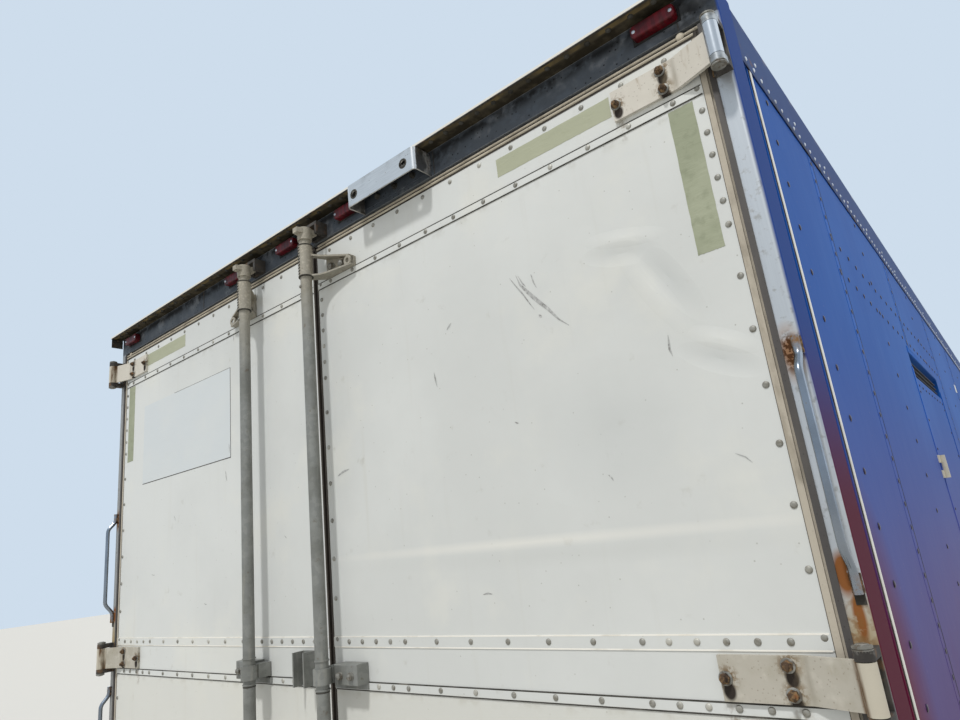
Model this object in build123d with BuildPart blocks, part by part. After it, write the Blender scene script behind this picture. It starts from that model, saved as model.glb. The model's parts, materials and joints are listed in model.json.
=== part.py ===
from build123d import *
from math import cos, radians, sin
import os

# Van semi trailer, standing parked on its landing legs and twin tyres.
# +X is to the right seen from behind, +Y points forward to the coupling pin, +Z is up.
# The origin is on the ground, half way along the body and on its centre line.
# All sizes are in millimetres.

# Overall box
BODY_LENGTH = 14630.0
BODY_WIDTH = 2591.0
BODY_HEIGHT = 3810.0
REAR = -BODY_LENGTH / 2
FRONT = BODY_LENGTH / 2
SIDE = BODY_WIDTH / 2

# Heights built up from the ground: tyre, clearance, crossmember, floor
TYRE_RADIUS = 508.0
TYRE_CLEARANCE = 137.0
CROSSMEMBER_DEPTH = 102.0
FLOOR_THICKNESS = 35.0
CROSSMEMBER_BOTTOM = 2 * TYRE_RADIUS + TYRE_CLEARANCE
DECK_UNDERSIDE = CROSSMEMBER_BOTTOM + CROSSMEMBER_DEPTH
FLOOR_HEIGHT = DECK_UNDERSIDE + FLOOR_THICKNESS

# How far each cut runs past the metal that it opens
PAST = 1.0

# Walls, floor and roof
WALL_THICKNESS = 44.0
SKIN_STEP = 3.0
BOARD_WIDTH = 305.0
BOARD_GROOVE = 4.0
FRONT_WALL_THICKNESS = 60.0
FRONT_CORNER_ROUNDING = 0.86
ROOF_SHEET = 4.0
ROOF_BOW_DEPTH = 38.0
ROOF_BOW_WIDTH = 50.0
ROOF_BOW_PITCH = 610.0
WALL_SKIN = SIDE - SKIN_STEP
WALL_INNER = WALL_SKIN - WALL_THICKNESS

# Rails along the body
TOP_RAIL_DEPTH = 133.0
TOP_RAIL_BOX = 64.0
TOP_RAIL_CORNER = 10.0
BOTTOM_RAIL_DEPTH = 160.0
BOTTOM_RAIL_SKIRT = 55.0
BOTTOM_RAIL_WEB = 6.0
BOTTOM_RAIL_LIP = 60.0
BOTTOM_RAIL_BOTTOM = FLOOR_HEIGHT - BOTTOM_RAIL_DEPTH

# Crossmembers under the floor
CROSSMEMBER_FLANGE = 57.0
CROSSMEMBER_FLANGE_METAL = 5.0
CROSSMEMBER_WEB = 4.0
CROSSMEMBER_PITCH = 330.0

# Rear frame
POST_FACE = 35.5
POST_DEPTH = 97.0
POST_WALL = 5.0
POST_CORNER = 8.0
POST_GROOVE = 28.0
POST_GROOVE_DEPTH = 12.0
HEADER_HEIGHT = 72.0
HEADER_WALL = 5.0
VISOR_REACH = 48.0
VISOR_THICKNESS = 6.0
SILL_DEPTH = 200.0
SILL_WALL = 10.0
ROOF_TOP = BODY_HEIGHT - VISOR_THICKNESS
HEADER_BOTTOM = ROOF_TOP - HEADER_HEIGHT
SILL_BOTTOM = FLOOR_HEIGHT - SILL_DEPTH
POST_INNER = SIDE - POST_FACE
FRAME_FRONT = REAR + POST_DEPTH

# Rear doors
DOOR_THICKNESS = 44.0
DOOR_CLEARANCE = 5.0
SEAL_SIDE = 21.0
SEAL_TOP = 26.0
SEAL_BOTTOM = 16.0
SEAL_MEETING = 6.0
SEAL_LIP = 12.0
SEAL_STEP = 4.0
SEAL_PROUD = 1.0
MEETING_X = 36.0
DOOR_EDGE = POST_INNER - DOOR_CLEARANCE - SEAL_SIDE
DOOR_TOP = HEADER_BOTTOM - DOOR_CLEARANCE - SEAL_TOP
DOOR_BOTTOM = FLOOR_HEIGHT + DOOR_CLEARANCE + SEAL_BOTTOM
INNER_FRAME = 70.0
INNER_RECESS = 6.0
BELT_PROUD = 1.5
# Raised belts on the doors; columns: hinge number from the top, low and high edge from its middle
BELTS = ((0, -66.0, -47.0), (1, 41.0, 65.0), (1, -57.0, -38.0), (2, 41.0, 65.0), (2, -57.0, -38.0))

# Door hinges, the middle one half way between the others
TOP_HINGE_DROP = 57.0
BOTTOM_HINGE_RISE = 149.0
HINGE_LEAF_HEIGHT = 70.0
HINGE_LEAF_METAL = 8.0
HINGE_LEAF_REACH = 228.0
HINGE_CREASE = 91.0
HINGE_BARREL_RADIUS = 14.0
HINGE_PIN_RADIUS = 8.0
HINGE_PIN_CLEARANCE = 0.1
HINGE_PIN_HEAD = 6.0
HINGE_PIN_BACK = 40.0
HINGE_PIN_INSET = 0.5
HINGE_LEAF_STEP = 11.0
HINGE_LUG = 14.0
HINGE_END_GAP = 1.0
# Hinge base plate: reach inward from the pin, metal
HINGE_BASE = (20.0, 6.0)
TOP_HINGE = DOOR_TOP - TOP_HINGE_DROP
BOTTOM_HINGE = DOOR_BOTTOM + BOTTOM_HINGE_RISE
MIDDLE_HINGE = (TOP_HINGE + BOTTOM_HINGE) / 2
HINGE_HEIGHTS = (TOP_HINGE, MIDDLE_HINGE, BOTTOM_HINGE)
PIN_X = SIDE - HINGE_BARREL_RADIUS - HINGE_PIN_INSET
PIN_Y = REAR - HINGE_PIN_BACK

# Lock rods; each place is measured from the meeting line of the doors
ROD_RADIUS = 16.5
ROD_BACK = 60.0
LEFT_ROD_FROM_MEETING = -291.0
RIGHT_ROD_FROM_MEETING = 34.0
ROD_OVER_HEADER = 18.0
ROD_UNDER_FLOOR = 46.0
ROD_RUNNING_GAP = 0.5
ROD_LINE = REAR - ROD_BACK
ROD_TOP = HEADER_BOTTOM + ROD_OVER_HEADER
ROD_BOTTOM = FLOOR_HEIGHT - ROD_UNDER_FLOOR

# Cam heads at both rod ends, and the keepers that they turn into
CAM_HEIGHT = 38.0
CAM_HUB = ROD_RADIUS + 4.0
CAM_LUG_HEIGHT = 15.0
CAM_LUG_HALF = 14.0
CAM_LUG_FRONT = 26.0
CAM_LUG_REAR = 34.0
CAM_LUG_REAR_INSET = 2.0
CAM_LUG_TAPER = 75.0
KEEPER_GAP = 7.0
KEEPER_METAL = 9.0
KEEPER_REACH = 40.0
KEEPER_HEIGHT = 40.0

# Rod brackets at both ends and guides between, on the door
BRACKET_FROM_EDGE = 63.5
BRACKET_LOW_FROM_EDGE = 49.0
BRACKET_HEIGHT = 75.0
BRACKET_BACK = 22.0
BRACKET_REACH = 172.0
BRACKET_NOSE = 26.0
BRACKET_NOSE_DEPTH = 34.0
# How far the nose lies nearer to the middle of the door than the rod end of the bracket
BRACKET_NOSE_SHIFT = 26.0
BRACKET_NOSE_ROUNDING = 0.92
BRACKET_METAL = 6.0
GUIDE_DROPS = (16.0, 752.0)
GUIDE_HEIGHT = 47.0
GUIDE_REACH = 104.0
GUIDE_PAD = 39.0
GUIDE_LIP = 14.0

# Lock handles and their catches
HANDLE_RISE = 190.0
HANDLE_LENGTH = 430.0
HANDLE_METAL = 10.0
HANDLE_WIDTH = 32.0
HANDLE_STAND = 34.0
# Where the handle bends in towards the door, from the rod's centre
HANDLE_BENDS = (60.0, 110.0)
HANDLE_HUB_HEIGHT = 90.0
HANDLE_HUB = ROD_RADIUS + 7.0
CATCH_FROM_ROD = 370.0
CATCH_GAP = 2.0
CATCH_WIDTH = 44.0
CATCH_METAL = 6.0

# Bumper channel on the left door, beside the right rod
CHANNEL_FROM_MEETING = 96.0
CHANNEL_WIDTH = 50.0
CHANNEL_HEIGHT = 84.0
CHANNEL_PROUD = 37.0
CHANNEL_METAL = 5.0
CHANNEL_DROP = 10.0

# Header fittings and grab bars
LAMP_WIDTH = 95.0
LAMP_PROUD = 22.0
LAMP_HEIGHT = 30.0
LAMP_CORNER = 9.0
LAMP_RISE = 40.0
LAMP_FROM_SIDE = 122.5
MIDDLE_LAMP_XS = (-395.0, -90.0, 206.0)
GUARD_SPAN = (269.0, 534.0)
GUARD_PROUD = 63.0
GUARD_WALL = 4.0
GUARD_CORNER = 12.0
GUARD_GAP_BELOW = 1.0
GUARD_GAP_ABOVE = 7.0
GUARD_HOLE_RADIUS = 10.0
GUARD_HOLE_RISE = 30.0
# Hole places from the left end and from the right end
GUARD_HOLE_INSETS = (31.0, 40.0)
GRAB_BAR_RADIUS = 8.0
GRAB_BAR_PROUD = 32.0
GRAB_BAR_BEND = 18.0
# Grab bar ends, measured from the middle hinge
GRAB_BARS = ((115.0, 508.0), (-517.0, -117.0))

# Tail lamps and dock bumpers on the rear sill
TAIL_LAMP_RADIUS = 53.0
TAIL_LAMP_RIM = 8.0
TAIL_LAMP_DOME = 8.0
TAIL_LAMP_FLAT = 6.0
TAIL_LAMP_BEZEL = 4.0
TAIL_LAMP_BODY = 16.0
TAIL_LAMP_SEAT = 2.0
TAIL_LAMP_PITCH = 135.0
TAIL_LAMP_COUNT = 3
TAIL_LAMP_FROM_SIDE = 175.5
BUMPER_WIDTH = 95.0
BUMPER_PROUD = 80.0
BUMPER_FROM_SIDE = 4.0
BUMPER_FROM_FLOOR = 40.0
BUMPER_FROM_BOTTOM = 6.0
BUMPER_CORNER = 16.0

# Side door in the right wall
SIDE_DOOR_FROM_REAR = 1628.0
SIDE_DOOR_WIDTH = 872.0
SIDE_DOOR_OVER_FLOOR = 60.0
SIDE_DOOR_UNDER_RAIL = 454.0
SIDE_DOOR_THICKNESS = 38.0
SIDE_DOOR_REAR_GAP = 5.0
SIDE_DOOR_FRONT_GAP = 7.0
SIDE_DOOR_END_GAP = 6.0
SIDE_SLOT_HEIGHT = 81.0
SIDE_SLOT_DEPTH = 28.0
SIDE_HINGE_TOP_DROP = 328.0
SIDE_HINGE_BOTTOM_RISE = 220.0
SIDE_HINGE_HEIGHT = 77.0
SIDE_HINGE_RADIUS = 9.0
SIDE_HINGE_PIN = 5.0
SIDE_HINGE_LEAF = 46.0
SIDE_HINGE_METAL = 4.0
SIDE_HINGE_END_GAP = 0.5
SIDE_PIN_X = WALL_SKIN + SIDE_HINGE_RADIUS
LATCH_FROM_EDGE = 150.0
LATCH_RISE = 750.0
# Latch recess and paddle: width, height, depth; then corner radii and how far the paddle sits above
LATCH_RECESS = (120.0, 160.0, 18.0)
LATCH_PADDLE = (80.0, 80.0, 10.0)
LATCH_CORNER = 10.0
PADDLE_CORNER = 8.0
PADDLE_RISE = 20.0

# Axles and wheels
TYRE_WIDTH = 276.0
TYRE_FROM_SIDE = 2.0
TREAD_CROWN = 4.0
TREAD_METAL = 33.0
SHOULDER_WIDTH = 32.0
SHOULDER_DROP = 23.0
SIDEWALL_METAL = 25.0
SIDEWALL_INNER_RISE = 5.0
SHOULDER_INNER_INSET = 8.0
BEAD_RADIUS = 285.75
BEAD_WIDTH = 30.0
BEAD_HEIGHT = 44.0
BEAD_SLOPE = 10.0
BEAD_OVER_LIP = 1.0
RIM_WIDTH = 209.5
RIM_LIP_RADIUS = 299.0
RIM_LIP_WIDTH = 12.0
RIM_WELL_RADIUS = 250.0
RIM_WELL_HALF = 30.0
RIM_METAL = 8.0
RIM_LIP_SLOPE = 2.0
RIM_SEAT_END = 6.0
RIM_SEAT_WIDTH = 32.0
RIM_SEAT_DROP = 4.0
DISC_METAL = 12.0
DISC_FLAT_RADIUS = 190.0
DISC_BORE_GAP = 6.0
# The disc curves out to the rim well; columns: distance from the mounting face, radius over the flat
DISC_OUTSIDE = ((0.0, 0.0), (40.0, 45.0))
DISC_INSIDE = ((50.0, 35.0), (DISC_METAL, -8.0))
# Where the disc meets the well; columns: distance from the tyre's middle, radius over the well
DISC_ROOT = ((60.0, 8.0), (52.0, 0.0))
HAND_HOLE_COUNT = 5
HAND_HOLE_CIRCLE = 212.0
HAND_HOLE_RADIUS = 19.0
DUAL_SPACING = 343.0
AXLE_TUBE_RADIUS = 63.5
AXLE_TUBE_INTO_DRUM = 20.0
SPINDLE_RADIUS = 42.0
SPINDLE_CLEARANCE = 0.1
SPINDLE_REACH = 90.0
DRUM_RADIUS = 222.0
DRUM_WIDTH = 228.0
DRUM_WALL = 20.0
DRUM_FROM_DISC = 24.0
SHIELD_GAP = 6.0
SHIELD_METAL = 4.0
HUB_RADIUS = 105.0
HUB_LENGTH = 70.0
OIL_CAP_LENGTH = 34.0
OIL_CAP_FLANGE = 82.0
OIL_CAP_FLANGE_METAL = 8.0
OIL_CAP_RADIUS = 64.0
OIL_CAP_TAPER = (6.0, 58.0, 50.0)
HUB_RIM_STEP = (12.0, 6.0)
# Drum shoulder and hub core; columns: distance behind the mounting face, radius
DRUM_SHOULDER = ((75.0, DRUM_RADIUS), (50.0, DRUM_RADIUS - 10.0))
HUB_CORE = ((130.0, 80.0), (28.0, 95.0), (28.0, 150.0))
HUB_FLANGE_INSET = 18.0
SPINDLE_END_GAP = 3.0
STUD_CIRCLE = 142.9
STUD_COUNT = 10
STUD_RADIUS = 11.0
STUD_REACH = 48.0
STUD_GAP = 1.5
HAND_HOLE_REACH = 126.5
TYRE_SEAT_GAP = 0.3
AXLE_SPREAD = 1245.0
REAR_AXLE_FROM_REAR = 1350.0
AXLE_Z = TYRE_RADIUS
REAR_AXLE_Y = REAR + REAR_AXLE_FROM_REAR
FRONT_AXLE_Y = REAR_AXLE_Y + AXLE_SPREAD
AXLE_YS = (REAR_AXLE_Y, FRONT_AXLE_Y)
DUAL_X = SIDE - TYRE_FROM_SIDE - TYRE_WIDTH / 2 - DUAL_SPACING / 2
DRUM_OPEN_END = DUAL_X - DRUM_FROM_DISC - DRUM_WIDTH

# Leaf springs, bowed from arcs round one centre, with the equalizer between the axles
SPRING_WIDTH = 76.0
SPRING_FROM_TYRE = 103.5
SPRING_BOW_RADIUS = 3000.0
SPRING_SEAT = 25.0
LEAF_COUNT = 3
LEAF_METAL = 16.0
LEAF_STEP = 95.0
SPRING_X = DUAL_X - DUAL_SPACING / 2 - TYRE_WIDTH / 2 - SPRING_FROM_TYRE - SPRING_WIDTH / 2
SPRING_LOW = AXLE_Z + AXLE_TUBE_RADIUS + SPRING_SEAT
SPRING_HIGH = SPRING_LOW + LEAF_COUNT * LEAF_METAL
EQUALIZER_REACH = 95.0
EQUALIZER_ARM = 150.0
EQUALIZER_PIVOT_RISE = 68.0
EQUALIZER_BOSS = 38.0
EQUALIZER_PIN = 18.0
EQUALIZER_PIN_CLEARANCE = 0.2
EQUALIZER_PIN_END = 9.0
EQUALIZER_TIP = 30.0
EQUALIZER_HEAD = 30.0
SPRING_HALF = AXLE_SPREAD / 2 - EQUALIZER_REACH
SPRING_END_RISE = SPRING_BOW_RADIUS - (SPRING_BOW_RADIUS**2 - SPRING_HALF**2) ** 0.5
SPRING_END_TOP = SPRING_HIGH + SPRING_END_RISE
SPRING_PAD_GAP = 1.0
CLAMP_BOLT_RADIUS = 11.0
CLAMP_PLATE = 16.0
CLAMP_HALF_LENGTH = 75.0
CLAMP_GAP = 2.0
CLAMP_FIT = 0.3
CLAMP_BOLT_FOOT = 5.0
CLAMP_BOLT_OVER_PLATE = 24.0

# Suspension subframe, its hangers and radius rods
SUBFRAME_DEPTH = 110.0
SUBFRAME_WIDTH = 76.0
SUBFRAME_METAL = 8.0
SUBFRAME_BEHIND_AXLE = 700.0
SUBFRAME_AHEAD_OF_AXLE = 1500.0
SUBFRAME_BOTTOM = CROSSMEMBER_BOTTOM - SUBFRAME_DEPTH
SUBFRAME_REAR = REAR_AXLE_Y - SUBFRAME_BEHIND_AXLE
SUBFRAME_FRONT = FRONT_AXLE_Y + SUBFRAME_AHEAD_OF_AXLE
PIN_HOLE_RADIUS = 19.0
PIN_HOLE_PITCH = 152.4
PIN_HOLE_COUNT = 14
CROSS_BEAM_FLANGE = 80.0
CROSS_BEAM_DEPTH = 90.0
CROSS_BEAM_INSET = 60.0
HANGER_WIDTH = 100.0
HANGER_METAL = 8.0
HANGER_TOP_LENGTH = 200.0
HANGER_BOTTOM_LENGTH = 110.0
HANGER_TOP_PLATE = 12.0
HANGER_PAD = 40.0
HANGER_SPRING_OVERHANG = 20.0
ROD_EYE_RADIUS = 28.0
ROD_EYE_DROP = 61.0
ROD_EYE_GAP = 0.3
ROD_EYE_FROM_AXLE = 118.5
ROD_EYE_OVER_AXLE = 30.0
# Ears round the rear eye: past the eye, under it, over it, and up from the tube's underside
ROD_EAR = (45.0, 40.0, 30.0, 10.0)
HANGER_UNDER_EYE = 17.0
RADIUS_ROD_RADIUS = 21.0
REAR_HANGER_Y = REAR_AXLE_Y - SPRING_HALF + HANGER_SPRING_OVERHANG
MIDDLE_HANGER_Y = (REAR_AXLE_Y + FRONT_AXLE_Y) / 2
FRONT_HANGER_Y = FRONT_AXLE_Y + SPRING_HALF - HANGER_SPRING_OVERHANG
ROD_EYE_Z = SPRING_END_TOP - ROD_EYE_DROP
HANGER_BOTTOM = ROD_EYE_Z - ROD_EYE_RADIUS - HANGER_UNDER_EYE

# Brakes and air
CHAMBER_FROM_SPRING = 153.0
CHAMBER_BEHIND_AXLE = 190.0
CHAMBER_OVER_AXLE = 150.0
CHAMBER_RADIUS = 88.0
CHAMBER_LENGTH = 140.0
CHAMBER_BAND = (15.0, 9.0)
CHAMBER_CORNER = 30.0
# Plate that carries the chamber: half width, metal, foot over the axle, top over the chamber
CHAMBER_PLATE = (60.0, 10.0, 20.0, 60.0)
# Ribs from the axle to that plate: places from the chamber's middle, metal, top over the axle
CHAMBER_RIBS = (-52.0, 44.0)
CHAMBER_RIB_METAL = 8.0
CHAMBER_RIB_TOP = 110.0
CAMSHAFT_RADIUS = 19.0
CAMSHAFT_BEHIND_AXLE = 110.0
CAMSHAFT_OVER_AXLE = 15.0
PUSH_ROD_RADIUS = 9.0
PUSH_ROD_HOLE_GAP = 4.0
PUSH_ROD_GAP = 0.5
# Brake lever on the camshaft: half width, half depth, reach over the chamber's middle
BRAKE_LEVER = (10.0, 14.0, 20.0)
CAMSHAFT_PAST_CHAMBER = 30.0
CHAMBER_X = SPRING_X - CHAMBER_FROM_SPRING
TANK_RADIUS = 140.0
TANK_HALF_LENGTH = 380.0
TANK_DOME = 45.0
# A point on the dome's arc, as shares of the dome's length and the tank's radius
TANK_DOME_POINT = (0.7, 0.6)
TANK_PORT = 16.0
TANK_PITCH = 330.0
TANK_GAP_ABOVE = 12.0
TANK_BAND = (40.0, 4.0)
TANKS_BEHIND_SUBFRAME_FRONT = 430.0

# Mud flaps
FLAP_FROM_SIDE = 6.5
FLAP_WIDTH = 610.0
FLAP_METAL = 8.0
FLAP_GROUND_GAP = 280.0
FLAP_BAR = 40.0
FLAP_UNDER_BAR_TOP = 6.0

# Rear impact guard
IMPACT_BAR = 100.0
IMPACT_BAR_METAL = 6.0
IMPACT_BAR_FROM_SIDE = 75.5
IMPACT_BAR_LOW = 460.0
IMPACT_BAR_FROM_REAR = 30.0
STRUT_X = 560.0
STRUT_WIDTH = 90.0
STRUT_METAL = 8.0
STRUT_TOP_DEPTH = 200.0
GUSSET = (60.0, 100.0)

# Front end
KINGPIN_FROM_FRONT = 914.0
KINGPIN_Y = FRONT - KINGPIN_FROM_FRONT
KINGPIN_NECK = 25.4
KINGPIN_COLLAR = 35.7
KINGPIN_SHANK = 36.5
KINGPIN_FLANGE = 90.0
KINGPIN_FLANGE_METAL = 14.0
KINGPIN_HOLE_GAP = 9.5
KINGPIN_FLANGE_GAP = 1.0
# Kingpin heights under the coupling plate: neck top, neck bottom, collar bottom; then its tapers
KINGPIN_DROPS = (20.0, 50.0, 80.0)
KINGPIN_TAPER = 6.0
KINGPIN_END_CHAMFER = 4.0
COUPLER_PLATE = 10.0
COUPLER_FRAME_DEPTH = 45.0
COUPLER_LENGTH = 1500.0
COUPLER_WIDTH = 1900.0
COUPLER_CHANNEL_WIDTH = 60.0
COUPLER_CHANNELS = 6
COUPLER_LEAD_IN = 140.0
COUPLER_LEAD_RISE = 32.0
COUPLER_HEIGHT = DECK_UNDERSIDE - COUPLER_FRAME_DEPTH - COUPLER_PLATE
CONNECTOR_X = -250.0
CONNECTOR_OVER_FLOOR = 210.0
# Connector box: width, height, depth
CONNECTOR_BOX = (420.0, 170.0, 40.0)
CONNECTOR_BOX_CORNER = 20.0
CONNECTOR_PITCH = 140.0
CONNECTOR_RADIUS = 34.0
CONNECTOR_REACH = 35.0

# Landing gear
LEGS_BEHIND_KINGPIN = 2743.0
LEG_FROM_SIDE = 435.5
LEG_TUBE = 127.0
LEG_INNER_TUBE = 108.0
LEG_TUBE_LENGTH = 723.0
LEG_TUBE_CORNER = 12.0
LEG_INNER_CORNER = 10.0
LEG_INNER_UNDER_PIVOT = 25.0
LEG_OVERLAP = 60.0
LEG_TOP_PLATE = (240.0, 12.0)
FOOT_SIZE = 254.0
FOOT_FLAT = 90.0
FOOT_TURN_UP = 28.0
FOOT_METAL = 12.0
FOOT_CHEEK = 12.0
FOOT_BEND_INSET = 5.0
FOOT_CHEEK_GAP = 3.0
FOOT_CHEEK_INSET = 10.0
# The cheek's nose round the pivot: half width past the pin, height over it
FOOT_CHEEK_NOSE = (12.0, 30.0)
FOOT_PIVOT_END = 10.0
FOOT_PIVOT_HEIGHT = 80.0
FOOT_PIVOT_RADIUS = 18.0
GEARBOX = (90.0, 150.0, 230.0)
GEARBOX_DROP = 220.0
CRANK_RADIUS = 11.0
CRANK_THROW = 180.0
CRANK_GRIP = 120.0
CRANK_BEND = 20.0
CRANK_FROM_SIDE = 55.0
CROSS_SHAFT_RADIUS = 16.0
LEG_BRACE_RISE = 160.0
LEG_BRACE_WIDTH = 50.0
LEG_BRACE_BACK = 620.0
LEG_BRACE_FLAT = 55.0
CROSS_BRACE_RADIUS = 22.0
CROSS_BRACE_END_X = 120.0
LEG_Y = KINGPIN_Y - LEGS_BEHIND_KINGPIN
LEG_X = SIDE - LEG_FROM_SIDE
LEG_TUBE_BOTTOM = CROSSMEMBER_BOTTOM - LEG_TUBE_LENGTH

# Side marker lamps on the bottom rails
# Columns: length, proud of the rail, height
SIDE_LAMP = (90.0, 12.0, 34.0)
SIDE_LAMP_DROP = 75.0
SIDE_LAMP_FROM_FRONT = 360.0


def block(x, y, z, mode=Mode.ADD):
    """Add or cut a straight block; x, y and z are pairs of its two faces."""
    low, high = min(z), max(z)
    with BuildSketch(Plane.XY.offset(low)) as base:
        with Locations((sum(x) / 2, sum(y) / 2)):
            Rectangle(abs(x[1] - x[0]), abs(y[1] - y[0]))
    extrude(base.sketch, amount=high - low, mode=mode)


def bar(start, end, radius, mode=Mode.ADD):
    """Add or cut a round bar between two points."""
    axis = Vector(*end) - Vector(*start)
    with BuildSketch(Plane(origin=start, z_dir=axis)) as base:
        Circle(radius)
    extrude(base.sketch, amount=axis.length, mode=mode)


def section(plane, points, depth, mode=Mode.ADD):
    """Extrude a closed straight-sided outline along its plane's normal."""
    with BuildSketch(plane) as face:
        with BuildLine():
            Polyline(*points, close=True)
        make_face()
    extrude(face.sketch, amount=depth, mode=mode)


def turned(plane, points, axis, mode=Mode.ADD):
    """Revolve a closed straight-sided outline a full turn."""
    with BuildSketch(plane) as face:
        with BuildLine():
            Polyline(*points, close=True)
        make_face()
    revolve(face.sketch, axis=axis, mode=mode)


def beam(start_x, length, y, z, flange, depth):
    """Add an H-shaped beam across the trailer, centred on one line."""
    with BuildSketch(lengthwise(start_x)) as beam_end:
        with Locations((y, z)):
            Rectangle(flange, depth)
            with GridLocations(flange, 1, 2, 1):
                Rectangle(flange - CROSSMEMBER_WEB, depth - 2 * CROSSMEMBER_FLANGE_METAL, mode=Mode.SUBTRACT)
    extrude(beam_end.sketch, amount=length)


def save(part, name):
    """Name a finished piece and write its file."""
    part.label = name
    export_step(part, f"parts/{name}.step")


def lengthwise(x, y=0.0):
    """Plane facing +X at one X: its x runs forward from one Y, its y runs up from the ground."""
    return Plane(origin=(x, y, 0), x_dir=(0, 1, 0), z_dir=(1, 0, 0))


def facing_back(x, y, z):
    """Plane facing the rear at one point: its x runs to the right, its y runs up."""
    return Plane(origin=(x, y, z), x_dir=(1, 0, 0), z_dir=(0, -1, 0))


os.makedirs("parts", exist_ok=True)

# Wooden floor, one deck with a groove at each board joint
deck_rear, deck_front = FRAME_FRONT, FRONT - FRONT_WALL_THICKNESS
deck_middle, deck_length = (deck_rear + deck_front) / 2, deck_front - deck_rear
with BuildPart() as floor_deck:
    block((-WALL_INNER, WALL_INNER), (deck_rear, deck_front), (DECK_UNDERSIDE, FLOOR_HEIGHT))
    board_joints = int(2 * WALL_INNER // BOARD_WIDTH) - 1
    with BuildSketch(Plane.XY.offset(FLOOR_HEIGHT)):
        with Locations((0, deck_middle)):
            with GridLocations(BOARD_WIDTH, 1, board_joints, 1):
                Rectangle(BOARD_GROOVE, deck_length)
    extrude(amount=-BOARD_GROOVE, mode=Mode.SUBTRACT)
save(floor_deck.part, "floor_deck")

# Crossmembers, one beam at each pitch from the rear sill to the coupling frame
coupler_rear = deck_front - COUPLER_LENGTH
beam_half = SIDE - BOTTOM_RAIL_WEB
first_beam = deck_rear + CROSSMEMBER_PITCH / 2
beam_count = int((coupler_rear - CROSSMEMBER_FLANGE - first_beam) // CROSSMEMBER_PITCH) + 1
with BuildPart() as crossmembers:
    for number in range(beam_count):
        beam(-beam_half, 2 * beam_half, first_beam + number * CROSSMEMBER_PITCH,
             (CROSSMEMBER_BOTTOM + DECK_UNDERSIDE) / 2, CROSSMEMBER_FLANGE, CROSSMEMBER_DEPTH)
save(crossmembers.part, "crossmembers")

# Bottom rails, one extrusion each side with a shelf for the wall and a lip under the beams
rail_web_x, rail_lip_x = SIDE - BOTTOM_RAIL_WEB, SIDE - BOTTOM_RAIL_LIP
rail_skirt_top, rail_lip_top = FLOOR_HEIGHT + BOTTOM_RAIL_SKIRT, BOTTOM_RAIL_BOTTOM + BOTTOM_RAIL_WEB
with BuildPart() as bottom_rails:
    section(
        facing_back(0, deck_front, 0),
        ((SIDE, BOTTOM_RAIL_BOTTOM), (SIDE, rail_skirt_top), (WALL_SKIN, rail_skirt_top),
         (WALL_SKIN, FLOOR_HEIGHT), (WALL_INNER, FLOOR_HEIGHT), (WALL_INNER, DECK_UNDERSIDE),
         (rail_web_x, DECK_UNDERSIDE), (rail_web_x, rail_lip_top), (rail_lip_x, rail_lip_top),
         (rail_lip_x, BOTTOM_RAIL_BOTTOM)),
        deck_length,
    )
    mirror(about=Plane.YZ)
save(bottom_rails.part, "bottom_rails")

# Top rails, a box with a rounded shoulder and a thin skirt lapping the skin
top_rail_bottom = ROOF_TOP - TOP_RAIL_DEPTH
rail_seat = ROOF_TOP - TOP_RAIL_BOX
with BuildPart() as top_rails:
    section(
        facing_back(0, deck_front, 0),
        ((SIDE, top_rail_bottom), (SIDE, ROOF_TOP), (WALL_INNER, ROOF_TOP),
         (WALL_INNER, rail_seat), (WALL_SKIN, rail_seat), (WALL_SKIN, top_rail_bottom)),
        deck_length,
    )
    fillet(top_rails.edges().filter_by(Axis.Y).group_by(Axis.X)[-1].sort_by(Axis.Z)[-1], TOP_RAIL_CORNER)
    mirror(about=Plane.YZ)
save(top_rails.part, "top_rails")

# Side walls, stepped in beside the rear post; the right one has the side door opening
side_door_rear = REAR + SIDE_DOOR_FROM_REAR
side_door_front = side_door_rear + SIDE_DOOR_WIDTH
side_door_low = FLOOR_HEIGHT + SIDE_DOOR_OVER_FLOOR
side_door_high = top_rail_bottom - SIDE_DOOR_UNDER_RAIL
for name, hand in (("left_side_wall", -1), ("right_side_wall", 1)):
    with BuildPart() as side_wall:
        block((hand * WALL_INNER, hand * WALL_SKIN), (deck_rear, deck_front), (FLOOR_HEIGHT, rail_seat))
        block((hand * (WALL_SKIN - POST_GROOVE_DEPTH), hand * WALL_SKIN), (deck_rear, deck_rear + POST_GROOVE),
              (rail_skirt_top, top_rail_bottom), Mode.SUBTRACT)
        if hand > 0:
            block((WALL_INNER, WALL_SKIN), (side_door_rear, side_door_front), (side_door_low, side_door_high),
                  Mode.SUBTRACT)
            block((WALL_SKIN - SIDE_SLOT_DEPTH, WALL_SKIN), (side_door_rear, side_door_front),
                  (side_door_high, side_door_high + SIDE_SLOT_HEIGHT), Mode.SUBTRACT)
    save(side_wall.part, name)

# Front wall with rounded corner posts
with BuildPart() as front_wall:
    with BuildSketch(Plane.XY.offset(BOTTOM_RAIL_BOTTOM)):
        with Locations((0, FRONT - FRONT_WALL_THICKNESS / 2)):
            Rectangle(2 * SIDE, FRONT_WALL_THICKNESS)
    extrude(amount=ROOF_TOP - BOTTOM_RAIL_BOTTOM)
    front_corners = front_wall.edges().filter_by(Axis.Z).sort_by(Axis.Y)[-2:]
    fillet(front_corners, FRONT_CORNER_ROUNDING * FRONT_WALL_THICKNESS)
save(front_wall.part, "front_wall")

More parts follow.
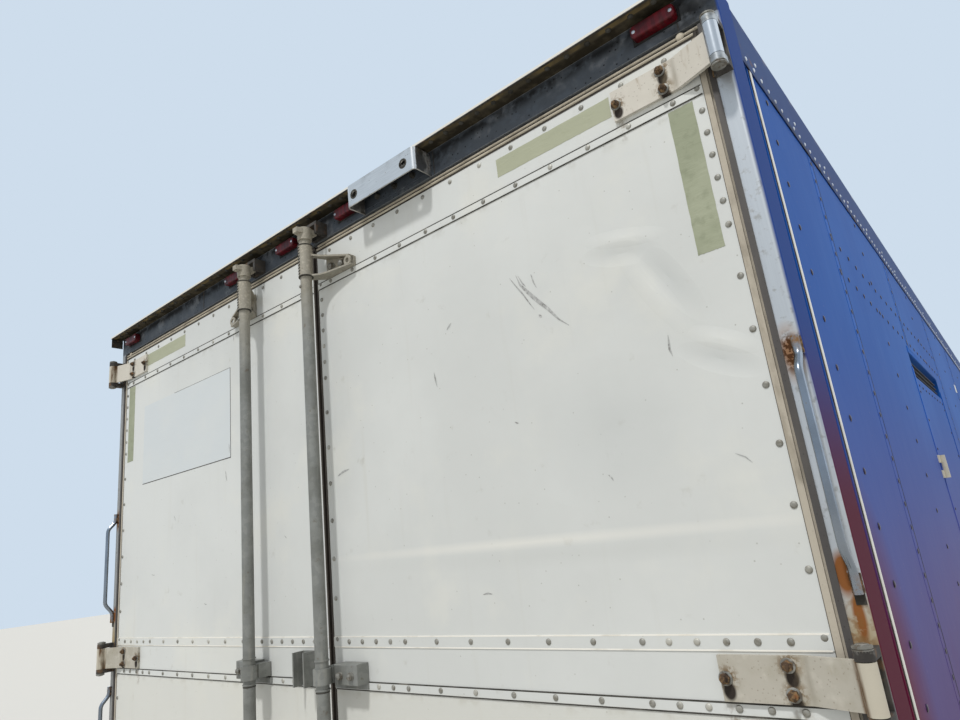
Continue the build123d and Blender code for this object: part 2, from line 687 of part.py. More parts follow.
# Roof sheet with its bows underneath
bow_count = int((deck_length - ROOF_BOW_WIDTH) // ROOF_BOW_PITCH)
with BuildPart() as roof_panel:
    block((-WALL_INNER, WALL_INNER), (deck_rear, deck_front), (ROOF_TOP - ROOF_SHEET, ROOF_TOP))
    with BuildSketch(Plane.XY.offset(ROOF_TOP - ROOF_SHEET)):
        with Locations((0, deck_middle)):
            with GridLocations(1, ROOF_BOW_PITCH, 1, bow_count):
                Rectangle(2 * WALL_INNER, ROOF_BOW_WIDTH)
    extrude(amount=ROOF_SHEET - ROOF_BOW_DEPTH)
save(roof_panel.part, "roof_panel")

# Rear posts, hollow stainless sections with a rounded outer corner
with BuildPart() as rear_posts:
    with BuildSketch(Plane.XY.offset(SILL_BOTTOM)) as post_section:
        with Locations((SIDE - POST_FACE / 2, REAR + POST_DEPTH / 2)):
            Rectangle(POST_FACE, POST_DEPTH)
        fillet(post_section.vertices().group_by(Axis.Y)[0].sort_by(Axis.X)[-1], POST_CORNER)
        offset(amount=-POST_WALL, mode=Mode.SUBTRACT)
    extrude(amount=ROOF_TOP - SILL_BOTTOM)
    mirror(about=Plane.YZ)
save(rear_posts.part, "rear_posts")


def open_channel(low, high, wall):
    """Outline of a frame channel between two heights, its back to the rear and open to the front."""
    return ((FRAME_FRONT, low), (REAR, low), (REAR, high), (FRAME_FRONT, high), (FRAME_FRONT, high - wall),
            (REAR + wall, high - wall), (REAR + wall, low + wall), (FRAME_FRONT, low + wall))


# Header between the posts, with the visor plate over both
with BuildPart() as rear_header:
    section(lengthwise(-POST_INNER), open_channel(HEADER_BOTTOM, ROOF_TOP, HEADER_WALL), 2 * POST_INNER)
    block((-SIDE, SIDE), (REAR - VISOR_REACH, FRAME_FRONT), (ROOF_TOP, BODY_HEIGHT))
save(rear_header.part, "rear_header")

# Rear sill, a channel between the posts with a round hole for each tail lamp
tail_lamp_z = (SILL_BOTTOM + FLOOR_HEIGHT) / 2
tail_lamp_xs = [
    hand * (SIDE - TAIL_LAMP_FROM_SIDE - place * TAIL_LAMP_PITCH)
    for hand in (-1, 1) for place in range(TAIL_LAMP_COUNT)
]
with BuildPart() as rear_sill:
    section(lengthwise(-POST_INNER), open_channel(SILL_BOTTOM, FLOOR_HEIGHT, SILL_WALL), 2 * POST_INNER)
    for lamp_x in tail_lamp_xs:
        bar((lamp_x, REAR - PAST, tail_lamp_z), (lamp_x, REAR + SILL_WALL + PAST, tail_lamp_z),
            TAIL_LAMP_RADIUS + TAIL_LAMP_SEAT, Mode.SUBTRACT)
save(rear_sill.part, "rear_sill")

# Tail lamps, each a can with a rim on the sill and a domed lens
rim_radius, lens_top = TAIL_LAMP_RADIUS + TAIL_LAMP_RIM, TAIL_LAMP_BEZEL + TAIL_LAMP_DOME
with BuildPart() as tail_lamps:
    for lamp_x in tail_lamp_xs:
        lamp_plane = Plane(origin=(lamp_x, REAR, tail_lamp_z), x_dir=(0, -1, 0), z_dir=(-1, 0, 0))
        with BuildSketch(lamp_plane) as lamp_half:
            with BuildLine():
                Polyline((-TAIL_LAMP_BODY, 0), (-TAIL_LAMP_BODY, TAIL_LAMP_RADIUS), (0, TAIL_LAMP_RADIUS),
                         (0, rim_radius), (TAIL_LAMP_BEZEL, rim_radius), (TAIL_LAMP_BEZEL, TAIL_LAMP_RADIUS))
                ThreePointArc((TAIL_LAMP_BEZEL, TAIL_LAMP_RADIUS),
                              (lens_top - TAIL_LAMP_DOME / 4, TAIL_LAMP_RADIUS / 2), (lens_top, TAIL_LAMP_FLAT))
                Polyline((lens_top, TAIL_LAMP_FLAT), (lens_top, 0), (-TAIL_LAMP_BODY, 0))
            make_face()
        revolve(lamp_half.sketch, axis=Axis((lamp_x, REAR, tail_lamp_z), (0, 1, 0)))
save(tail_lamps.part, "tail_lamps")

# Dock bumpers, rubber blocks at the lower corners of the frame
with BuildPart() as dock_bumpers:
    bumper_x = SIDE - BUMPER_FROM_SIDE
    block((bumper_x - BUMPER_WIDTH, bumper_x), (REAR - BUMPER_PROUD, REAR),
          (SILL_BOTTOM + BUMPER_FROM_BOTTOM, FLOOR_HEIGHT - BUMPER_FROM_FLOOR))
    fillet(dock_bumpers.faces().sort_by(Axis.Y)[0].edges(), BUMPER_CORNER)
    mirror(about=Plane.YZ)
save(dock_bumpers.part, "dock_bumpers")

# Header marker lamps, rounded blocks with softened faces
with BuildPart() as header_lamps:
    for lamp_x in (-SIDE + LAMP_FROM_SIDE, *MIDDLE_LAMP_XS, SIDE - LAMP_FROM_SIDE):
        with BuildSketch(facing_back(lamp_x, REAR, HEADER_BOTTOM + LAMP_RISE)) as lens:
            RectangleRounded(LAMP_WIDTH, LAMP_HEIGHT, LAMP_CORNER)
        extrude(lens.sketch, amount=LAMP_PROUD)
    fillet(header_lamps.faces().group_by(Axis.Y)[0].edges(), LAMP_CORNER / 3)
save(header_lamps.part, "header_lamps")

# Guard box on the header: a bent strip with a closed top, open below, and two round holes
guard_middle, guard_width = sum(GUARD_SPAN) / 2, GUARD_SPAN[1] - GUARD_SPAN[0]
guard_low, guard_high = HEADER_BOTTOM + GUARD_GAP_BELOW, ROOF_TOP - GUARD_GAP_ABOVE
with BuildPart() as header_guard:
    with BuildSketch(Plane.XY.offset(guard_low)) as guard_plan:
        with Locations((guard_middle, REAR - GUARD_PROUD / 2)):
            Rectangle(guard_width, GUARD_PROUD)
        fillet(guard_plan.vertices().group_by(Axis.Y)[0], GUARD_CORNER)
    extrude(guard_plan.sketch, amount=guard_high - guard_low)
    with BuildSketch(Plane.XY.offset(guard_low)) as guard_core:
        with Locations((guard_middle, REAR - GUARD_PROUD / 2 + GUARD_WALL)):
            Rectangle(guard_width - 2 * GUARD_WALL, GUARD_PROUD)
        fillet(guard_core.vertices().group_by(Axis.Y)[0], GUARD_CORNER - GUARD_WALL)
    extrude(guard_core.sketch, amount=guard_high - guard_low - GUARD_WALL, mode=Mode.SUBTRACT)
    for hole_x in (GUARD_SPAN[0] + GUARD_HOLE_INSETS[0], GUARD_SPAN[1] - GUARD_HOLE_INSETS[1]):
        bar((hole_x, REAR - GUARD_PROUD - PAST, guard_low + GUARD_HOLE_RISE),
            (hole_x, REAR - GUARD_PROUD + GUARD_WALL + PAST, guard_low + GUARD_HOLE_RISE),
            GUARD_HOLE_RADIUS, Mode.SUBTRACT)
save(header_guard.part, "header_guard")

# Grab bars, bent round bars welded to the post faces
with BuildPart() as grab_bars:
    for hand in (-1, 1):
        for end_low, end_high in GRAB_BARS:
            bar_x = hand * (SIDE - POST_FACE / 2)
            bar_low, bar_high = MIDDLE_HINGE + end_low, MIDDLE_HINGE + end_high
            with BuildLine() as grip:
                FilletPolyline(
                    (bar_x, REAR, bar_low), (bar_x, REAR - GRAB_BAR_PROUD, bar_low),
                    (bar_x, REAR - GRAB_BAR_PROUD, bar_high), (bar_x, REAR, bar_high), radius=GRAB_BAR_BEND,
                )
            with BuildSketch(Plane(origin=(bar_x, REAR, bar_low), z_dir=(0, -1, 0))) as grip_end:
                Circle(GRAB_BAR_RADIUS)
            sweep(grip_end.sketch, path=grip.line)
save(grab_bars.part, "grab_bars")

# Hinge butts on the posts: two lugs, their base plate and the pin
with BuildPart() as hinge_butts:
    for hand in (-1, 1):
        for height in HINGE_HEIGHTS:
            half = HINGE_LEAF_HEIGHT / 2 + HINGE_END_GAP
            reach = half + HINGE_LUG
            for lug_low in (height + half, height - reach):
                with BuildSketch(Plane.XY.offset(lug_low)) as lug:
                    with Locations((hand * PIN_X, PIN_Y)):
                        Circle(HINGE_BARREL_RADIUS)
                    with Locations((hand * PIN_X, (PIN_Y + REAR) / 2)):
                        Rectangle(2 * HINGE_BARREL_RADIUS, HINGE_PIN_BACK)
                extrude(lug.sketch, amount=HINGE_LUG)
            block((hand * (PIN_X - HINGE_BASE[0]), hand * (PIN_X + HINGE_BARREL_RADIUS)),
                  (REAR - HINGE_BASE[1], REAR), (height - reach, height + reach))
            bar((hand * PIN_X, PIN_Y, height - reach - HINGE_PIN_HEAD),
                (hand * PIN_X, PIN_Y, height + reach + HINGE_PIN_HEAD), HINGE_PIN_RADIUS)
save(hinge_butts.part, "hinge_butts")


def door_leaf(near_x, far_x):
    """One rear door: a framed panel with belts outside and a recessed lining inside."""
    low_x, high_x = sorted((near_x, far_x))
    inside = REAR + DOOR_THICKNESS
    block((low_x, high_x), (REAR, inside), (DOOR_BOTTOM, DOOR_TOP))
    block((low_x + INNER_FRAME, high_x - INNER_FRAME), (inside - INNER_RECESS, inside),
          (DOOR_BOTTOM + INNER_FRAME, DOOR_TOP - INNER_FRAME), Mode.SUBTRACT)
    for hinge, belt_low, belt_high in BELTS:
        height = HINGE_HEIGHTS[hinge]
        block((low_x, high_x), (REAR - BELT_PROUD, REAR), (height + belt_low, height + belt_high))


def door_seal(near_x, far_x, hand):
    """The rubber round one door: a lip near the panel and a lower outer edge."""
    meeting = near_x - hand * SEAL_MEETING
    inside = REAR + DOOR_THICKNESS
    block((meeting, far_x + hand * SEAL_SIDE), (REAR + SEAL_STEP, inside - SEAL_STEP),
          (DOOR_BOTTOM - SEAL_BOTTOM, DOOR_TOP + SEAL_TOP))
    block((meeting, far_x + hand * SEAL_LIP), (REAR - SEAL_PROUD, REAR + SEAL_STEP),
          (DOOR_BOTTOM - SEAL_LIP, DOOR_TOP + SEAL_LIP))
    block((near_x, far_x), (REAR - 2 * SEAL_PROUD, inside), (DOOR_BOTTOM, DOOR_TOP), Mode.SUBTRACT)


def hinge_leaf(hand, height):
    """One cranked leaf: flat on the door, stepping back to the barrel round the pin."""
    end_x, crease_x, pin_x = hand * (PIN_X - HINGE_LEAF_REACH), hand * (PIN_X - HINGE_CREASE), hand * PIN_X
    step = REAR - HINGE_PIN_BACK + HINGE_LEAF_STEP
    with BuildSketch(Plane.XY.offset(height - HINGE_LEAF_HEIGHT / 2)) as leaf:
        with BuildLine():
            Polyline(
                (end_x, REAR), (crease_x, REAR), (pin_x, step), (pin_x, step - HINGE_LEAF_METAL),
                (crease_x, REAR - HINGE_LEAF_METAL), (end_x, REAR - HINGE_LEAF_METAL), close=True,
            )
        make_face()
        with Locations((pin_x, PIN_Y)):
            Circle(HINGE_BARREL_RADIUS)
            Circle(HINGE_PIN_RADIUS + HINGE_PIN_CLEARANCE, mode=Mode.SUBTRACT)
    extrude(leaf.sketch, amount=HINGE_LEAF_HEIGHT)


def cam_head(x, rod_end, into_rod):
    """A cam head on one rod end: a hub with a lug into the keeper and a lug behind."""
    bar((x, ROD_LINE, rod_end), (x, ROD_LINE, rod_end + into_rod * CAM_HEIGHT), CAM_HUB)
    block((x - CAM_LUG_HALF, x + CAM_LUG_HALF), (ROD_LINE, REAR - CAM_LUG_FRONT),
          (rod_end, rod_end + into_rod * CAM_LUG_HEIGHT))
    with BuildSketch(Plane.XY.offset(rod_end + into_rod * CAM_HEIGHT / 2)) as rear_lug:
        with Locations((x, ROD_LINE - CAM_LUG_REAR / 2)):
            Trapezoid(2 * (CAM_HUB - CAM_LUG_REAR_INSET), CAM_LUG_REAR, CAM_LUG_TAPER, rotation=180)
    extrude(rear_lug.sketch, amount=-into_rod * CAM_LUG_HEIGHT)


def lock_rod(x, hand):
    """One lock rod with a cam head at each end and its bent handle."""
    bar((x, ROD_LINE, ROD_BOTTOM), (x, ROD_LINE, ROD_TOP), ROD_RADIUS)
    cam_head(x, ROD_TOP, -1)
    cam_head(x, ROD_BOTTOM, 1)
    handle_z, hub_half = BOTTOM_HINGE + HANDLE_RISE, HANDLE_HUB_HEIGHT / 2
    bar((x, ROD_LINE, handle_z - hub_half), (x, ROD_LINE, handle_z + hub_half), HANDLE_HUB)
    with BuildSketch(Plane.XY.offset(handle_z - HANDLE_WIDTH / 2)) as handle:
        with BuildLine():
            Polyline((x, ROD_LINE), (x + hand * HANDLE_BENDS[0], ROD_LINE),
                     (x + hand * HANDLE_BENDS[1], REAR - HANDLE_STAND),
                     (x + hand * HANDLE_LENGTH, REAR - HANDLE_STAND))
        trace(line_width=HANDLE_METAL)
    extrude(handle.sketch, amount=HANDLE_WIDTH)


def rod_bracket(x, hand, height, towards):
    """An end bracket: a web and two flanges that taper to a nose; towards is up (1) or down (-1)."""
    plane = Plane(origin=(x, REAR, height), x_dir=(hand, 0, 0), z_dir=(0, -1, 0))
    depth, half, nose = ROD_BACK + BRACKET_BACK, BRACKET_HEIGHT / 2, BRACKET_NOSE / 2
    # The plane's second axis points up on the right door and down on the left one
    nose_v = hand * towards * BRACKET_NOSE_SHIFT
    with BuildSketch(plane) as outline:
        with BuildLine():
            Polyline((-BRACKET_BACK, -half), (-BRACKET_BACK, half), (BRACKET_REACH, nose_v + nose),
                     (BRACKET_REACH, nose_v - nose), close=True)
        make_face()
        nose_corners = outline.vertices().filter_by_position(Axis.X, *sorted((
            x + hand * (BRACKET_REACH - PAST), x + hand * (BRACKET_REACH + PAST))))
        fillet(nose_corners, BRACKET_NOSE_ROUNDING * nose)
    extrude(outline.sketch, amount=depth)
    rod_side, outside, end_x = ROD_RADIUS + BRACKET_METAL, REAR - depth - PAST, BRACKET_REACH + PAST
    section(
        Plane.XY.offset(height - half),
        ((x + hand * rod_side, REAR - depth), (x + hand * rod_side, outside), (x + hand * end_x, outside),
         (x + hand * end_x, REAR - BRACKET_NOSE_DEPTH), (x + hand * BRACKET_REACH, REAR - BRACKET_NOSE_DEPTH)),
        2 * half, Mode.SUBTRACT,
    )
    with BuildSketch(plane.offset(BRACKET_METAL)) as pocket:
        with BuildLine():
            inner_nose, back = BRACKET_REACH - 3 * BRACKET_METAL, BRACKET_BACK + PAST
            inner_v = nose_v * (inner_nose + BRACKET_BACK) / (BRACKET_REACH + BRACKET_BACK)
            inner_half = nose - BRACKET_METAL / 2
            Polyline((-back, BRACKET_METAL - half), (-back, half - BRACKET_METAL),
                     (inner_nose, inner_v + inner_half), (inner_nose, inner_v - inner_half), close=True)
        make_face()
    extrude(pocket.sketch, amount=depth, mode=Mode.SUBTRACT)
    bar((x, ROD_LINE, height - half - PAST), (x, ROD_LINE, height + half + PAST), ROD_RADIUS + ROD_RUNNING_GAP,
        Mode.SUBTRACT)


def rod_guide(x, hand, height):
    """A mid guide: a strap round the rod, with a pad and a lip that rest on the raised belt."""
    low, strap, belt = height - GUIDE_HEIGHT / 2, ROD_RADIUS + BRACKET_METAL, REAR - BELT_PROUD
    ends = (x - hand * strap, x + hand * GUIDE_REACH)
    block(ends, (REAR - GUIDE_PAD, belt), (low, low + GUIDE_HEIGHT))
    block(ends, (REAR - BRACKET_METAL, belt), (low - GUIDE_LIP, low))
    with BuildSketch(Plane.XY.offset(low + BRACKET_METAL)) as loop:
        with Locations((x, ROD_LINE)):
            Circle(strap)
        with Locations((x, REAR - ROD_BACK / 2)):
            Rectangle(2 * strap, ROD_BACK)
        with Locations((x, ROD_LINE)):
            Circle(ROD_RADIUS + ROD_RUNNING_GAP, mode=Mode.SUBTRACT)
    extrude(loop.sketch, amount=GUIDE_HEIGHT - 2 * BRACKET_METAL)


def handle_catch(x, hand):
    """The catch on the door that the handle lies in: a plate with a shelf and a lid."""
    handle_z = BOTTOM_HINGE + HANDLE_RISE
    catch_x = x + hand * CATCH_FROM_ROD
    sides = (catch_x - CATCH_WIDTH / 2, catch_x + CATCH_WIDTH / 2)
    inner = HANDLE_WIDTH / 2 + CATCH_GAP
    outer = inner + CATCH_METAL
    block(sides, (REAR - CATCH_METAL, REAR), (handle_z - 2 * inner, handle_z + 2 * inner))
    for shelf in ((-outer, -inner), (inner, outer)):
        block(sides, (REAR - HANDLE_STAND - HANDLE_METAL, REAR), (handle_z + shelf[0], handle_z + shelf[1]))


half_meeting = DOOR_CLEARANCE + SEAL_MEETING
# Columns: side, hand, door edge at the meeting line, lock rod place
rear_doors = (
    ("left", -1, MEETING_X - half_meeting, MEETING_X + LEFT_ROD_FROM_MEETING),
    ("right", 1, MEETING_X + half_meeting, MEETING_X + RIGHT_ROD_FROM_MEETING),
)
for side, hand, near_x, rod_x in rear_doors:
    far_x = hand * DOOR_EDGE
    with BuildPart() as rear_door:
        door_leaf(near_x, far_x)
    save(rear_door.part, f"{side}_rear_door")
    with BuildPart() as seal:
        door_seal(near_x, far_x, hand)
    save(seal.part, f"{side}_door_seal")
    with BuildPart() as hinge_leaves:
        for height in HINGE_HEIGHTS:
            hinge_leaf(hand, height)
    save(hinge_leaves.part, f"{side}_hinge_leaves")
    with BuildPart() as rod:
        lock_rod(rod_x, hand)
    save(rod.part, f"{side}_lock_rod")
    with BuildPart() as rod_brackets:
        rod_bracket(rod_x, hand, DOOR_TOP - BRACKET_FROM_EDGE, -1)
        rod_bracket(rod_x, hand, DOOR_BOTTOM + BRACKET_LOW_FROM_EDGE, 1)
        for drop in GUIDE_DROPS:
            rod_guide(rod_x, hand, MIDDLE_HINGE - drop)
        handle_catch(rod_x, hand)
    save(rod_brackets.part, f"{side}_rod_brackets")

# Bumper channel on the left door near the meeting line, open to the rear
channel_x, channel_z = MEETING_X - CHANNEL_FROM_MEETING, MIDDLE_HINGE - CHANNEL_DROP
channel_y = REAR - BELT_PROUD - CHANNEL_PROUD / 2
with BuildPart() as left_door_channel:
    with BuildSketch(Plane.XY.offset(channel_z - CHANNEL_HEIGHT / 2)) as channel_plan:
        with Locations((channel_x, channel_y)):
            Rectangle(CHANNEL_WIDTH, CHANNEL_PROUD)
        with Locations((channel_x, channel_y - CHANNEL_METAL)):
            Rectangle(CHANNEL_WIDTH - 2 * CHANNEL_METAL, CHANNEL_PROUD, mode=Mode.SUBTRACT)
    extrude(channel_plan.sketch, amount=CHANNEL_HEIGHT)
save(left_door_channel.part, "left_door_channel")

# Keepers on the header and the sill: a plate and two ears bridged beyond the cam lug
keeper_half = CAM_LUG_HALF + KEEPER_GAP + KEEPER_METAL
with BuildPart() as cam_keepers:
    for side, hand, near_x, rod_x in rear_doors:
        for rod_end, outward in ((ROD_TOP, 1), (ROD_BOTTOM, -1)):
            near_z = rod_end - outward * CAM_LUG_HEIGHT
            far_z = near_z + outward * KEEPER_HEIGHT
            block((rod_x - keeper_half, rod_x + keeper_half), (REAR - KEEPER_REACH, REAR), (near_z, far_z))
            block((rod_x - CAM_LUG_HALF - KEEPER_GAP, rod_x + CAM_LUG_HALF + KEEPER_GAP),
                  (REAR - KEEPER_REACH - PAST, REAR - KEEPER_METAL),
                  (near_z - outward * PAST, far_z - outward * KEEPER_METAL), Mode.SUBTRACT)
save(cam_keepers.part, "cam_keepers")

# Side door panel with a recessed paddle latch
side_door_y = (side_door_rear + SIDE_DOOR_REAR_GAP, side_door_front - SIDE_DOOR_FRONT_GAP)
latch_y, latch_z = side_door_y[1] - LATCH_FROM_EDGE, side_door_low + LATCH_RISE
with BuildPart() as side_door:
    block((WALL_SKIN - SIDE_DOOR_THICKNESS, WALL_SKIN), side_door_y,
          (side_door_low + SIDE_DOOR_END_GAP, side_door_high - SIDE_DOOR_END_GAP))
    with BuildSketch(lengthwise(WALL_SKIN)) as latch_outline:
        with Locations((latch_y, latch_z)):
            RectangleRounded(LATCH_RECESS[0], LATCH_RECESS[1], LATCH_CORNER)
    extrude(latch_outline.sketch, amount=-LATCH_RECESS[2], mode=Mode.SUBTRACT)
    with BuildSketch(lengthwise(WALL_SKIN - LATCH_RECESS[2])) as paddle_outline:
        with Locations((latch_y, latch_z + PADDLE_RISE)):
            RectangleRounded(LATCH_PADDLE[0], LATCH_PADDLE[1], PADDLE_CORNER)
    extrude(paddle_outline.sketch, amount=LATCH_PADDLE[2])
save(side_door.part, "side_door")

# Side door hinges: the middle knuckle on the door, the outer two and the pin on the wall
side_hinge_top = side_door_high - SIDE_HINGE_TOP_DROP
side_hinge_bottom = side_door_low + SIDE_HINGE_BOTTOM_RISE
side_hinges = (side_hinge_top, (side_hinge_top + side_hinge_bottom) / 2, side_hinge_bottom)
knuckle = SIDE_HINGE_HEIGHT / 3
with BuildPart() as side_door_leaves:
    for height in side_hinges:
        low = height - knuckle / 2 + SIDE_HINGE_END_GAP
        with BuildSketch(Plane.XY.offset(low)) as middle_knuckle:
            with Locations((SIDE_PIN_X, side_door_rear)):
                Circle(SIDE_HINGE_RADIUS)
            with Locations((WALL_SKIN + SIDE_HINGE_METAL / 2, side_door_rear + SIDE_HINGE_LEAF / 2)):
                Rectangle(SIDE_HINGE_METAL, SIDE_HINGE_LEAF)
            with Locations((SIDE_PIN_X, side_door_rear)):
                Circle(SIDE_HINGE_PIN + HINGE_PIN_CLEARANCE, mode=Mode.SUBTRACT)
        extrude(middle_knuckle.sketch, amount=knuckle - 2 * SIDE_HINGE_END_GAP)
save(side_door_leaves.part, "side_door_leaves")

with BuildPart() as side_door_butts:
    for height in side_hinges:
        hinge_low, hinge_high = height - SIDE_HINGE_HEIGHT / 2, height + SIDE_HINGE_HEIGHT / 2
        for low in (hinge_low, hinge_high - knuckle):
            with BuildSketch(Plane.XY.offset(low)) as end_knuckle:
                with Locations((SIDE_PIN_X, side_door_rear)):
                    Circle(SIDE_HINGE_RADIUS)
                with Locations((WALL_SKIN + SIDE_HINGE_METAL / 2, side_door_rear - SIDE_HINGE_LEAF / 2)):
                    Rectangle(SIDE_HINGE_METAL, SIDE_HINGE_LEAF)
            extrude(end_knuckle.sketch, amount=knuckle)
        bar((SIDE_PIN_X, side_door_rear, hinge_low), (SIDE_PIN_X, side_door_rear, hinge_high), SIDE_HINGE_PIN)
save(side_door_butts.part, "side_door_butts")

# Rear impact guard: a hollow bar on two channel struts with gussets
bar_half = SIDE - IMPACT_BAR_FROM_SIDE
bar_top = IMPACT_BAR_LOW + IMPACT_BAR
bar_rear = REAR + IMPACT_BAR_FROM_REAR
strut_front = bar_rear + IMPACT_BAR
with BuildPart() as rear_guard:
    with BuildSketch(lengthwise(-bar_half)) as bar_section:
        with Locations(((bar_rear + strut_front) / 2, (IMPACT_BAR_LOW + bar_top) / 2)):
            RectangleRounded(IMPACT_BAR, IMPACT_BAR, 2 * IMPACT_BAR_METAL)
        offset(amount=-IMPACT_BAR_METAL, mode=Mode.SUBTRACT)
    extrude(bar_section.sketch, amount=2 * bar_half)
    for hand in (-1, 1):
        strut_low_x = hand * STRUT_X - STRUT_WIDTH / 2
        section(
            lengthwise(strut_low_x),
            ((bar_rear, SILL_BOTTOM), (bar_rear + STRUT_TOP_DEPTH, SILL_BOTTOM), (strut_front, bar_top),
             (bar_rear, bar_top)),
            STRUT_WIDTH,
        )
        section(
            lengthwise(strut_low_x + STRUT_METAL),
            ((bar_rear + STRUT_METAL, SILL_BOTTOM + PAST), (bar_rear + 2 * STRUT_TOP_DEPTH, SILL_BOTTOM + PAST),
             (strut_front + STRUT_TOP_DEPTH, bar_top + STRUT_METAL),
             (bar_rear + STRUT_METAL, bar_top + STRUT_METAL)),
            STRUT_WIDTH - 2 * STRUT_METAL, Mode.SUBTRACT,
        )
        for outward in (-1, 1):
            face_x = hand * STRUT_X + outward * STRUT_WIDTH / 2
            section(
                facing_back(0, bar_rear + IMPACT_BAR / 2, 0),
                ((face_x, bar_top), (face_x + outward * GUSSET[0], bar_top),
                 (face_x, bar_top + GUSSET[1])),
                STRUT_METAL,
            )
save(rear_guard.part, "rear_guard")

# Suspension subframe: two drilled box rails, cross beams and the mud flap bar
flap_y = SUBFRAME_REAR + FLAP_BAR
flap_outer = SIDE - FLAP_FROM_SIDE
rail_middle_z = (SUBFRAME_BOTTOM + CROSSMEMBER_BOTTOM) / 2
rail_inner_x = SPRING_X - SUBFRAME_WIDTH / 2
subframe_length = SUBFRAME_FRONT - SUBFRAME_REAR
with BuildPart() as suspension_subframe:
    for hand in (-1, 1):
        with BuildSketch(facing_back(hand * SPRING_X, SUBFRAME_FRONT, rail_middle_z)) as rail_section:
            Rectangle(SUBFRAME_WIDTH, SUBFRAME_DEPTH)
            offset(amount=-SUBFRAME_METAL, mode=Mode.SUBTRACT)
        extrude(rail_section.sketch, amount=subframe_length)
        with BuildSketch(lengthwise(hand * SPRING_X - SUBFRAME_WIDTH)) as pin_holes:
            with Locations((SUBFRAME_FRONT - PIN_HOLE_PITCH * (PIN_HOLE_COUNT + 1) / 2, rail_middle_z)):
                with GridLocations(PIN_HOLE_PITCH, 1, PIN_HOLE_COUNT, 1):
                    Circle(PIN_HOLE_RADIUS)
        extrude(pin_holes.sketch, amount=2 * SUBFRAME_WIDTH, mode=Mode.SUBTRACT)
    beam_ys = (SUBFRAME_REAR + CROSS_BEAM_INSET, REAR_HANGER_Y, MIDDLE_HANGER_Y, FRONT_HANGER_Y,
               SUBFRAME_FRONT - CROSS_BEAM_INSET)
    for beam_y in beam_ys:
        beam(-rail_inner_x, 2 * rail_inner_x, beam_y, rail_middle_z, CROSS_BEAM_FLANGE, CROSS_BEAM_DEPTH)
    block((-flap_outer, flap_outer), (flap_y - FLAP_BAR, flap_y), (SUBFRAME_BOTTOM, SUBFRAME_BOTTOM + FLAP_BAR))
save(suspension_subframe.part, "suspension_subframe")

# Spring hangers: two side plates under a top plate, with a pad over each free spring end
pad_low = SPRING_END_TOP + SPRING_PAD_GAP
pivot_z = SPRING_END_TOP + EQUALIZER_PIVOT_RISE
inner_half = HANGER_WIDTH / 2 - HANGER_METAL
with BuildPart() as spring_hangers:
    for hand in (-1, 1):
        for hanger_y in (REAR_HANGER_Y, MIDDLE_HANGER_Y, FRONT_HANGER_Y):
            section(
                lengthwise(hand * SPRING_X - HANGER_WIDTH / 2, hanger_y),
                ((-HANGER_TOP_LENGTH / 2, SUBFRAME_BOTTOM), (HANGER_TOP_LENGTH / 2, SUBFRAME_BOTTOM),
                 (HANGER_BOTTOM_LENGTH / 2, HANGER_BOTTOM), (-HANGER_BOTTOM_LENGTH / 2, HANGER_BOTTOM)),
                HANGER_WIDTH,
            )
            sides = (hand * SPRING_X - inner_half, hand * SPRING_X + inner_half)
            ends = (hanger_y - HANGER_TOP_LENGTH, hanger_y + HANGER_TOP_LENGTH)
            if hanger_y == MIDDLE_HANGER_Y:
                block(sides, ends, (HANGER_BOTTOM - PAST, SUBFRAME_BOTTOM - HANGER_TOP_PLATE), Mode.SUBTRACT)
                bar((hand * SPRING_X - HANGER_WIDTH, hanger_y, pivot_z),
                    (hand * SPRING_X + HANGER_WIDTH, hanger_y, pivot_z),
                    EQUALIZER_PIN + EQUALIZER_PIN_CLEARANCE, Mode.SUBTRACT)
            else:
                block(sides, ends, (HANGER_BOTTOM - PAST, pad_low), Mode.SUBTRACT)
                block(sides, ends, (pad_low + HANGER_PAD, SUBFRAME_BOTTOM - HANGER_TOP_PLATE), Mode.SUBTRACT)
save(spring_hangers.part, "spring_hangers")

# Leaf springs, stepped packs of bowed leaves, and the equalizers between them
bow_centre = SPRING_HIGH + SPRING_BOW_RADIUS
with BuildPart() as leaf_springs:
    for hand in (-1, 1):
        spring_side = hand * SPRING_X - SPRING_WIDTH / 2
        for axle_y in AXLE_YS:
            with BuildSketch(lengthwise(spring_side, axle_y)) as leaf_pack:
                for leaf in range(LEAF_COUNT):
                    upper, lower = (SPRING_BOW_RADIUS + (leaf + edge) * LEAF_METAL for edge in (0, 1))
                    half = SPRING_HALF - leaf * LEAF_STEP
                    upper_end, lower_end = (bow_centre - (r**2 - half**2) ** 0.5 for r in (upper, lower))
                    with BuildLine():
                        ThreePointArc((-half, upper_end), (0, bow_centre - upper), (half, upper_end))
                        Line((half, upper_end), (half, lower_end))
                        ThreePointArc((half, lower_end), (0, bow_centre - lower), (-half, lower_end))
                        Line((-half, lower_end), (-half, upper_end))
                    make_face()
            extrude(leaf_pack.sketch, amount=SPRING_WIDTH)
        section(
            lengthwise(spring_side, MIDDLE_HANGER_Y),
            ((-EQUALIZER_ARM, pad_low), (EQUALIZER_ARM, pad_low), (EQUALIZER_ARM, pad_low + EQUALIZER_TIP),
             (EQUALIZER_BOSS, pivot_z + EQUALIZER_HEAD), (-EQUALIZER_BOSS, pivot_z + EQUALIZER_HEAD),
             (-EQUALIZER_ARM, pad_low + EQUALIZER_TIP)),
            SPRING_WIDTH,
        )
        pin_half = HANGER_WIDTH / 2 + EQUALIZER_PIN_END
        bar((hand * SPRING_X - pin_half, MIDDLE_HANGER_Y, pivot_z),
            (hand * SPRING_X + pin_half, MIDDLE_HANGER_Y, pivot_z), EQUALIZER_PIN)
save(leaf_springs.part, "leaf_springs")

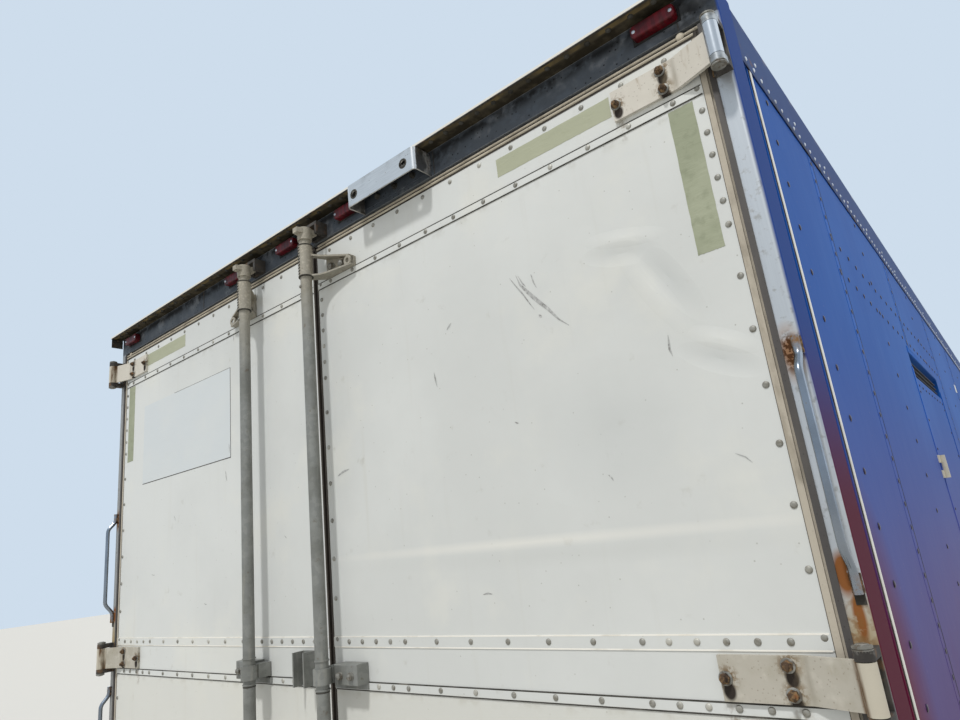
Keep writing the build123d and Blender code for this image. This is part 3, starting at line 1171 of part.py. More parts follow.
# Radius rods from the hangers back to the axles, an eye at each end
eye_half = inner_half - ROD_EYE_GAP
with BuildPart() as radius_rods:
    for hand in (-1, 1):
        for hanger_y, axle_y in ((MIDDLE_HANGER_Y, REAR_AXLE_Y), (FRONT_HANGER_Y, FRONT_AXLE_Y)):
            front_eye = (hand * SPRING_X, hanger_y, ROD_EYE_Z)
            rear_eye = (hand * SPRING_X, axle_y + ROD_EYE_FROM_AXLE, AXLE_Z + ROD_EYE_OVER_AXLE)
            bar(front_eye, rear_eye, RADIUS_ROD_RADIUS)
            for x, y, z in (front_eye, rear_eye):
                bar((x - eye_half, y, z), (x + eye_half, y, z), ROD_EYE_RADIUS)
save(radius_rods.part, "radius_rods")

# Axles: tube, spindles, spring seats with their clamps, rod brackets, camshafts and dust shields
spindle_end = DUAL_X + SPINDLE_REACH
bolt_x = SPRING_WIDTH / 2 + CLAMP_GAP + CLAMP_BOLT_RADIUS
bolt_y = AXLE_TUBE_RADIUS - CLAMP_BOLT_RADIUS
clamp_low = SPRING_HIGH + CLAMP_HALF_LENGTH**2 / (2 * SPRING_BOW_RADIUS) + CLAMP_FIT
clamp_half = bolt_x + CLAMP_BOLT_RADIUS
chamber_z = AXLE_Z + CHAMBER_OVER_AXLE
camshaft_z = AXLE_Z + CAMSHAFT_OVER_AXLE
lever_half, lever_depth, lever_reach = BRAKE_LEVER
plate_half, plate_metal, plate_foot, plate_top = CHAMBER_PLATE
with BuildPart() as axles:
    for axle_y in AXLE_YS:
        tube_end = DRUM_OPEN_END + AXLE_TUBE_INTO_DRUM
        bar((-tube_end, axle_y, AXLE_Z), (tube_end, axle_y, AXLE_Z), AXLE_TUBE_RADIUS)
        bar((-spindle_end, axle_y, AXLE_Z), (spindle_end, axle_y, AXLE_Z), SPINDLE_RADIUS)
        cam_y, plate_y = axle_y - CAMSHAFT_BEHIND_AXLE, axle_y - CHAMBER_BEHIND_AXLE
        for hand in (-1, 1):
            shield, spring, chamber = hand * (DRUM_OPEN_END - SHIELD_GAP), hand * SPRING_X, hand * CHAMBER_X
            bar((shield, axle_y, AXLE_Z), (shield - hand * SHIELD_METAL, axle_y, AXLE_Z),
                DRUM_RADIUS - SHIELD_METAL)
            for seat_low, seat_high in ((AXLE_Z, SPRING_LOW), (clamp_low, clamp_low + CLAMP_PLATE)):
                block((spring - clamp_half, spring + clamp_half),
                      (axle_y - CLAMP_HALF_LENGTH, axle_y + CLAMP_HALF_LENGTH), (seat_low, seat_high))
            ear_reach = ROD_EYE_FROM_AXLE + ROD_EAR[0]
            for side_x in (-bolt_x, bolt_x):
                for side_y in (-bolt_y, bolt_y):
                    bar((spring + side_x, axle_y + side_y, SPRING_LOW - CLAMP_BOLT_FOOT),
                        (spring + side_x, axle_y + side_y, clamp_low + CLAMP_PLATE + CLAMP_BOLT_OVER_PLATE),
                        CLAMP_BOLT_RADIUS)
                section(
                    lengthwise(spring + (inner_half if side_x > 0 else -inner_half - HANGER_METAL), axle_y),
                    ((0, AXLE_Z - AXLE_TUBE_RADIUS + ROD_EAR[3]),
                     (ear_reach, AXLE_Z + ROD_EYE_OVER_AXLE - ROD_EAR[1]),
                     (ear_reach, AXLE_Z + ROD_EYE_OVER_AXLE + ROD_EAR[2]), (0, AXLE_Z + AXLE_TUBE_RADIUS)),
                    HANGER_METAL,
                )
            camshaft_end = chamber - hand * CAMSHAFT_PAST_CHAMBER
            bar((shield, cam_y, camshaft_z), (camshaft_end, cam_y, camshaft_z), CAMSHAFT_RADIUS)
            block((chamber - lever_half, chamber + lever_half), (cam_y - lever_depth, cam_y + lever_depth),
                  (camshaft_z, chamber_z + lever_reach))
            for rib_x in CHAMBER_RIBS:
                block((chamber + rib_x, chamber + rib_x + CHAMBER_RIB_METAL), (plate_y, axle_y),
                      (AXLE_Z + plate_foot, AXLE_Z + CHAMBER_RIB_TOP))
            block((chamber - plate_half, chamber + plate_half), (plate_y, plate_y + plate_metal),
                  (AXLE_Z + plate_foot, chamber_z + plate_top))
            bar((chamber, plate_y - PAST, chamber_z), (chamber, plate_y + plate_metal + PAST, chamber_z),
                PUSH_ROD_RADIUS + PUSH_ROD_HOLE_GAP, Mode.SUBTRACT)
save(axles.part, "axles")

# Brake chambers, banded cans behind each axle end, with their push rods
with BuildPart() as brake_chambers:
    for axle_y in AXLE_YS:
        for hand in (-1, 1):
            x, face_y = hand * CHAMBER_X, axle_y - CHAMBER_BEHIND_AXLE
            band_y = face_y - CHAMBER_LENGTH / 2
            bar((x, face_y - CHAMBER_LENGTH, chamber_z), (x, face_y, chamber_z), CHAMBER_RADIUS)
            bar((x, band_y, chamber_z), (x, band_y + CHAMBER_BAND[0], chamber_z),
                CHAMBER_RADIUS + CHAMBER_BAND[1])
            rod_end_y = axle_y - CAMSHAFT_BEHIND_AXLE - lever_depth - PUSH_ROD_GAP
            bar((x, face_y, chamber_z), (x, rod_end_y, chamber_z), PUSH_ROD_RADIUS)
    dome_edges = brake_chambers.edges().filter_by(GeomType.CIRCLE).filter_by(
        lambda edge: abs(edge.radius - CHAMBER_RADIUS) < 0.01)
    chamber_ends = [axle_y - CHAMBER_BEHIND_AXLE - CHAMBER_LENGTH for axle_y in AXLE_YS]
    fillet([edge for edge in dome_edges if any(abs(edge.center().Y - y) < 0.01 for y in chamber_ends)],
           CHAMBER_CORNER)
save(brake_chambers.part, "brake_chambers")

# Air tanks across the trailer ahead of the axles, domed, hung from the crossmembers by bands
tank_z = CROSSMEMBER_BOTTOM - TANK_GAP_ABOVE - TANK_RADIUS
first_tank_y = SUBFRAME_FRONT - TANKS_BEHIND_SUBFRAME_FRONT
with BuildPart() as air_tanks:
    for tank_y in (first_tank_y, first_tank_y - TANK_PITCH):
        with BuildSketch(facing_back(0, tank_y, tank_z)) as tank_half:
            with BuildLine():
                straight = TANK_HALF_LENGTH - TANK_DOME
                dome_x, dome_r = straight + TANK_DOME_POINT[0] * TANK_DOME, TANK_DOME_POINT[1] * TANK_RADIUS
                Polyline((-straight, TANK_RADIUS), (straight, TANK_RADIUS))
                ThreePointArc((straight, TANK_RADIUS), (dome_x, dome_r), (TANK_HALF_LENGTH, TANK_PORT))
                Polyline((TANK_HALF_LENGTH, TANK_PORT), (TANK_HALF_LENGTH, 0), (-TANK_HALF_LENGTH, 0),
                         (-TANK_HALF_LENGTH, TANK_PORT))
                ThreePointArc((-TANK_HALF_LENGTH, TANK_PORT), (-dome_x, dome_r), (-straight, TANK_RADIUS))
            make_face()
        revolve(tank_half.sketch, axis=Axis((0, tank_y, tank_z), (1, 0, 0)))
        for band_x in (-TANK_HALF_LENGTH / 2, TANK_HALF_LENGTH / 2):
            band = (band_x - TANK_BAND[0] / 2, band_x + TANK_BAND[0] / 2)
            bar((band[0], tank_y, tank_z), (band[1], tank_y, tank_z), TANK_RADIUS + TANK_BAND[1])
            block(band, (tank_y - TANK_RADIUS / 2, tank_y + TANK_RADIUS / 2), (tank_z, CROSSMEMBER_BOTTOM))
save(air_tanks.part, "air_tanks")


def wheel_plane(hand, wheel_y, outward=0.0):
    """Plane through a wheel end's axis: its x points outward from the twin centre, its y up."""
    return Plane(origin=(hand * (DUAL_X + outward), wheel_y, AXLE_Z), x_dir=(hand, 0, 0), z_dir=(0, -hand, 0))


def ring_places(wheel_y, circle, count):
    """The (y, z) places of holes or studs evenly spaced round a wheel."""
    turns = [radians(360 / count * number) for number in range(count)]
    return [(wheel_y + circle * sin(turn), AXLE_Z + circle * cos(turn)) for turn in turns]


# Wheels, one body at each end of each axle; columns: name, hand, place along the trailer
wheel_ends = (
    ("rear_left", -1, REAR_AXLE_Y), ("rear_right", 1, REAR_AXLE_Y),
    ("front_left", -1, FRONT_AXLE_Y), ("front_right", 1, FRONT_AXLE_Y),
)
half_tyre, half_rim, disc = TYRE_WIDTH / 2, RIM_WIDTH / 2, DUAL_SPACING / 2
tyre_bead, tyre_seat = half_rim - TYRE_SEAT_GAP, BEAD_RADIUS + TYRE_SEAT_GAP
sidewall_middle = (TYRE_RADIUS + BEAD_RADIUS) / 2
shoulder = (half_tyre - SHOULDER_WIDTH / 2, TYRE_RADIUS - SHOULDER_DROP)
inner_shoulder = (half_tyre - SHOULDER_WIDTH - SHOULDER_INNER_INSET, TYRE_RADIUS - TREAD_METAL)
lip_point = (tyre_bead, RIM_LIP_RADIUS + BEAD_OVER_LIP)
rim_inner, rim_edge = BEAD_RADIUS - RIM_METAL, half_rim + RIM_LIP_WIDTH
rim_low, lip_low = half_rim + RIM_SEAT_END, RIM_LIP_RADIUS - RIM_METAL
well_low, seat_end = RIM_WELL_RADIUS - RIM_METAL, half_rim - RIM_SEAT_WIDTH
# One half of the rim's outline: the underside out to the lip, then the seat back in to the well
rim_outside = ((half_rim, RIM_LIP_RADIUS - RIM_LIP_SLOPE), (half_rim, BEAD_RADIUS),
               (seat_end, BEAD_RADIUS - RIM_SEAT_DROP), (RIM_WELL_HALF, RIM_WELL_RADIUS))
rim_inside = ((RIM_WELL_HALF, well_low), (rim_low, rim_inner), (rim_edge, lip_low), (rim_edge, RIM_LIP_RADIUS))
rim_half = (*rim_inside, *rim_outside)
for name, hand, wheel_y in wheel_ends:
    turn_axis = Axis((0, wheel_y, AXLE_Z), (1, 0, 0))
    with BuildPart() as tyres:
        for side_step in (-1, 1):
            with BuildSketch(wheel_plane(hand, wheel_y, side_step * disc)) as tyre_section:
                with BuildLine():
                    Polyline((0, TYRE_RADIUS), (half_tyre - SHOULDER_WIDTH, TYRE_RADIUS - TREAD_CROWN),
                             shoulder)
                    ThreePointArc(shoulder, (half_tyre, sidewall_middle), lip_point)
                    Polyline(lip_point, (tyre_bead, tyre_seat), (tyre_bead - BEAD_WIDTH, tyre_seat),
                             (tyre_bead - BEAD_WIDTH + BEAD_SLOPE, tyre_seat + BEAD_HEIGHT),
                             (half_tyre - SIDEWALL_METAL, sidewall_middle + SIDEWALL_INNER_RISE),
                             inner_shoulder, (0, TYRE_RADIUS - TREAD_METAL))
                    mirror(about=Plane.YZ)
                make_face()
            revolve(tyre_section.sketch, axis=turn_axis)
    save(tyres.part, f"{name}_tyres")
    with BuildPart() as rims:
        for side_step in (-1, 1):
            plane = wheel_plane(hand, wheel_y, side_step * disc)
            turned(plane, (*rim_half, *((-x, radius) for x, radius in reversed(rim_half))), turn_axis)
            inward = -side_step
            disc_half = [(disc - DISC_METAL, HUB_RADIUS + DISC_BORE_GAP), (disc, HUB_RADIUS + DISC_BORE_GAP)]
            disc_half += [(disc - back, DISC_FLAT_RADIUS + over) for back, over in DISC_OUTSIDE]
            disc_half += [(from_middle, RIM_WELL_RADIUS + over) for from_middle, over in DISC_ROOT]
            disc_half += [(disc - back, DISC_FLAT_RADIUS + over) for back, over in DISC_INSIDE]
            turned(plane, [(inward * x, radius) for x, radius in disc_half], turn_axis)
        for y, z in ring_places(wheel_y, STUD_CIRCLE, STUD_COUNT):
            bar((hand * (DUAL_X - DISC_METAL - PAST), y, z), (hand * (DUAL_X + DISC_METAL + PAST), y, z),
                STUD_RADIUS + STUD_GAP, Mode.SUBTRACT)
        for y, z in ring_places(wheel_y, HAND_HOLE_CIRCLE, HAND_HOLE_COUNT):
            bar((hand * (DUAL_X - HAND_HOLE_REACH), y, z), (hand * (DUAL_X + HAND_HOLE_REACH), y, z),
                HAND_HOLE_RADIUS, Mode.SUBTRACT)
    save(rims.part, f"{name}_rims")
    with BuildPart() as hub_drum:
        drum, face, bore = DRUM_OPEN_END - DUAL_X, -DISC_METAL, SPINDLE_RADIUS + SPINDLE_CLEARANCE
        cap, flange = HUB_LENGTH + OIL_CAP_LENGTH, HUB_LENGTH + OIL_CAP_FLANGE_METAL
        well = SPINDLE_REACH + SPINDLE_END_GAP
        cap_chamfer, cap_side, cap_end = OIL_CAP_TAPER
        rim_step = HUB_LENGTH - HUB_RIM_STEP[0]
        turned(
            wheel_plane(hand, wheel_y),
            ((drum, DRUM_RADIUS), *((-back, radius) for back, radius in DRUM_SHOULDER),
             (face, DISC_FLAT_RADIUS - HUB_FLANGE_INSET), (face, HUB_RADIUS),
             (rim_step, HUB_RADIUS - HUB_RIM_STEP[1]), (rim_step, HUB_RADIUS), (HUB_LENGTH, HUB_RADIUS),
             (HUB_LENGTH, OIL_CAP_FLANGE), (flange, OIL_CAP_FLANGE), (flange, OIL_CAP_RADIUS),
             (cap - cap_chamfer, cap_side), (cap, cap_end), (cap, 0), (well, 0), (well, bore),
             (-HUB_CORE[0][0], bore), *((-back, radius) for back, radius in HUB_CORE),
             (-DRUM_SHOULDER[0][0], DRUM_RADIUS - DRUM_WALL), (drum, DRUM_RADIUS - DRUM_WALL)),
            turn_axis,
        )
        for y, z in ring_places(wheel_y, STUD_CIRCLE, STUD_COUNT):
            bar((hand * (DUAL_X + face), y, z), (hand * (DUAL_X + STUD_REACH), y, z), STUD_RADIUS)
    save(hub_drum.part, f"{name}_hub")

# Mud flaps behind the rear tyres
with BuildPart() as mud_flaps:
    block((flap_outer - FLAP_WIDTH, flap_outer), (flap_y, flap_y + FLAP_METAL),
          (FLAP_GROUND_GAP, SUBFRAME_BOTTOM + FLAP_BAR - FLAP_UNDER_BAR_TOP))
    mirror(about=Plane.YZ)
save(mud_flaps.part, "mud_flaps")

# Landing legs: a square tube in a square tube, a top plate, and a foot that tilts on its pivot
foot_half, cheek_x = FOOT_SIZE / 2, LEG_INNER_TUBE / 2 + FOOT_CHEEK_GAP
bend_inset, turn_up_top = FOOT_FLAT - FOOT_BEND_INSET, FOOT_TURN_UP + FOOT_METAL
nose_half, nose_top = FOOT_PIVOT_RADIUS + FOOT_CHEEK_NOSE[0], FOOT_PIVOT_HEIGHT + FOOT_CHEEK_NOSE[1]
gearbox_top = CROSSMEMBER_BOTTOM - GEARBOX_DROP
with BuildPart() as landing_legs:
    for hand in (-1, 1):
        leg_x = hand * LEG_X
        for size, corner, low, high in (
            (LEG_TUBE, LEG_TUBE_CORNER, LEG_TUBE_BOTTOM, CROSSMEMBER_BOTTOM),
            (LEG_INNER_TUBE, LEG_INNER_CORNER, FOOT_PIVOT_HEIGHT - LEG_INNER_UNDER_PIVOT,
             LEG_TUBE_BOTTOM + LEG_OVERLAP),
        ):
            with BuildSketch(Plane.XY.offset(low)) as tube:
                with Locations((leg_x, LEG_Y)):
                    RectangleRounded(size, size, corner)
            extrude(tube.sketch, amount=high - low)
        plate = LEG_TOP_PLATE[0] / 2
        block((leg_x - plate, leg_x + plate), (LEG_Y - plate, LEG_Y + plate),
              (CROSSMEMBER_BOTTOM - LEG_TOP_PLATE[1], CROSSMEMBER_BOTTOM))
        section(
            lengthwise(leg_x - foot_half, LEG_Y),
            ((-FOOT_FLAT, 0), (FOOT_FLAT, 0), (foot_half, FOOT_TURN_UP), (foot_half, turn_up_top),
             (bend_inset, FOOT_METAL), (-bend_inset, FOOT_METAL), (-foot_half, turn_up_top),
             (-foot_half, FOOT_TURN_UP)),
            FOOT_SIZE,
        )
        for cheek in (cheek_x, -cheek_x - FOOT_CHEEK):
            section(
                lengthwise(leg_x + cheek, LEG_Y),
                ((FOOT_CHEEK_INSET - FOOT_FLAT, FOOT_METAL), (FOOT_FLAT - FOOT_CHEEK_INSET, FOOT_METAL),
                 (nose_half, nose_top), (-nose_half, nose_top)),
                FOOT_CHEEK,
            )
        pivot = cheek_x + FOOT_CHEEK + FOOT_PIVOT_END
        bar((leg_x - pivot, LEG_Y, FOOT_PIVOT_HEIGHT), (leg_x + pivot, LEG_Y, FOOT_PIVOT_HEIGHT),
            FOOT_PIVOT_RADIUS)
    box_x = -LEG_X - LEG_TUBE / 2
    block((box_x - GEARBOX[0], box_x), (LEG_Y - GEARBOX[1] / 2, LEG_Y + GEARBOX[1] / 2),
          (gearbox_top - GEARBOX[2], gearbox_top))
save(landing_legs.part, "landing_legs")

# Leg bracing, the cross shaft between the legs and the crank, each piece standing clear of the others
brace_x, shaft_z = LEG_X - LEG_TUBE / 2, gearbox_top - GEARBOX[2] / 2
brace_foot, brace_low = LEG_Y - LEG_TUBE / 2, LEG_TUBE_BOTTOM + LEG_BRACE_RISE
with BuildPart() as leg_braces:
    bar((-brace_x, LEG_Y + LEG_TUBE / 4, shaft_z), (brace_x, LEG_Y + LEG_TUBE / 4, shaft_z), CROSS_SHAFT_RADIUS)
    for hand in (-1, 1):
        section(
            lengthwise(hand * LEG_X - LEG_BRACE_WIDTH / 2),
            ((brace_foot, brace_low + LEG_BRACE_FLAT), (brace_foot, brace_low),
             (brace_foot - LEG_BRACE_BACK, CROSSMEMBER_BOTTOM),
             (brace_foot - LEG_BRACE_BACK + LEG_BRACE_FLAT, CROSSMEMBER_BOTTOM)),
            LEG_BRACE_WIDTH,
        )
        foot_end = (hand * (brace_x - CROSS_BRACE_RADIUS), LEG_Y - LEG_TUBE / 4, brace_low)
        top_end = (hand * CROSS_BRACE_END_X, LEG_Y - LEG_TUBE / 4, CROSSMEMBER_BOTTOM - CROSS_BRACE_RADIUS)
        bar(foot_end, top_end, CROSS_BRACE_RADIUS)
        for pad_x, pad_z in ((hand * brace_x, brace_low), (hand * CROSS_BRACE_END_X, CROSSMEMBER_BOTTOM)):
            into_x = -hand * 2 * CROSS_BRACE_RADIUS if pad_z == brace_low else hand * 2 * CROSS_BRACE_RADIUS
            block((pad_x, pad_x + into_x), (LEG_Y - LEG_TUBE / 2, LEG_Y),
                  (pad_z - 2 * CROSS_BRACE_RADIUS, pad_z if pad_z > brace_low else pad_z + 2 * CROSS_BRACE_RADIUS))
    crank_x = -SIDE + CRANK_FROM_SIDE
    with BuildLine() as crank_path:
        FilletPolyline(
            (box_x - GEARBOX[0], LEG_Y, shaft_z), (crank_x, LEG_Y, shaft_z),
            (crank_x, LEG_Y, shaft_z - CRANK_THROW), (crank_x, LEG_Y - CRANK_GRIP, shaft_z - CRANK_THROW),
            radius=CRANK_BEND,
        )
    with BuildSketch(Plane(origin=crank_path.line @ 0, z_dir=crank_path.line % 0)) as crank_end:
        Circle(CRANK_RADIUS)
    sweep(crank_end.sketch, path=crank_path.line)
save(leg_braces.part, "leg_braces")

# Coupling plate with a turned-up lead-in, its channels and the hole round the kingpin
plate_top = COUPLER_HEIGHT + COUPLER_PLATE
lead_start = deck_front - COUPLER_LEAD_IN
channel_half = COUPLER_CHANNEL_WIDTH / 2
with BuildPart() as upper_coupler:
    section(
        lengthwise(-COUPLER_WIDTH / 2),
        ((coupler_rear, COUPLER_HEIGHT), (lead_start, COUPLER_HEIGHT),
         (deck_front, COUPLER_HEIGHT + COUPLER_LEAD_RISE), (deck_front, plate_top + COUPLER_LEAD_RISE),
         (lead_start, plate_top), (coupler_rear, plate_top)),
        COUPLER_WIDTH,
    )
    channel_step = (lead_start - coupler_rear - COUPLER_CHANNEL_WIDTH) / (COUPLER_CHANNELS - 1)
    for channel in range(COUPLER_CHANNELS):
        stiffener_y = coupler_rear + channel_half + channel * channel_step
        block((-beam_half, beam_half), (stiffener_y - channel_half, stiffener_y + channel_half),
              (plate_top, DECK_UNDERSIDE))
    bar((0, KINGPIN_Y, COUPLER_HEIGHT - PAST), (0, KINGPIN_Y, plate_top), KINGPIN_SHANK + KINGPIN_HOLE_GAP,
        Mode.SUBTRACT)
    bar((0, KINGPIN_Y, plate_top), (0, KINGPIN_Y, DECK_UNDERSIDE), KINGPIN_FLANGE + KINGPIN_FLANGE_GAP,
        Mode.SUBTRACT)
save(upper_coupler.part, "upper_coupler")

# Kingpin: a flange above the plate, the neck and the lower collar
neck_top, neck_bottom, collar_bottom = (COUPLER_HEIGHT - drop for drop in KINGPIN_DROPS)
collar_top, pin_end = neck_bottom - KINGPIN_TAPER, collar_bottom - KINGPIN_END_CHAMFER
with BuildPart() as kingpin:
    turned(
        facing_back(0, KINGPIN_Y, 0),
        ((0, plate_top + KINGPIN_FLANGE_METAL), (KINGPIN_FLANGE, plate_top + KINGPIN_FLANGE_METAL),
         (KINGPIN_FLANGE, plate_top), (KINGPIN_SHANK, plate_top), (KINGPIN_SHANK, neck_top + KINGPIN_TAPER),
         (KINGPIN_NECK, neck_top), (KINGPIN_NECK, neck_bottom), (KINGPIN_COLLAR, collar_top),
         (KINGPIN_COLLAR, collar_bottom), (KINGPIN_COLLAR - KINGPIN_END_CHAMFER, pin_end), (0, pin_end)),
        Axis((0, KINGPIN_Y, 0), (0, 0, 1)),
    )
save(kingpin.part, "kingpin")

# Air line and light connectors on the front wall
connector_z = FLOOR_HEIGHT + CONNECTOR_OVER_FLOOR
with BuildPart() as front_connectors:
    box_plane = Plane(origin=(CONNECTOR_X, FRONT, connector_z), x_dir=(-1, 0, 0), z_dir=(0, 1, 0))
    with BuildSketch(box_plane) as box_outline:
        RectangleRounded(CONNECTOR_BOX[0], CONNECTOR_BOX[1], CONNECTOR_BOX_CORNER)
    extrude(box_outline.sketch, amount=CONNECTOR_BOX[2])
    for step in (-CONNECTOR_PITCH, 0, CONNECTOR_PITCH):
        plug_x, plug_y = CONNECTOR_X + step, FRONT + CONNECTOR_BOX[2]
        plug_end = plug_y + CONNECTOR_REACH
        bar((plug_x, plug_y, connector_z), (plug_x, plug_end, connector_z), CONNECTOR_RADIUS)
        bar((plug_x, (plug_y + plug_end) / 2, connector_z), (plug_x, plug_end + PAST, connector_z),
            CONNECTOR_RADIUS / 2, Mode.SUBTRACT)
save(front_connectors.part, "front_connectors")

# Side marker lamps on the bottom rails, at the middle and near the front
with BuildPart() as side_lamps:
    for lamp_y in (0.0, deck_front - SIDE_LAMP_FROM_FRONT):
        with BuildSketch(lengthwise(SIDE)) as lamp_outline:
            with Locations((lamp_y, FLOOR_HEIGHT - SIDE_LAMP_DROP)):
                RectangleRounded(SIDE_LAMP[0], SIDE_LAMP[2], LAMP_CORNER)
        extrude(lamp_outline.sketch, amount=SIDE_LAMP[1])
    mirror(about=Plane.YZ)
save(side_lamps.part, "side_lamps")
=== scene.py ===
import json
import logging
import math
import random
from collections.abc import Iterable, Sequence
from dataclasses import dataclass, field
from enum import Enum
from typing import Any

import bpy
from mathutils import Matrix, Vector


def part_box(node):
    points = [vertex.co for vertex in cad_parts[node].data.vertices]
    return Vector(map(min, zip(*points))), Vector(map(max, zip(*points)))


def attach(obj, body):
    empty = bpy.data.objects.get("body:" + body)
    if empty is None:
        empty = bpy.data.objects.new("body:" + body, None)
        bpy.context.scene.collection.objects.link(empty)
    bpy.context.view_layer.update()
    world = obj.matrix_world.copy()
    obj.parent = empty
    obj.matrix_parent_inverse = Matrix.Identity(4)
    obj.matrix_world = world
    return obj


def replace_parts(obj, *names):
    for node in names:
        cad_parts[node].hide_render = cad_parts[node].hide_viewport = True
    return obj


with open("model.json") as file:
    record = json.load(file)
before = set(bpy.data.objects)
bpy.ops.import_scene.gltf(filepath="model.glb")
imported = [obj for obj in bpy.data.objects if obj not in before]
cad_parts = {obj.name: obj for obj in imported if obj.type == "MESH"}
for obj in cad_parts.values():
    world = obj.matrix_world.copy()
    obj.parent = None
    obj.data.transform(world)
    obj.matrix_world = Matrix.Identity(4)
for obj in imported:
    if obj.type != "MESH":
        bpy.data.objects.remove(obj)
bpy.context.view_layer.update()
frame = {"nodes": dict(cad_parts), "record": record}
LOG = logging.getLogger("semi_trailer")

Triple = tuple[float, float, float]
Pair = tuple[float, float]
Tree = bpy.types.NodeTree
Socket = bpy.types.NodeSocket

FAR = 9000.0


def linear(hex_colour: str) -> tuple[float, float, float, float]:
    """Turn an sRGB colour, a hash sign and six hex digits, to linear light with an alpha of 1."""
    parts = [int(hex_colour[place : place + 2], 16) / 255 for place in (1, 3, 5)]
    return (*[part / 12.92 if part <= 0.04045 else ((part + 0.055) / 1.055) ** 2.4 for part in parts], 1.0)


def add_node(tree: Tree, kind: str, settings: dict | None = None, links: dict | None = None) -> bpy.types.Node:
    """Add one shader node with its settings and its incoming links.

    Args:
        tree: The node tree that gets the node.
        kind: The node's type name after ShaderNode.
        settings: Values by property name, or by input name or number.
        links: Source sockets by input name or number.

    Returns:
        The new node.
    """
    node = tree.nodes.new("ShaderNode" + kind)
    for key, value in (settings or {}).items():
        if isinstance(key, str) and hasattr(node, key):
            setattr(node, key, value)
        else:
            node.inputs[key].default_value = value
    for key, source in (links or {}).items():
        tree.links.new(source, node.inputs[key])
    return node


class Pattern(Enum):
    """How a layer is spread over a surface: its texture node, settings and output; EVEN has none."""

    EVEN = None
    CLOUD = ("TexNoise", {"Detail": 5.0, "Roughness": 0.55}, 0)
    SPECK = ("TexVoronoi", {"Randomness": 1.0}, 0)
    CELL = ("TexVoronoi", {}, 1)
    WEAVE = ("TexWave", {"bands_direction": "DIAGONAL", "Distortion": 0.0}, 1)


@dataclass(frozen=True)
class Zone:
    """A box that a layer is kept to, with soft edges, in millimetres; a side at FAR isn't cut."""

    x: Pair = (-FAR, FAR)
    y: Pair = (-FAR, FAR)
    z: Pair = (-FAR, FAR)
    soft: float = 20.0

    def mask(self, tree: Tree, place: Socket) -> Socket:
        """Build the nodes that are 1 inside the box and 0 outside it.

        Args:
            tree: The material's node tree.
            place: The socket that gives the point in the trailer's frame.

        Returns:
            The mask's socket.
        """
        axes = add_node(tree, "SeparateXYZ", links={0: place})
        result = None
        for number, limits in enumerate((self.x, self.y, self.z)):
            for limit, sign in zip(limits, (1, -1)):
                if abs(limit) >= FAR:
                    continue
                edge = limit / 1000
                reach = sign * self.soft / 1000
                step = add_node(
                    tree, "MapRange",
                    {"interpolation_type": "SMOOTHSTEP", "From Min": edge - reach, "From Max": edge + reach},
                    {"Value": axes.outputs[number]},
                ).outputs[0]
                result = step if result is None else add_node(
                    tree, "Math", {"operation": "MULTIPLY"}, {0: result, 1: step}
                ).outputs[0]
        return result


@dataclass(frozen=True)
class Spot:
    """A soft round or long patch that a layer is kept to, in millimetres."""

    at: Triple
    reach: Triple
    turn: float = 0.0

    def mask(self, tree: Tree, place: Socket) -> Socket:
        """Build the nodes that fall from 1 at the patch's middle to 0 at its edge.

        Args:
            tree: The material's node tree.
            place: The socket that gives the point in the trailer's frame.

        Returns:
            The mask's socket.
        """
        local = add_node(
            tree, "Mapping",
            {"vector_type": "TEXTURE", "Location": [v / 1000 for v in self.at],
             "Rotation": (0, math.radians(self.turn), 0), "Scale": [v / 1000 for v in self.reach]},
            {"Vector": place},
        )
        return add_node(
            tree, "TexGradient", {"gradient_type": "SPHERICAL"}, {"Vector": local.outputs[0]}
        ).outputs[1]


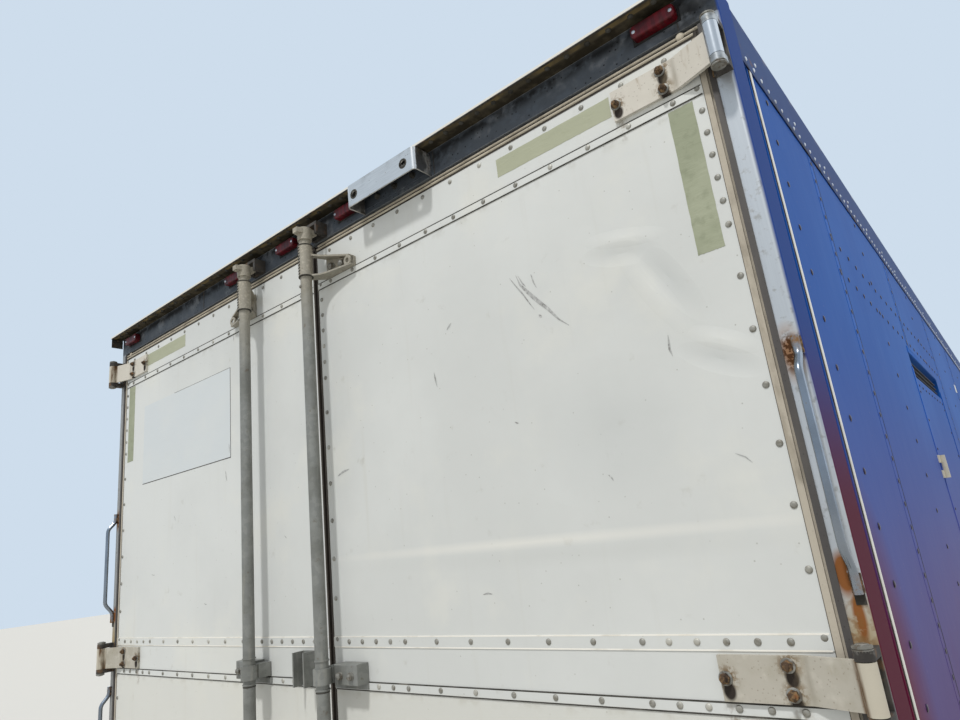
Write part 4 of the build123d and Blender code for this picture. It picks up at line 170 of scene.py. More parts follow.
@dataclass(frozen=True)
class Layer:
    """One layer over a base colour: its pattern, its real size and what it changes."""

    pattern: Pattern
    colour: str
    size: float = 100.0
    low: float = 0.45
    high: float = 0.65
    amount: float = 0.5
    roughness: float | None = None
    metallic: float | None = None
    depth: float = 0.0
    stretch: Triple = (1.0, 1.0, 1.0)
    where: tuple[Zone | Spot, ...] = ()
    facing: Triple | None = None

    def factor(self, tree: Tree, place: Socket) -> Socket:
        """Build the nodes that say how strongly the layer shows at each point.

        Args:
            tree: The material's node tree.
            place: The socket that gives the point in the trailer's frame.

        Returns:
            A socket from 0 to the layer's amount.
        """
        scale = 1000 / self.size
        spread = add_node(
            tree, "VectorMath", {"operation": "MULTIPLY", 1: [scale * s for s in self.stretch]}, {0: place}
        ).outputs[0]
        result = None
        if self.pattern is not Pattern.EVEN:
            kind, settings, output = self.pattern.value
            raw = add_node(tree, kind, {"Scale": 1.0, **settings}, {"Vector": spread}).outputs[output]
            if self.pattern is Pattern.CELL:
                raw = add_node(tree, "SeparateColor", links={0: raw}).outputs[0]
            limits = {"interpolation_type": "SMOOTHSTEP", "From Min": self.low, "From Max": self.high}
            result = add_node(tree, "MapRange", limits, {"Value": raw}).outputs[0]
        union = None
        for region in self.where:
            mask = region.mask(tree, place)
            union = mask if union is None else add_node(
                tree, "Math", {"operation": "MAXIMUM"}, {0: union, 1: mask}
            ).outputs[0]
        for extra in (union, self.facing and self.facing_mask(tree)):
            if extra is not None:
                result = extra if result is None else add_node(
                    tree, "Math", {"operation": "MULTIPLY"}, {0: result, 1: extra}
                ).outputs[0]
        return add_node(
            tree, "Math", {"operation": "MULTIPLY", 1: self.amount, "use_clamp": True}, {0: result}
        ).outputs[0]

    def facing_mask(self, tree: Tree) -> Socket:
        """Build the nodes that are 1 on faces that look along the layer's facing direction.

        Args:
            tree: The material's node tree.

        Returns:
            The mask's socket.
        """
        normal = add_node(tree, "TexCoord").outputs["Normal"]
        along = add_node(tree, "VectorMath", {"operation": "DOT_PRODUCT", 1: self.facing}, {0: normal})
        return add_node(
            tree, "MapRange", {"From Min": 0.35, "From Max": 0.9}, {"Value": along.outputs["Value"]}
        ).outputs[0]


def even(colour: str, amount: float, **more: Any) -> Layer:
    """Tint a surface evenly; more may keep the tint to regions."""
    return Layer(Pattern.EVEN, colour, amount=amount, **more)


def cloud(colour: str, size: float, low: float, high: float, amount: float, **more: Any) -> Layer:
    """Blotch a surface softly at a size in millimetres; the blotches fade in from low to high."""
    return Layer(Pattern.CLOUD, colour, size, low, high, amount, **more)


def speck(colour: str, size: float, low: float, high: float, amount: float, **more: Any) -> Layer:
    """Scatter spots some size apart, solid out to high and gone at low, as shares of the size."""
    return Layer(Pattern.SPECK, colour, size, low, high, amount, **more)


class Finish:
    """A surface finish: what the material is, and the layers that its making and use left on it."""

    colour: str = "#808080"
    roughness: float = 0.5
    metallic: float = 0.0
    specular: float = 0.5
    coat: float = 0.0
    coat_roughness: float = 0.1
    layers: tuple[Layer, ...] = ()

    def material(self) -> bpy.types.Material:
        """Build the finish's material once, and give the same one after that.

        Returns:
            The material.
        """
        name = type(self).__name__
        found = bpy.data.materials.get(name)
        if found:
            return found
        made = bpy.data.materials.new(name)
        made.use_nodes = True
        made.diffuse_color = linear(self.colour)
        tree = made.node_tree
        tree.nodes.clear()
        place = add_node(tree, "TexCoord").outputs["Object"]
        colour = add_node(tree, "RGB").outputs[0]
        colour.default_value = linear(self.colour)
        rough = metal = height = None
        for layer in self.layers:
            factor = layer.factor(tree, place)
            if layer.colour:
                colour = add_node(
                    tree, "Mix", {"data_type": "RGBA", 7: linear(layer.colour)}, {0: factor, 6: colour}
                ).outputs[2]
            if layer.roughness is not None:
                rough = self.blend(tree, rough, self.roughness, layer.roughness, factor)
            if layer.metallic is not None:
                metal = self.blend(tree, metal, self.metallic, layer.metallic, factor)
            if layer.depth:
                links = {0: factor} if height is None else {0: factor, 2: height}
                height = add_node(
                    tree, "Math", {"operation": "MULTIPLY_ADD", 1: layer.depth / 1000, 2: 0.0}, links
                ).outputs[0]
        bump = height and add_node(tree, "Bump", {"Strength": 1.0, "Distance": 1.0}, {"Height": height}).outputs[0]
        links = {"Base Color": colour, "Roughness": rough, "Metallic": metal, "Normal": bump}
        shader = add_node(
            tree, "BsdfPrincipled",
            {"Roughness": self.roughness, "Metallic": self.metallic, "Specular IOR Level": self.specular,
             "Coat Weight": self.coat, "Coat Roughness": self.coat_roughness},
            {name: source for name, source in links.items() if source is not None},
        )
        add_node(tree, "OutputMaterial", links={0: shader.outputs[0]})
        return made

    @staticmethod
    def blend(tree: Tree, before: Socket | None, start: float, value: float, factor: Socket) -> Socket:
        """Mix the number so far, or the finish's own at the start, towards a layer's by its factor."""
        links = {0: factor} if before is None else {0: factor, 2: before}
        return add_node(tree, "Mix", {"data_type": "FLOAT", 2: start, 3: value}, links).outputs[0]


def extent(node: str) -> tuple[Vector, Vector]:
    """Give a node's lowest and highest corners in millimetres."""
    low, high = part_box(node)
    return low * 1000, high * 1000


REAR = extent("rear_posts")[0].y
SIDE = extent("rear_posts")[1].x
POST_FRONT = extent("rear_posts")[1].y
SKIN = extent("right_side_wall")[1].x
INNER = extent("right_side_wall")[0].x
FRONT = extent("front_wall")[1].y
WALL_FRONT = extent("right_side_wall")[1].y
FLOOR = extent("floor_deck")[1].z
ROOF = extent("roof_panel")[1].z
TOP = extent("rear_header")[1].z
HEADER_LOW = extent("rear_header")[0].z
RAIL_LOW = extent("top_rails")[0].z
SKIRT_TOP = extent("bottom_rails")[1].z
RAIL_BOTTOM = extent("bottom_rails")[0].z
BEAM_BOTTOM = extent("crossmembers")[0].z
DOOR_LOW = extent("right_rear_door")[0].z
DOOR_TOP = extent("right_rear_door")[1].z
HINGE_TOP = extent("right_hinge_leaves")[1].z - 35
HINGE_BOTTOM = extent("right_hinge_leaves")[0].z + 35
HINGES = (HINGE_TOP, (HINGE_TOP + HINGE_BOTTOM) / 2, HINGE_BOTTOM)
ROD_X = {1: 70.0, -1: -255.0}
ROD_LINE = REAR - 60
BRACKETS = ((3637.5, -26.0), (1360.0, 26.0))
GUIDES = (2536.0, 1800.0)
CATCH_HEIGHT = HINGE_BOTTOM + 190
CATCH_FROM_ROD = 370.0
GRAB_X = 1286.0
GRABS = ((2036.0, 2450.0), (2672.0, 3076.0))
WHEEL_ENDS = {
    name: (1 if "right" in name else -1, sum((c.y for c in extent(f"{name}_tyres"))) / 2)
    for name in ("rear_left", "rear_right", "front_left", "front_right")
}
AXLE_Z = sum(c.z for c in extent("rear_left_tyres")) / 2


class Way(Enum):
    """Ways that a fitting can face; each row gives where its own x, y and outward z point."""

    REAR = ((1, 0, 0), (0, 0, 1), (0, -1, 0))
    FRONT = ((-1, 0, 0), (0, 0, 1), (0, 1, 0))
    RIGHT = ((0, 1, 0), (0, 0, 1), (1, 0, 0))
    LEFT = ((0, -1, 0), (0, 0, 1), (-1, 0, 0))
    UP = ((1, 0, 0), (0, 1, 0), (0, 0, 1))
    DOWN = ((1, 0, 0), (0, -1, 0), (0, 0, -1))

    @classmethod
    def outward(cls, hand: int) -> "Way":
        """Give the way that the wall of one hand faces."""
        return cls.RIGHT if hand > 0 else cls.LEFT

    @classmethod
    def inward(cls, hand: int) -> "Way":
        """Give the way that the inside of the wall of one hand faces."""
        return cls.LEFT if hand > 0 else cls.RIGHT



def at_hinges(places: Sequence[Pair], reach: Triple, out: float = 8.0) -> tuple[Spot, ...]:
    """Give a patch at each place across the door and above the middle of every hinge."""
    spots = [(hand * x, REAR - out, height + dz) for hand in (-1, 1) for height in HINGES for x, dz in places]
    return tuple(Spot(at, reach) for at in spots)


HEADER_FACE = Zone(y=(-7330, -7250), z=(3732, 3803.5), soft=1.5)
UPPER_POSTS = Zone(y=(-7330, -7300), z=(2640, 3731), soft=60)
SEAL_LIPS = tuple(Zone(x=x, z=(1290, 3700), soft=0.8) for x in ((1235, 1252), (-1252, -1235)))
BRIGHT_KNUCKLES = Zone(x=(1264, 1300), y=(-7400, -7341), z=(3560, 3720), soft=1.5)
LINING = Zone(x=(-1272, 1272), y=(-7260, 7254.4), soft=0.6)


class ChalkedDoorEnamelAndPaintedLight(Finish):
    """Off-white enamel on the riveted door sheets, chalked by sun and lightly dented."""

    # Sprayed enamel on sheet: a flat, faintly cool white whose tone drifts over half a metre, with rain
    # streaks, grit, a few pressed dents with painted shade and highlight, and a painted highlight in a band
    # across the right door with painted shade just under it.
    colour = "#D1D3D0"
    roughness = 0.42
    specular = 0.35
    layers = (
        cloud("#C2C4C1", 760, 0.4, 0.68, 0.6),
        cloud("#D9D8CE", 240, 0.5, 0.72, 0.4),
        cloud("#B9B5A8", 34, 0.56, 0.84, 0.22, stretch=(1, 1, 0.05), roughness=0.55),
        cloud("#9C988A", 48, 0.66, 0.8, 0.3),
        speck("#7D786B", 30, 0.07, 0.02, 0.5),
        cloud("", 460, 0.2, 0.8, 1.0, depth=1.6),
        # Painted highlight: a pale band across the right door, and painted shade just under it.
        even("#E2E0D8", 0.6, where=(Spot((700, REAR, 2797), (760, 60, 15), 1.0),)),
        even("#BDBFBB", 0.3, where=(Spot((760, REAR, 2768), (700, 60, 26), 1.0),)),
        # Painted shade and highlight: each dent is darker in its hollow and paler along its crease, over its bump.
        even("#B9BCBA", 0.5, depth=-4.0,
             where=(Spot((1096, REAR, 3250), (120, 60, 30), 62.0), Spot((1160, REAR, 3070), (85, 60, 26), 28.0),
                    Spot((1010, REAR, 3330), (90, 60, 26), 14.0), Spot((920, REAR, 2990), (230, 60, 150), 0.0))),
        even("#DCDDD8", 0.4, depth=3.0,
             where=(Spot((1060, REAR, 3236), (130, 60, 26), 62.0), Spot((1170, REAR, 3104), (75, 60, 20), 28.0),
                    Spot((1022, REAR, 3360), (95, 60, 20), 14.0))),
        cloud("#A09C8E", 40, 0.46, 0.66, 0.32,
              where=(Zone(z=(3562, 3577), soft=14), Zone(z=(2480, 2495), soft=9), Zone(z=(1300, 1420), soft=60))),
        even("#CFCBBC", 0.3, where=(Zone(z=(1300, 2494), soft=8),)),
        cloud("#6F5B41", 14, 0.42, 0.6, 0.75,
              where=(Spot((1064, REAR, 2486), (22, 60, 44)), Spot((1166, REAR, 2482), (22, 60, 54)),
                     Spot((-1064, REAR, 2496), (20, 60, 44)), Spot((1064, REAR, 3592), (16, 60, 40)))),
        # The back of each door is a scuffed plywood lining in a metal frame.
        cloud("#A79A82", 300, 0.2, 0.7, 0.9, roughness=0.7, where=(Zone(y=(-7279, 0), soft=2),)),
    )


class WeatheredStainlessAndPaintedLight(Finish):
    """Mill-rolled stainless of the rear frame, dull with road film, with painted shade and soot under the visor."""

    # Rolled sheet: a soft blue-grey sheen drawn out along its length, broken by dirt that isn't shiny.
    # The rolling lines are a few hundredths of a millimetre apart and are drawn at 3 mm to show.
    colour = "#C2C5C8"
    roughness = 0.34
    metallic = 0.9
    specular = 0.06
    layers = (
        cloud("#A5A9AE", 3, 0.3, 0.7, 0.5, stretch=(1, 1, 0.03), roughness=0.42,
              where=(Zone(z=(-100, 3731), soft=3),)),
        cloud("#A0A6AC", 180, 0.35, 0.65, 0.6, roughness=0.5),
        # Painted sheen: the upper posts are paler and less metallic, with fine pale streaks, as their bright
        # reflection.
        even("#CFD0CF", 0.85, metallic=0.3, where=(UPPER_POSTS,)),
        cloud("#B4B6B8", 30, 0.3, 0.7, 0.5, stretch=(1, 1, 0.04), where=(UPPER_POSTS,)),
        even("#8B8983", 0.75, metallic=0.3,
             where=(Zone(x=(-1296, -1245), y=(-7330, -7300), z=(1300, 3731), soft=3),)),
        cloud("#6F6E69", 14, 0.56, 0.72, 0.45, metallic=0.2, roughness=0.7),
        # The header's face under the visor: painted dark blue-grey as shade with a reflected sky, lighter at the
        # left, and painted black at the top and round the lamps and rod cams as their shadow, with soot.
        cloud("#3F464F", 90, 0.1, 0.5, 0.93, metallic=0.1, roughness=0.6, where=(HEADER_FACE,)),
        cloud("#6E747A", 60, 0.3, 0.7, 0.6, metallic=0.3,
              where=(Zone(x=(-1290, -430), y=(-7330, -7250), z=(3732, 3770), soft=16),)),
        cloud("#59616B", 26, 0.46, 0.7, 0.6, where=(Zone(y=(-7330, -7250), z=(3734, 3768), soft=10),)),
        cloud("#191817", 34, 0.34, 0.56, 0.92, metallic=0.0, roughness=0.85,
              where=(Zone(y=(-7330, -7250), z=(3780, 3803.5), soft=16),
                     *[Spot((x, REAR, 3780), (105, 60, 44)) for x in (-1173, -395, -90, 206, 1173, 560, 250)],
                     Spot((1240, REAR, 3760), (80, 60, 60)), Spot((70, REAR, 3760), (60, 60, 60)),
                     Spot((-255, REAR, 3760), (60, 60, 60)))),
        speck("#121110", 15, 0.2, 0.06, 0.85, metallic=0.0, where=(HEADER_FACE,)),
        # The visor's underside: olive road film, tan outside, and painted black against the header as the shade in
        # that corner.
        even("#4A4232", 0.97, metallic=0.0, roughness=0.85, facing=(0, 0, -1),
             where=(Zone(z=(3802.5, 3806), soft=0.8),)),
        cloud("#7A6A49", 55, 0.4, 0.62, 0.8, metallic=0.0, facing=(0, 0, -1),
              where=(Zone(y=(-7380, -7344), z=(3802.5, 3806), soft=0.9),)),
        # Painted shade: near black in the corner against the header.
        cloud("#13110E", 44, 0.36, 0.54, 0.95, metallic=0.0, facing=(0, 0, -1),
              where=(Zone(y=(-7341, -7300), z=(3802.5, 3806), soft=4),)),
        # Painted highlight: the visor's rear edge is pale as if sunlit.
        even("#DDDBD3", 0.95, metallic=0.0, roughness=0.5,
             where=(Zone(y=(-7400, -7362.2), z=(3803, 3900), soft=0.6),)),
        # Rust at the grab bars' ends, and the tan stain that runs from there to the middle hinge.
        cloud("#A8946A", 70, 0.25, 0.5, 0.92, metallic=0.0, roughness=0.75,
              where=(Spot((1278, REAR, 2610), (70, 60, 90)), Spot((-1278, REAR, 2610), (50, 60, 80)))),
        cloud("#835430", 20, 0.28, 0.44, 2.4, metallic=0.0, roughness=0.9,
              where=(Spot((1272, REAR, 2702), (18, 60, 40)), Spot((1279, REAR, 2640), (10, 60, 44)),
                     Spot((-1274, REAR, 2700), (18, 60, 34)))),
        cloud("#8C6B50", 30, 0.25, 0.5, 1.4, metallic=0.0, roughness=0.8,
              where=(Spot((1274, REAR, 3050), (26, 60, 60)), Spot((-1274, REAR, 3050), (26, 60, 50)))),
        cloud("#4E3422", 8, 0.4, 0.5, 2.2, metallic=0.0, roughness=0.9,
              where=(Spot((1274, REAR, 3050), (17, 60, 42)), Spot((1293, REAR, 3058), (8, 60, 26)),
                     Spot((-1274, REAR, 3050), (17, 60, 38)))),
        cloud("#7C5A35", 14, 0.46, 0.6, 0.8, metallic=0.0, where=(Spot((1270, REAR, 2600), (60, 60, 120)),)),
        # The posts' outer sides were sprayed with the wall; towards the top they are painted blue as a reflection
        # of the sky.
        even("#54142B", 1.0, metallic=0.0, roughness=0.6,
             where=(Zone(x=(1294.4, 1400), y=(-7316, 0), z=(1200, 3806), soft=0.5),
                    Zone(x=(-1400, -1294.4), y=(-7316, 0), z=(1200, 3806), soft=0.5))),
        # Painted reflection: blue sky on the posts' outer sides towards the top.
        even("#1F4084", 1.0, metallic=0.0, facing=(1, 0, 0), where=(Zone(x=(900, FAR), z=(2960, FAR), soft=190),)),
        even("#1F4084", 1.0, metallic=0.0, facing=(-1, 0, 0),
             where=(Zone(x=(-FAR, -900), z=(2960, FAR), soft=190),)),
    )


class SunFadedSeal(Finish):
    """Extruded door rubber, almost black in its channels and dusty on its faces."""

    # Matt rubber browned by dust, with pale crumbs where the sun has cracked it.
    colour = "#3B352F"
    roughness = 0.8
    specular = 0.3
    layers = (
        even("#B2AA9B", 1.0, where=SEAL_LIPS),
        cloud("#8E8576", 22, 0.5, 0.72, 0.6, stretch=(1, 1, 0.3), where=SEAL_LIPS),
        cloud("#5D554A", 35, 0.5, 0.75, 0.35, stretch=(1, 1, 0.4)),
        speck("#8B8170", 14, 0.12, 0.05, 0.3),
        cloud("", 8, 0.3, 0.7, 1.0, depth=0.2),
    )


class SealFlap(Finish):
    """The outer rubber flap that laps over the post."""

    # Newer dark rubber, wiped by the doors: an even charcoal with a fine bloom.
    colour = "#4A4745"
    roughness = 0.7
    specular = 0.3
    layers = (
        cloud("#5C5853", 60, 0.42, 0.68, 0.6, stretch=(1, 1, 0.3)),
        speck("#2A2725", 10, 0.16, 0.06, 0.5),
        cloud("", 9, 0.3, 0.7, 1.0, depth=0.15),
    )


class PaleSealBead(Finish):
    """The rounded beige beads along the door rubber."""

    # Beige rubber polished by rain: thin light lines beside dark ones, with dirt along their length.
    colour = "#BDB4A2"
    roughness = 0.65
    specular = 0.3
    layers = (
        cloud("#8A806F", 60, 0.45, 0.7, 0.7),
        cloud("#D2C9B6", 150, 0.5, 0.7, 0.5),
        speck("#4A4238", 12, 0.16, 0.05, 0.6),
    )


class StainedHingePaintAndBoltShadows(Finish):
    """Grey-cream paint brushed over the hinge straps, speckled and rust-stained."""

    # Brush paint on flame-cut plate: warm grey with a fine speckle, rust round the bolts and a dark patch under
    # each, partly a rust run and partly painted shadow, and the smoother, creamier barrels with a brown run down
    # one side. The top hinge has faded palest.
    colour = "#B0AB9F"
    roughness = 0.55
    specular = 0.35
    layers = (
        cloud("#9E9888", 60, 0.4, 0.66, 0.6, depth=0.15),
        cloud("#C4BFB3", 26, 0.5, 0.72, 0.55),
        even("#CFCABF", 0.8, where=(Zone(z=(3560, 3720), soft=20),)),
        speck("#6F6553", 7, 0.24, 0.08, 0.45),
        cloud("#8A7353", 14, 0.6, 0.76, 0.5, stretch=(1, 1, 0.2)),
        cloud("#6B532F", 6, 0.42, 0.56, 1.5, roughness=0.85,
              where=at_hinges(((1064, 1), (1166, 22), (1166, -20)), (24, 40, 24))),
        # Partly painted shadow: a dark patch just under each bolt, with a rust run in it.
        even("#2B231C", 3.0, roughness=0.8, where=at_hinges(((1065, -19), (1167, 3), (1167, -37)), (12, 40, 17))),
        cloud("#8C7B5C", 20, 0.4, 0.7, 0.7, stretch=(1, 1, 0.3), where=at_hinges(((1182, 0),), (22, 40, 50))),
        even("#BBB4A3", 0.85, where=(Zone(x=(1264, 1300), z=(1300, 3560), soft=3), Zone(x=(-1300, -1264), soft=3))),
        even("#B9BDC1", 1.0, roughness=0.28, metallic=0.8, where=(Zone(x=(1266, 1300), z=(3560, 3720), soft=2),)),
        cloud("#5E452A", 20, 0.3, 0.6, 1.0, stretch=(1, 1, 0.3),
              where=(Zone(x=(1262, 1273), z=(1300, 3560), soft=3), Zone(x=(-1273, -1262), soft=3))),
        even("#8F897B", 0.6, where=at_hinges(((1190, 0),), (8, 40, 60), 5)),
    )


class DullGalvanising(Finish):
    """Hot-dip zinc on the lock rods and their fittings, gone dull grey."""

    # Zinc weathers matt with a faint crystal pattern some 12 mm wide; dirt sits in the corners and the
    # upper ends are lighter and warmer.
    colour = "#82837F"
    roughness = 0.55
    metallic = 0.35
    specular = 0.4
    layers = (
        Layer(Pattern.CELL, "#94958F", 12, 0.35, 0.75, 0.4),
        cloud("#696A64", 90, 0.42, 0.66, 0.6, roughness=0.7, metallic=0.2),
        cloud("#A5A195", 24, 0.56, 0.76, 0.45, stretch=(1, 1, 0.12)),
        even("#A09887", 0.75, metallic=0.1, where=(Zone(z=(3520, 3990), soft=170),)),
        cloud("#C0B7A4", 7, 0.5, 0.66, 0.5, where=(Zone(z=(3580, 3990), soft=60),)),
        speck("#45413A", 11, 0.13, 0.04, 0.6, metallic=0.0),
        cloud("#5C4A30", 22, 0.62, 0.74, 0.5, metallic=0.0, roughness=0.85),
    )


class GrimeAndShadeSteel(Finish):
    """Bare steel of the hinge bases, rod keepers and visor lip, near black with grease and soot, and as painted
    shade behind the hinge barrels and rod cams.
    """

    # Rolled plate that was never repainted: dark, part metal, with brown blooms and rubbed edges. The dark is
    # also painted shade where the hinge bases sit behind the barrels and the keepers behind the cams.
    colour = "#4F4B46"
    roughness = 0.6
    metallic = 0.4
    layers = (
        cloud("#26221E", 40, 0.36, 0.6, 0.85, metallic=0.0, roughness=0.8),
        cloud("#6E4F30", 26, 0.52, 0.68, 0.7, metallic=0.0, depth=0.2),
        cloud("#8A8780", 18, 0.6, 0.74, 0.6),
        # The top right hinge's knuckles are as bright as its barrel.
        even("#A6A8A8", 1.0, roughness=0.34, metallic=0.8, where=(BRIGHT_KNUCKLES,)),
        cloud("#6C6862", 14, 0.45, 0.7, 0.6, where=(BRIGHT_KNUCKLES,)),
    )


class PolishedBar(Finish):
    """Stainless tube of the grab bars, rubbed bright by gloves."""

    # Drawn tube: a narrow bright light runs down it, browned near the welded feet.
    colour = "#8F969F"
    roughness = 0.2
    metallic = 1.0
    layers = (
        cloud("#7C8289", 60, 0.4, 0.66, 0.6, roughness=0.3),
        cloud("#7A5A36", 22, 0.4, 0.6, 1.6, metallic=0.1, roughness=0.7,
              where=tuple(Spot((hand * GRAB_X, REAR - 8, z), (20, 24, 34)) for hand in (-1, 1) for pair in GRABS
                          for z in pair)),
        speck("#57514A", 13, 0.12, 0.04, 0.6, metallic=0.0),
    )


class WeldRust(Finish):
    """Bare steel rusted brown round welds and on bolt heads."""

    # Old iron oxide: matt, dark brown with tan faces within a few millimetres.
    colour = "#4E3D2E"
    roughness = 0.85
    specular = 0.3
    layers = (
        cloud("#8A6F4C", 8, 0.48, 0.64, 0.8, depth=0.3),
        cloud("#2A211A", 10, 0.5, 0.66, 0.9),
        cloud("#7C4625", 16, 0.62, 0.74, 0.6),
    )


class ZincWasher(Finish):
    """Plated washers and pin caps, grey-brown with age."""

    # Thin plating worn through in spots, so it is half metal, half dirt.
    colour = "#7F7D76"
    roughness = 0.55
    metallic = 0.5
    layers = (
        cloud("#4F4435", 8, 0.46, 0.64, 0.8, metallic=0.0, depth=0.1),
        cloud("#A9A79F", 14, 0.52, 0.68, 0.6),
    )


class AluminiumRivet(Finish):
    """Domed aluminium rivets that the door paint has worn off."""

    # Brownish grey domes: dull metal with a dirt ring, lighter on the crown here and there.
    colour = "#8F8D85"
    roughness = 0.5
    metallic = 0.3
    layers = (
        cloud("#6E685B", 9, 0.42, 0.66, 0.75),
        cloud("#C6C3B8", 160, 0.5, 0.64, 0.7),
    )


class SealantLine(Finish):
    """Cream sealant along the pale edges of the overlapping strips."""

    # A smooth bright line that catches the light, duller where dust has settled on it.
    colour = "#E9E6DD"
    roughness = 0.4
    specular = 0.4
    layers = (
        cloud("#BDB8AA", 45, 0.52, 0.72, 0.55),
        cloud("#D9D2C2", 120, 0.5, 0.68, 0.6),
    )


class DirtAndShadeLine(Finish):
    """Trapped dirt along joints and in slots, grooves and bolt heads, and painted shade inside the guard box and
    beside the wall's edge trim.
    """

    # Thin, dark and matt, it reads as the joint from a distance.
    colour = "#4B4944"
    roughness = 0.9
    specular = 0.2
    layers = (
        cloud("#2F2D29", 45, 0.42, 0.64, 0.8),
        cloud("#8A877C", 70, 0.6, 0.76, 0.6),
    )


class FadedTape(Finish):
    """Plain marking tape whose face has faded to khaki."""

    # Matt plastic film with fine cross wrinkles and small chips; the level strips have bleached more.
    colour = "#939880"
    roughness = 0.6
    specular = 0.3
    layers = (
        cloud("#A2A68F", 140, 0.42, 0.64, 0.7),
        cloud("#7E836C", 20, 0.52, 0.7, 0.4, depth=0.1),
        even("#ABAD95", 0.75, where=(Zone(z=(3615, 3700), soft=6),)),
        cloud("#BDBDAC", 5, 0.64, 0.78, 0.6),
        cloud("", 30, 0.4, 0.6, 1.0, depth=0.4, stretch=(0.3, 1, 1)),
    )


class DecalFilm(Finish):
    """A blank film patch on the left door."""

    # Slightly bluer and smoother than the chalked paint round it, and lifted in soft folds.
    colour = "#CACFD0"
    roughness = 0.34
    specular = 0.35
    layers = (
        cloud("#CFD2D0", 180, 0.4, 0.7, 0.6),
        cloud("", 200, 0.3, 0.7, 1.0, depth=0.8, stretch=(0.4, 1, 1)),
    )


class Scuff(Finish):
    """Rub marks and scratches through the enamel."""

    # Bare grey metal with dark rubber smears in it, thin and matt.
    colour = "#A9AAA8"
    roughness = 0.7
    specular = 0.3
    layers = (
        cloud("#7B7A77", 12, 0.46, 0.64, 0.8),
        cloud("#C6C7C4", 7, 0.5, 0.66, 0.8),
    )


class BrushedGuardSteel(Finish):
    """Brushed stainless of the guard box on the header."""

    # Brushed lengthwise and still bright: its lines are under 0.1 mm and drawn 2 mm apart to show. Everything
    # inside the box is painted dark as its shade, with soot, and darkest at the back.
    colour = "#DDDBD8"
    roughness = 0.3
    metallic = 1.0
    layers = (
        cloud("#BFBEBC", 2, 0.3, 0.7, 0.6, stretch=(0.04, 1, 1), roughness=0.38),
        cloud("#8B8985", 70, 0.5, 0.72, 0.5, roughness=0.5),
        speck("#4B4640", 15, 0.14, 0.04, 0.7, metallic=0.0),
        # Painted shade: near black inside the box, darker still towards the header.
        cloud("#2A2622", 30, 0.3, 0.55, 0.9, metallic=0.0, roughness=0.8,
              where=(Zone(x=(272, 531), y=(-7374.5, -7300), z=(3733, 3794), soft=1.2),)),
        cloud("#3A342D", 24, 0.4, 0.62, 0.8, metallic=0.0, roughness=0.8, where=(Zone(y=(-7336, -7300), soft=12),)),
    )


class RedLens(Finish):
    """Moulded red acrylic of the marker and tail lamps, dusty and unlit."""

    # Deep red under a film of dust; the prisms behind the face are 4 mm apart and show as faint lines.
    colour = "#4E0811"
    roughness = 0.36
    specular = 0.2
    coat = 0.15
    coat_roughness = 0.2
    layers = (
        Layer(Pattern.WEAVE, "#690E1A", 26, 0.2, 0.8, 0.6, stretch=(1, 0, 0), depth=0.3),
        cloud("#2E070C", 34, 0.4, 0.62, 0.75),
        cloud("#6B4A42", 40, 0.6, 0.78, 0.35, roughness=0.7),
    )


class AmberLens(Finish):
    """Moulded amber acrylic of the side markers."""

    # As the red lens, but orange and paler through its prisms.
    colour = "#C0661A"
    roughness = 0.25
    coat = 0.6
    layers = (
        Layer(Pattern.WEAVE, "#DA8A38", 26, 0.2, 0.8, 0.6, stretch=(0, 1, 0), depth=0.3),
        cloud("#7E6A52", 40, 0.56, 0.76, 0.35, roughness=0.7),
    )


class PlumPaintAndSkyReflection(Finish):
    """Two-pack plum paint on the side sheets, with a painted reflection of the sky that turns it blue towards the
    roof; a ply lining inside.
    """

    # Maroon at the foot; above it a painted reflection of the sky turns the colour violet and then blue. Dulled
    # by dust under a faint clear shine, with soft waves between the posts and dirty runs. The inner face is
    # varnished ply in place of paint.
    colour = "#1C52A2"
    roughness = 0.5
    specular = 0.03
    coat = 0.05
    coat_roughness = 0.2
    layers = (
        # Painted sky reflection: the blue base and this blue cloud, and the violet lower down.
        cloud("#2A5FAE", 900, 0.4, 0.65, 0.7),
        even("#574A80", 0.9, where=(Zone(z=(900, 2820), soft=460),)),
        even("#5E1D38", 0.95, where=(Zone(z=(900, 2180), soft=560),)),
        even("#611B36", 1.3,
             where=(Spot((1292, -7220, 2480), (60, 240, 400)), Spot((-1292, -7220, 2480), (60, 240, 400)))),
        cloud("#6B2448", 240, 0.5, 0.7, 0.4, where=(Zone(z=(900, 2300), soft=500),)),
        cloud("", 420, 0.2, 0.8, 1.0, depth=2.2, stretch=(1, 1, 0.6)),
        cloud("#3F4F7E", 34, 0.6, 0.85, 0.25, stretch=(1, 1, 0.05), roughness=0.5),
        cloud("#7F7068", 60, 0.3, 0.9, 0.4, roughness=0.75, stretch=(1, 1, 0.3),
              where=(Zone(z=(1300, 1560), soft=200),)),
        speck("#8B7F86", 34, 0.08, 0.02, 0.35),
        even("#A68A64", 1.0, roughness=0.5, where=(LINING,)),
        cloud("#8F7450", 400, 0.35, 0.75, 0.6, stretch=(1, 0.2, 1), where=(LINING,)),
        cloud("#7E6340", 22, 0.45, 0.65, 0.6, stretch=(1, 0.05, 1), where=(LINING,)),
    )


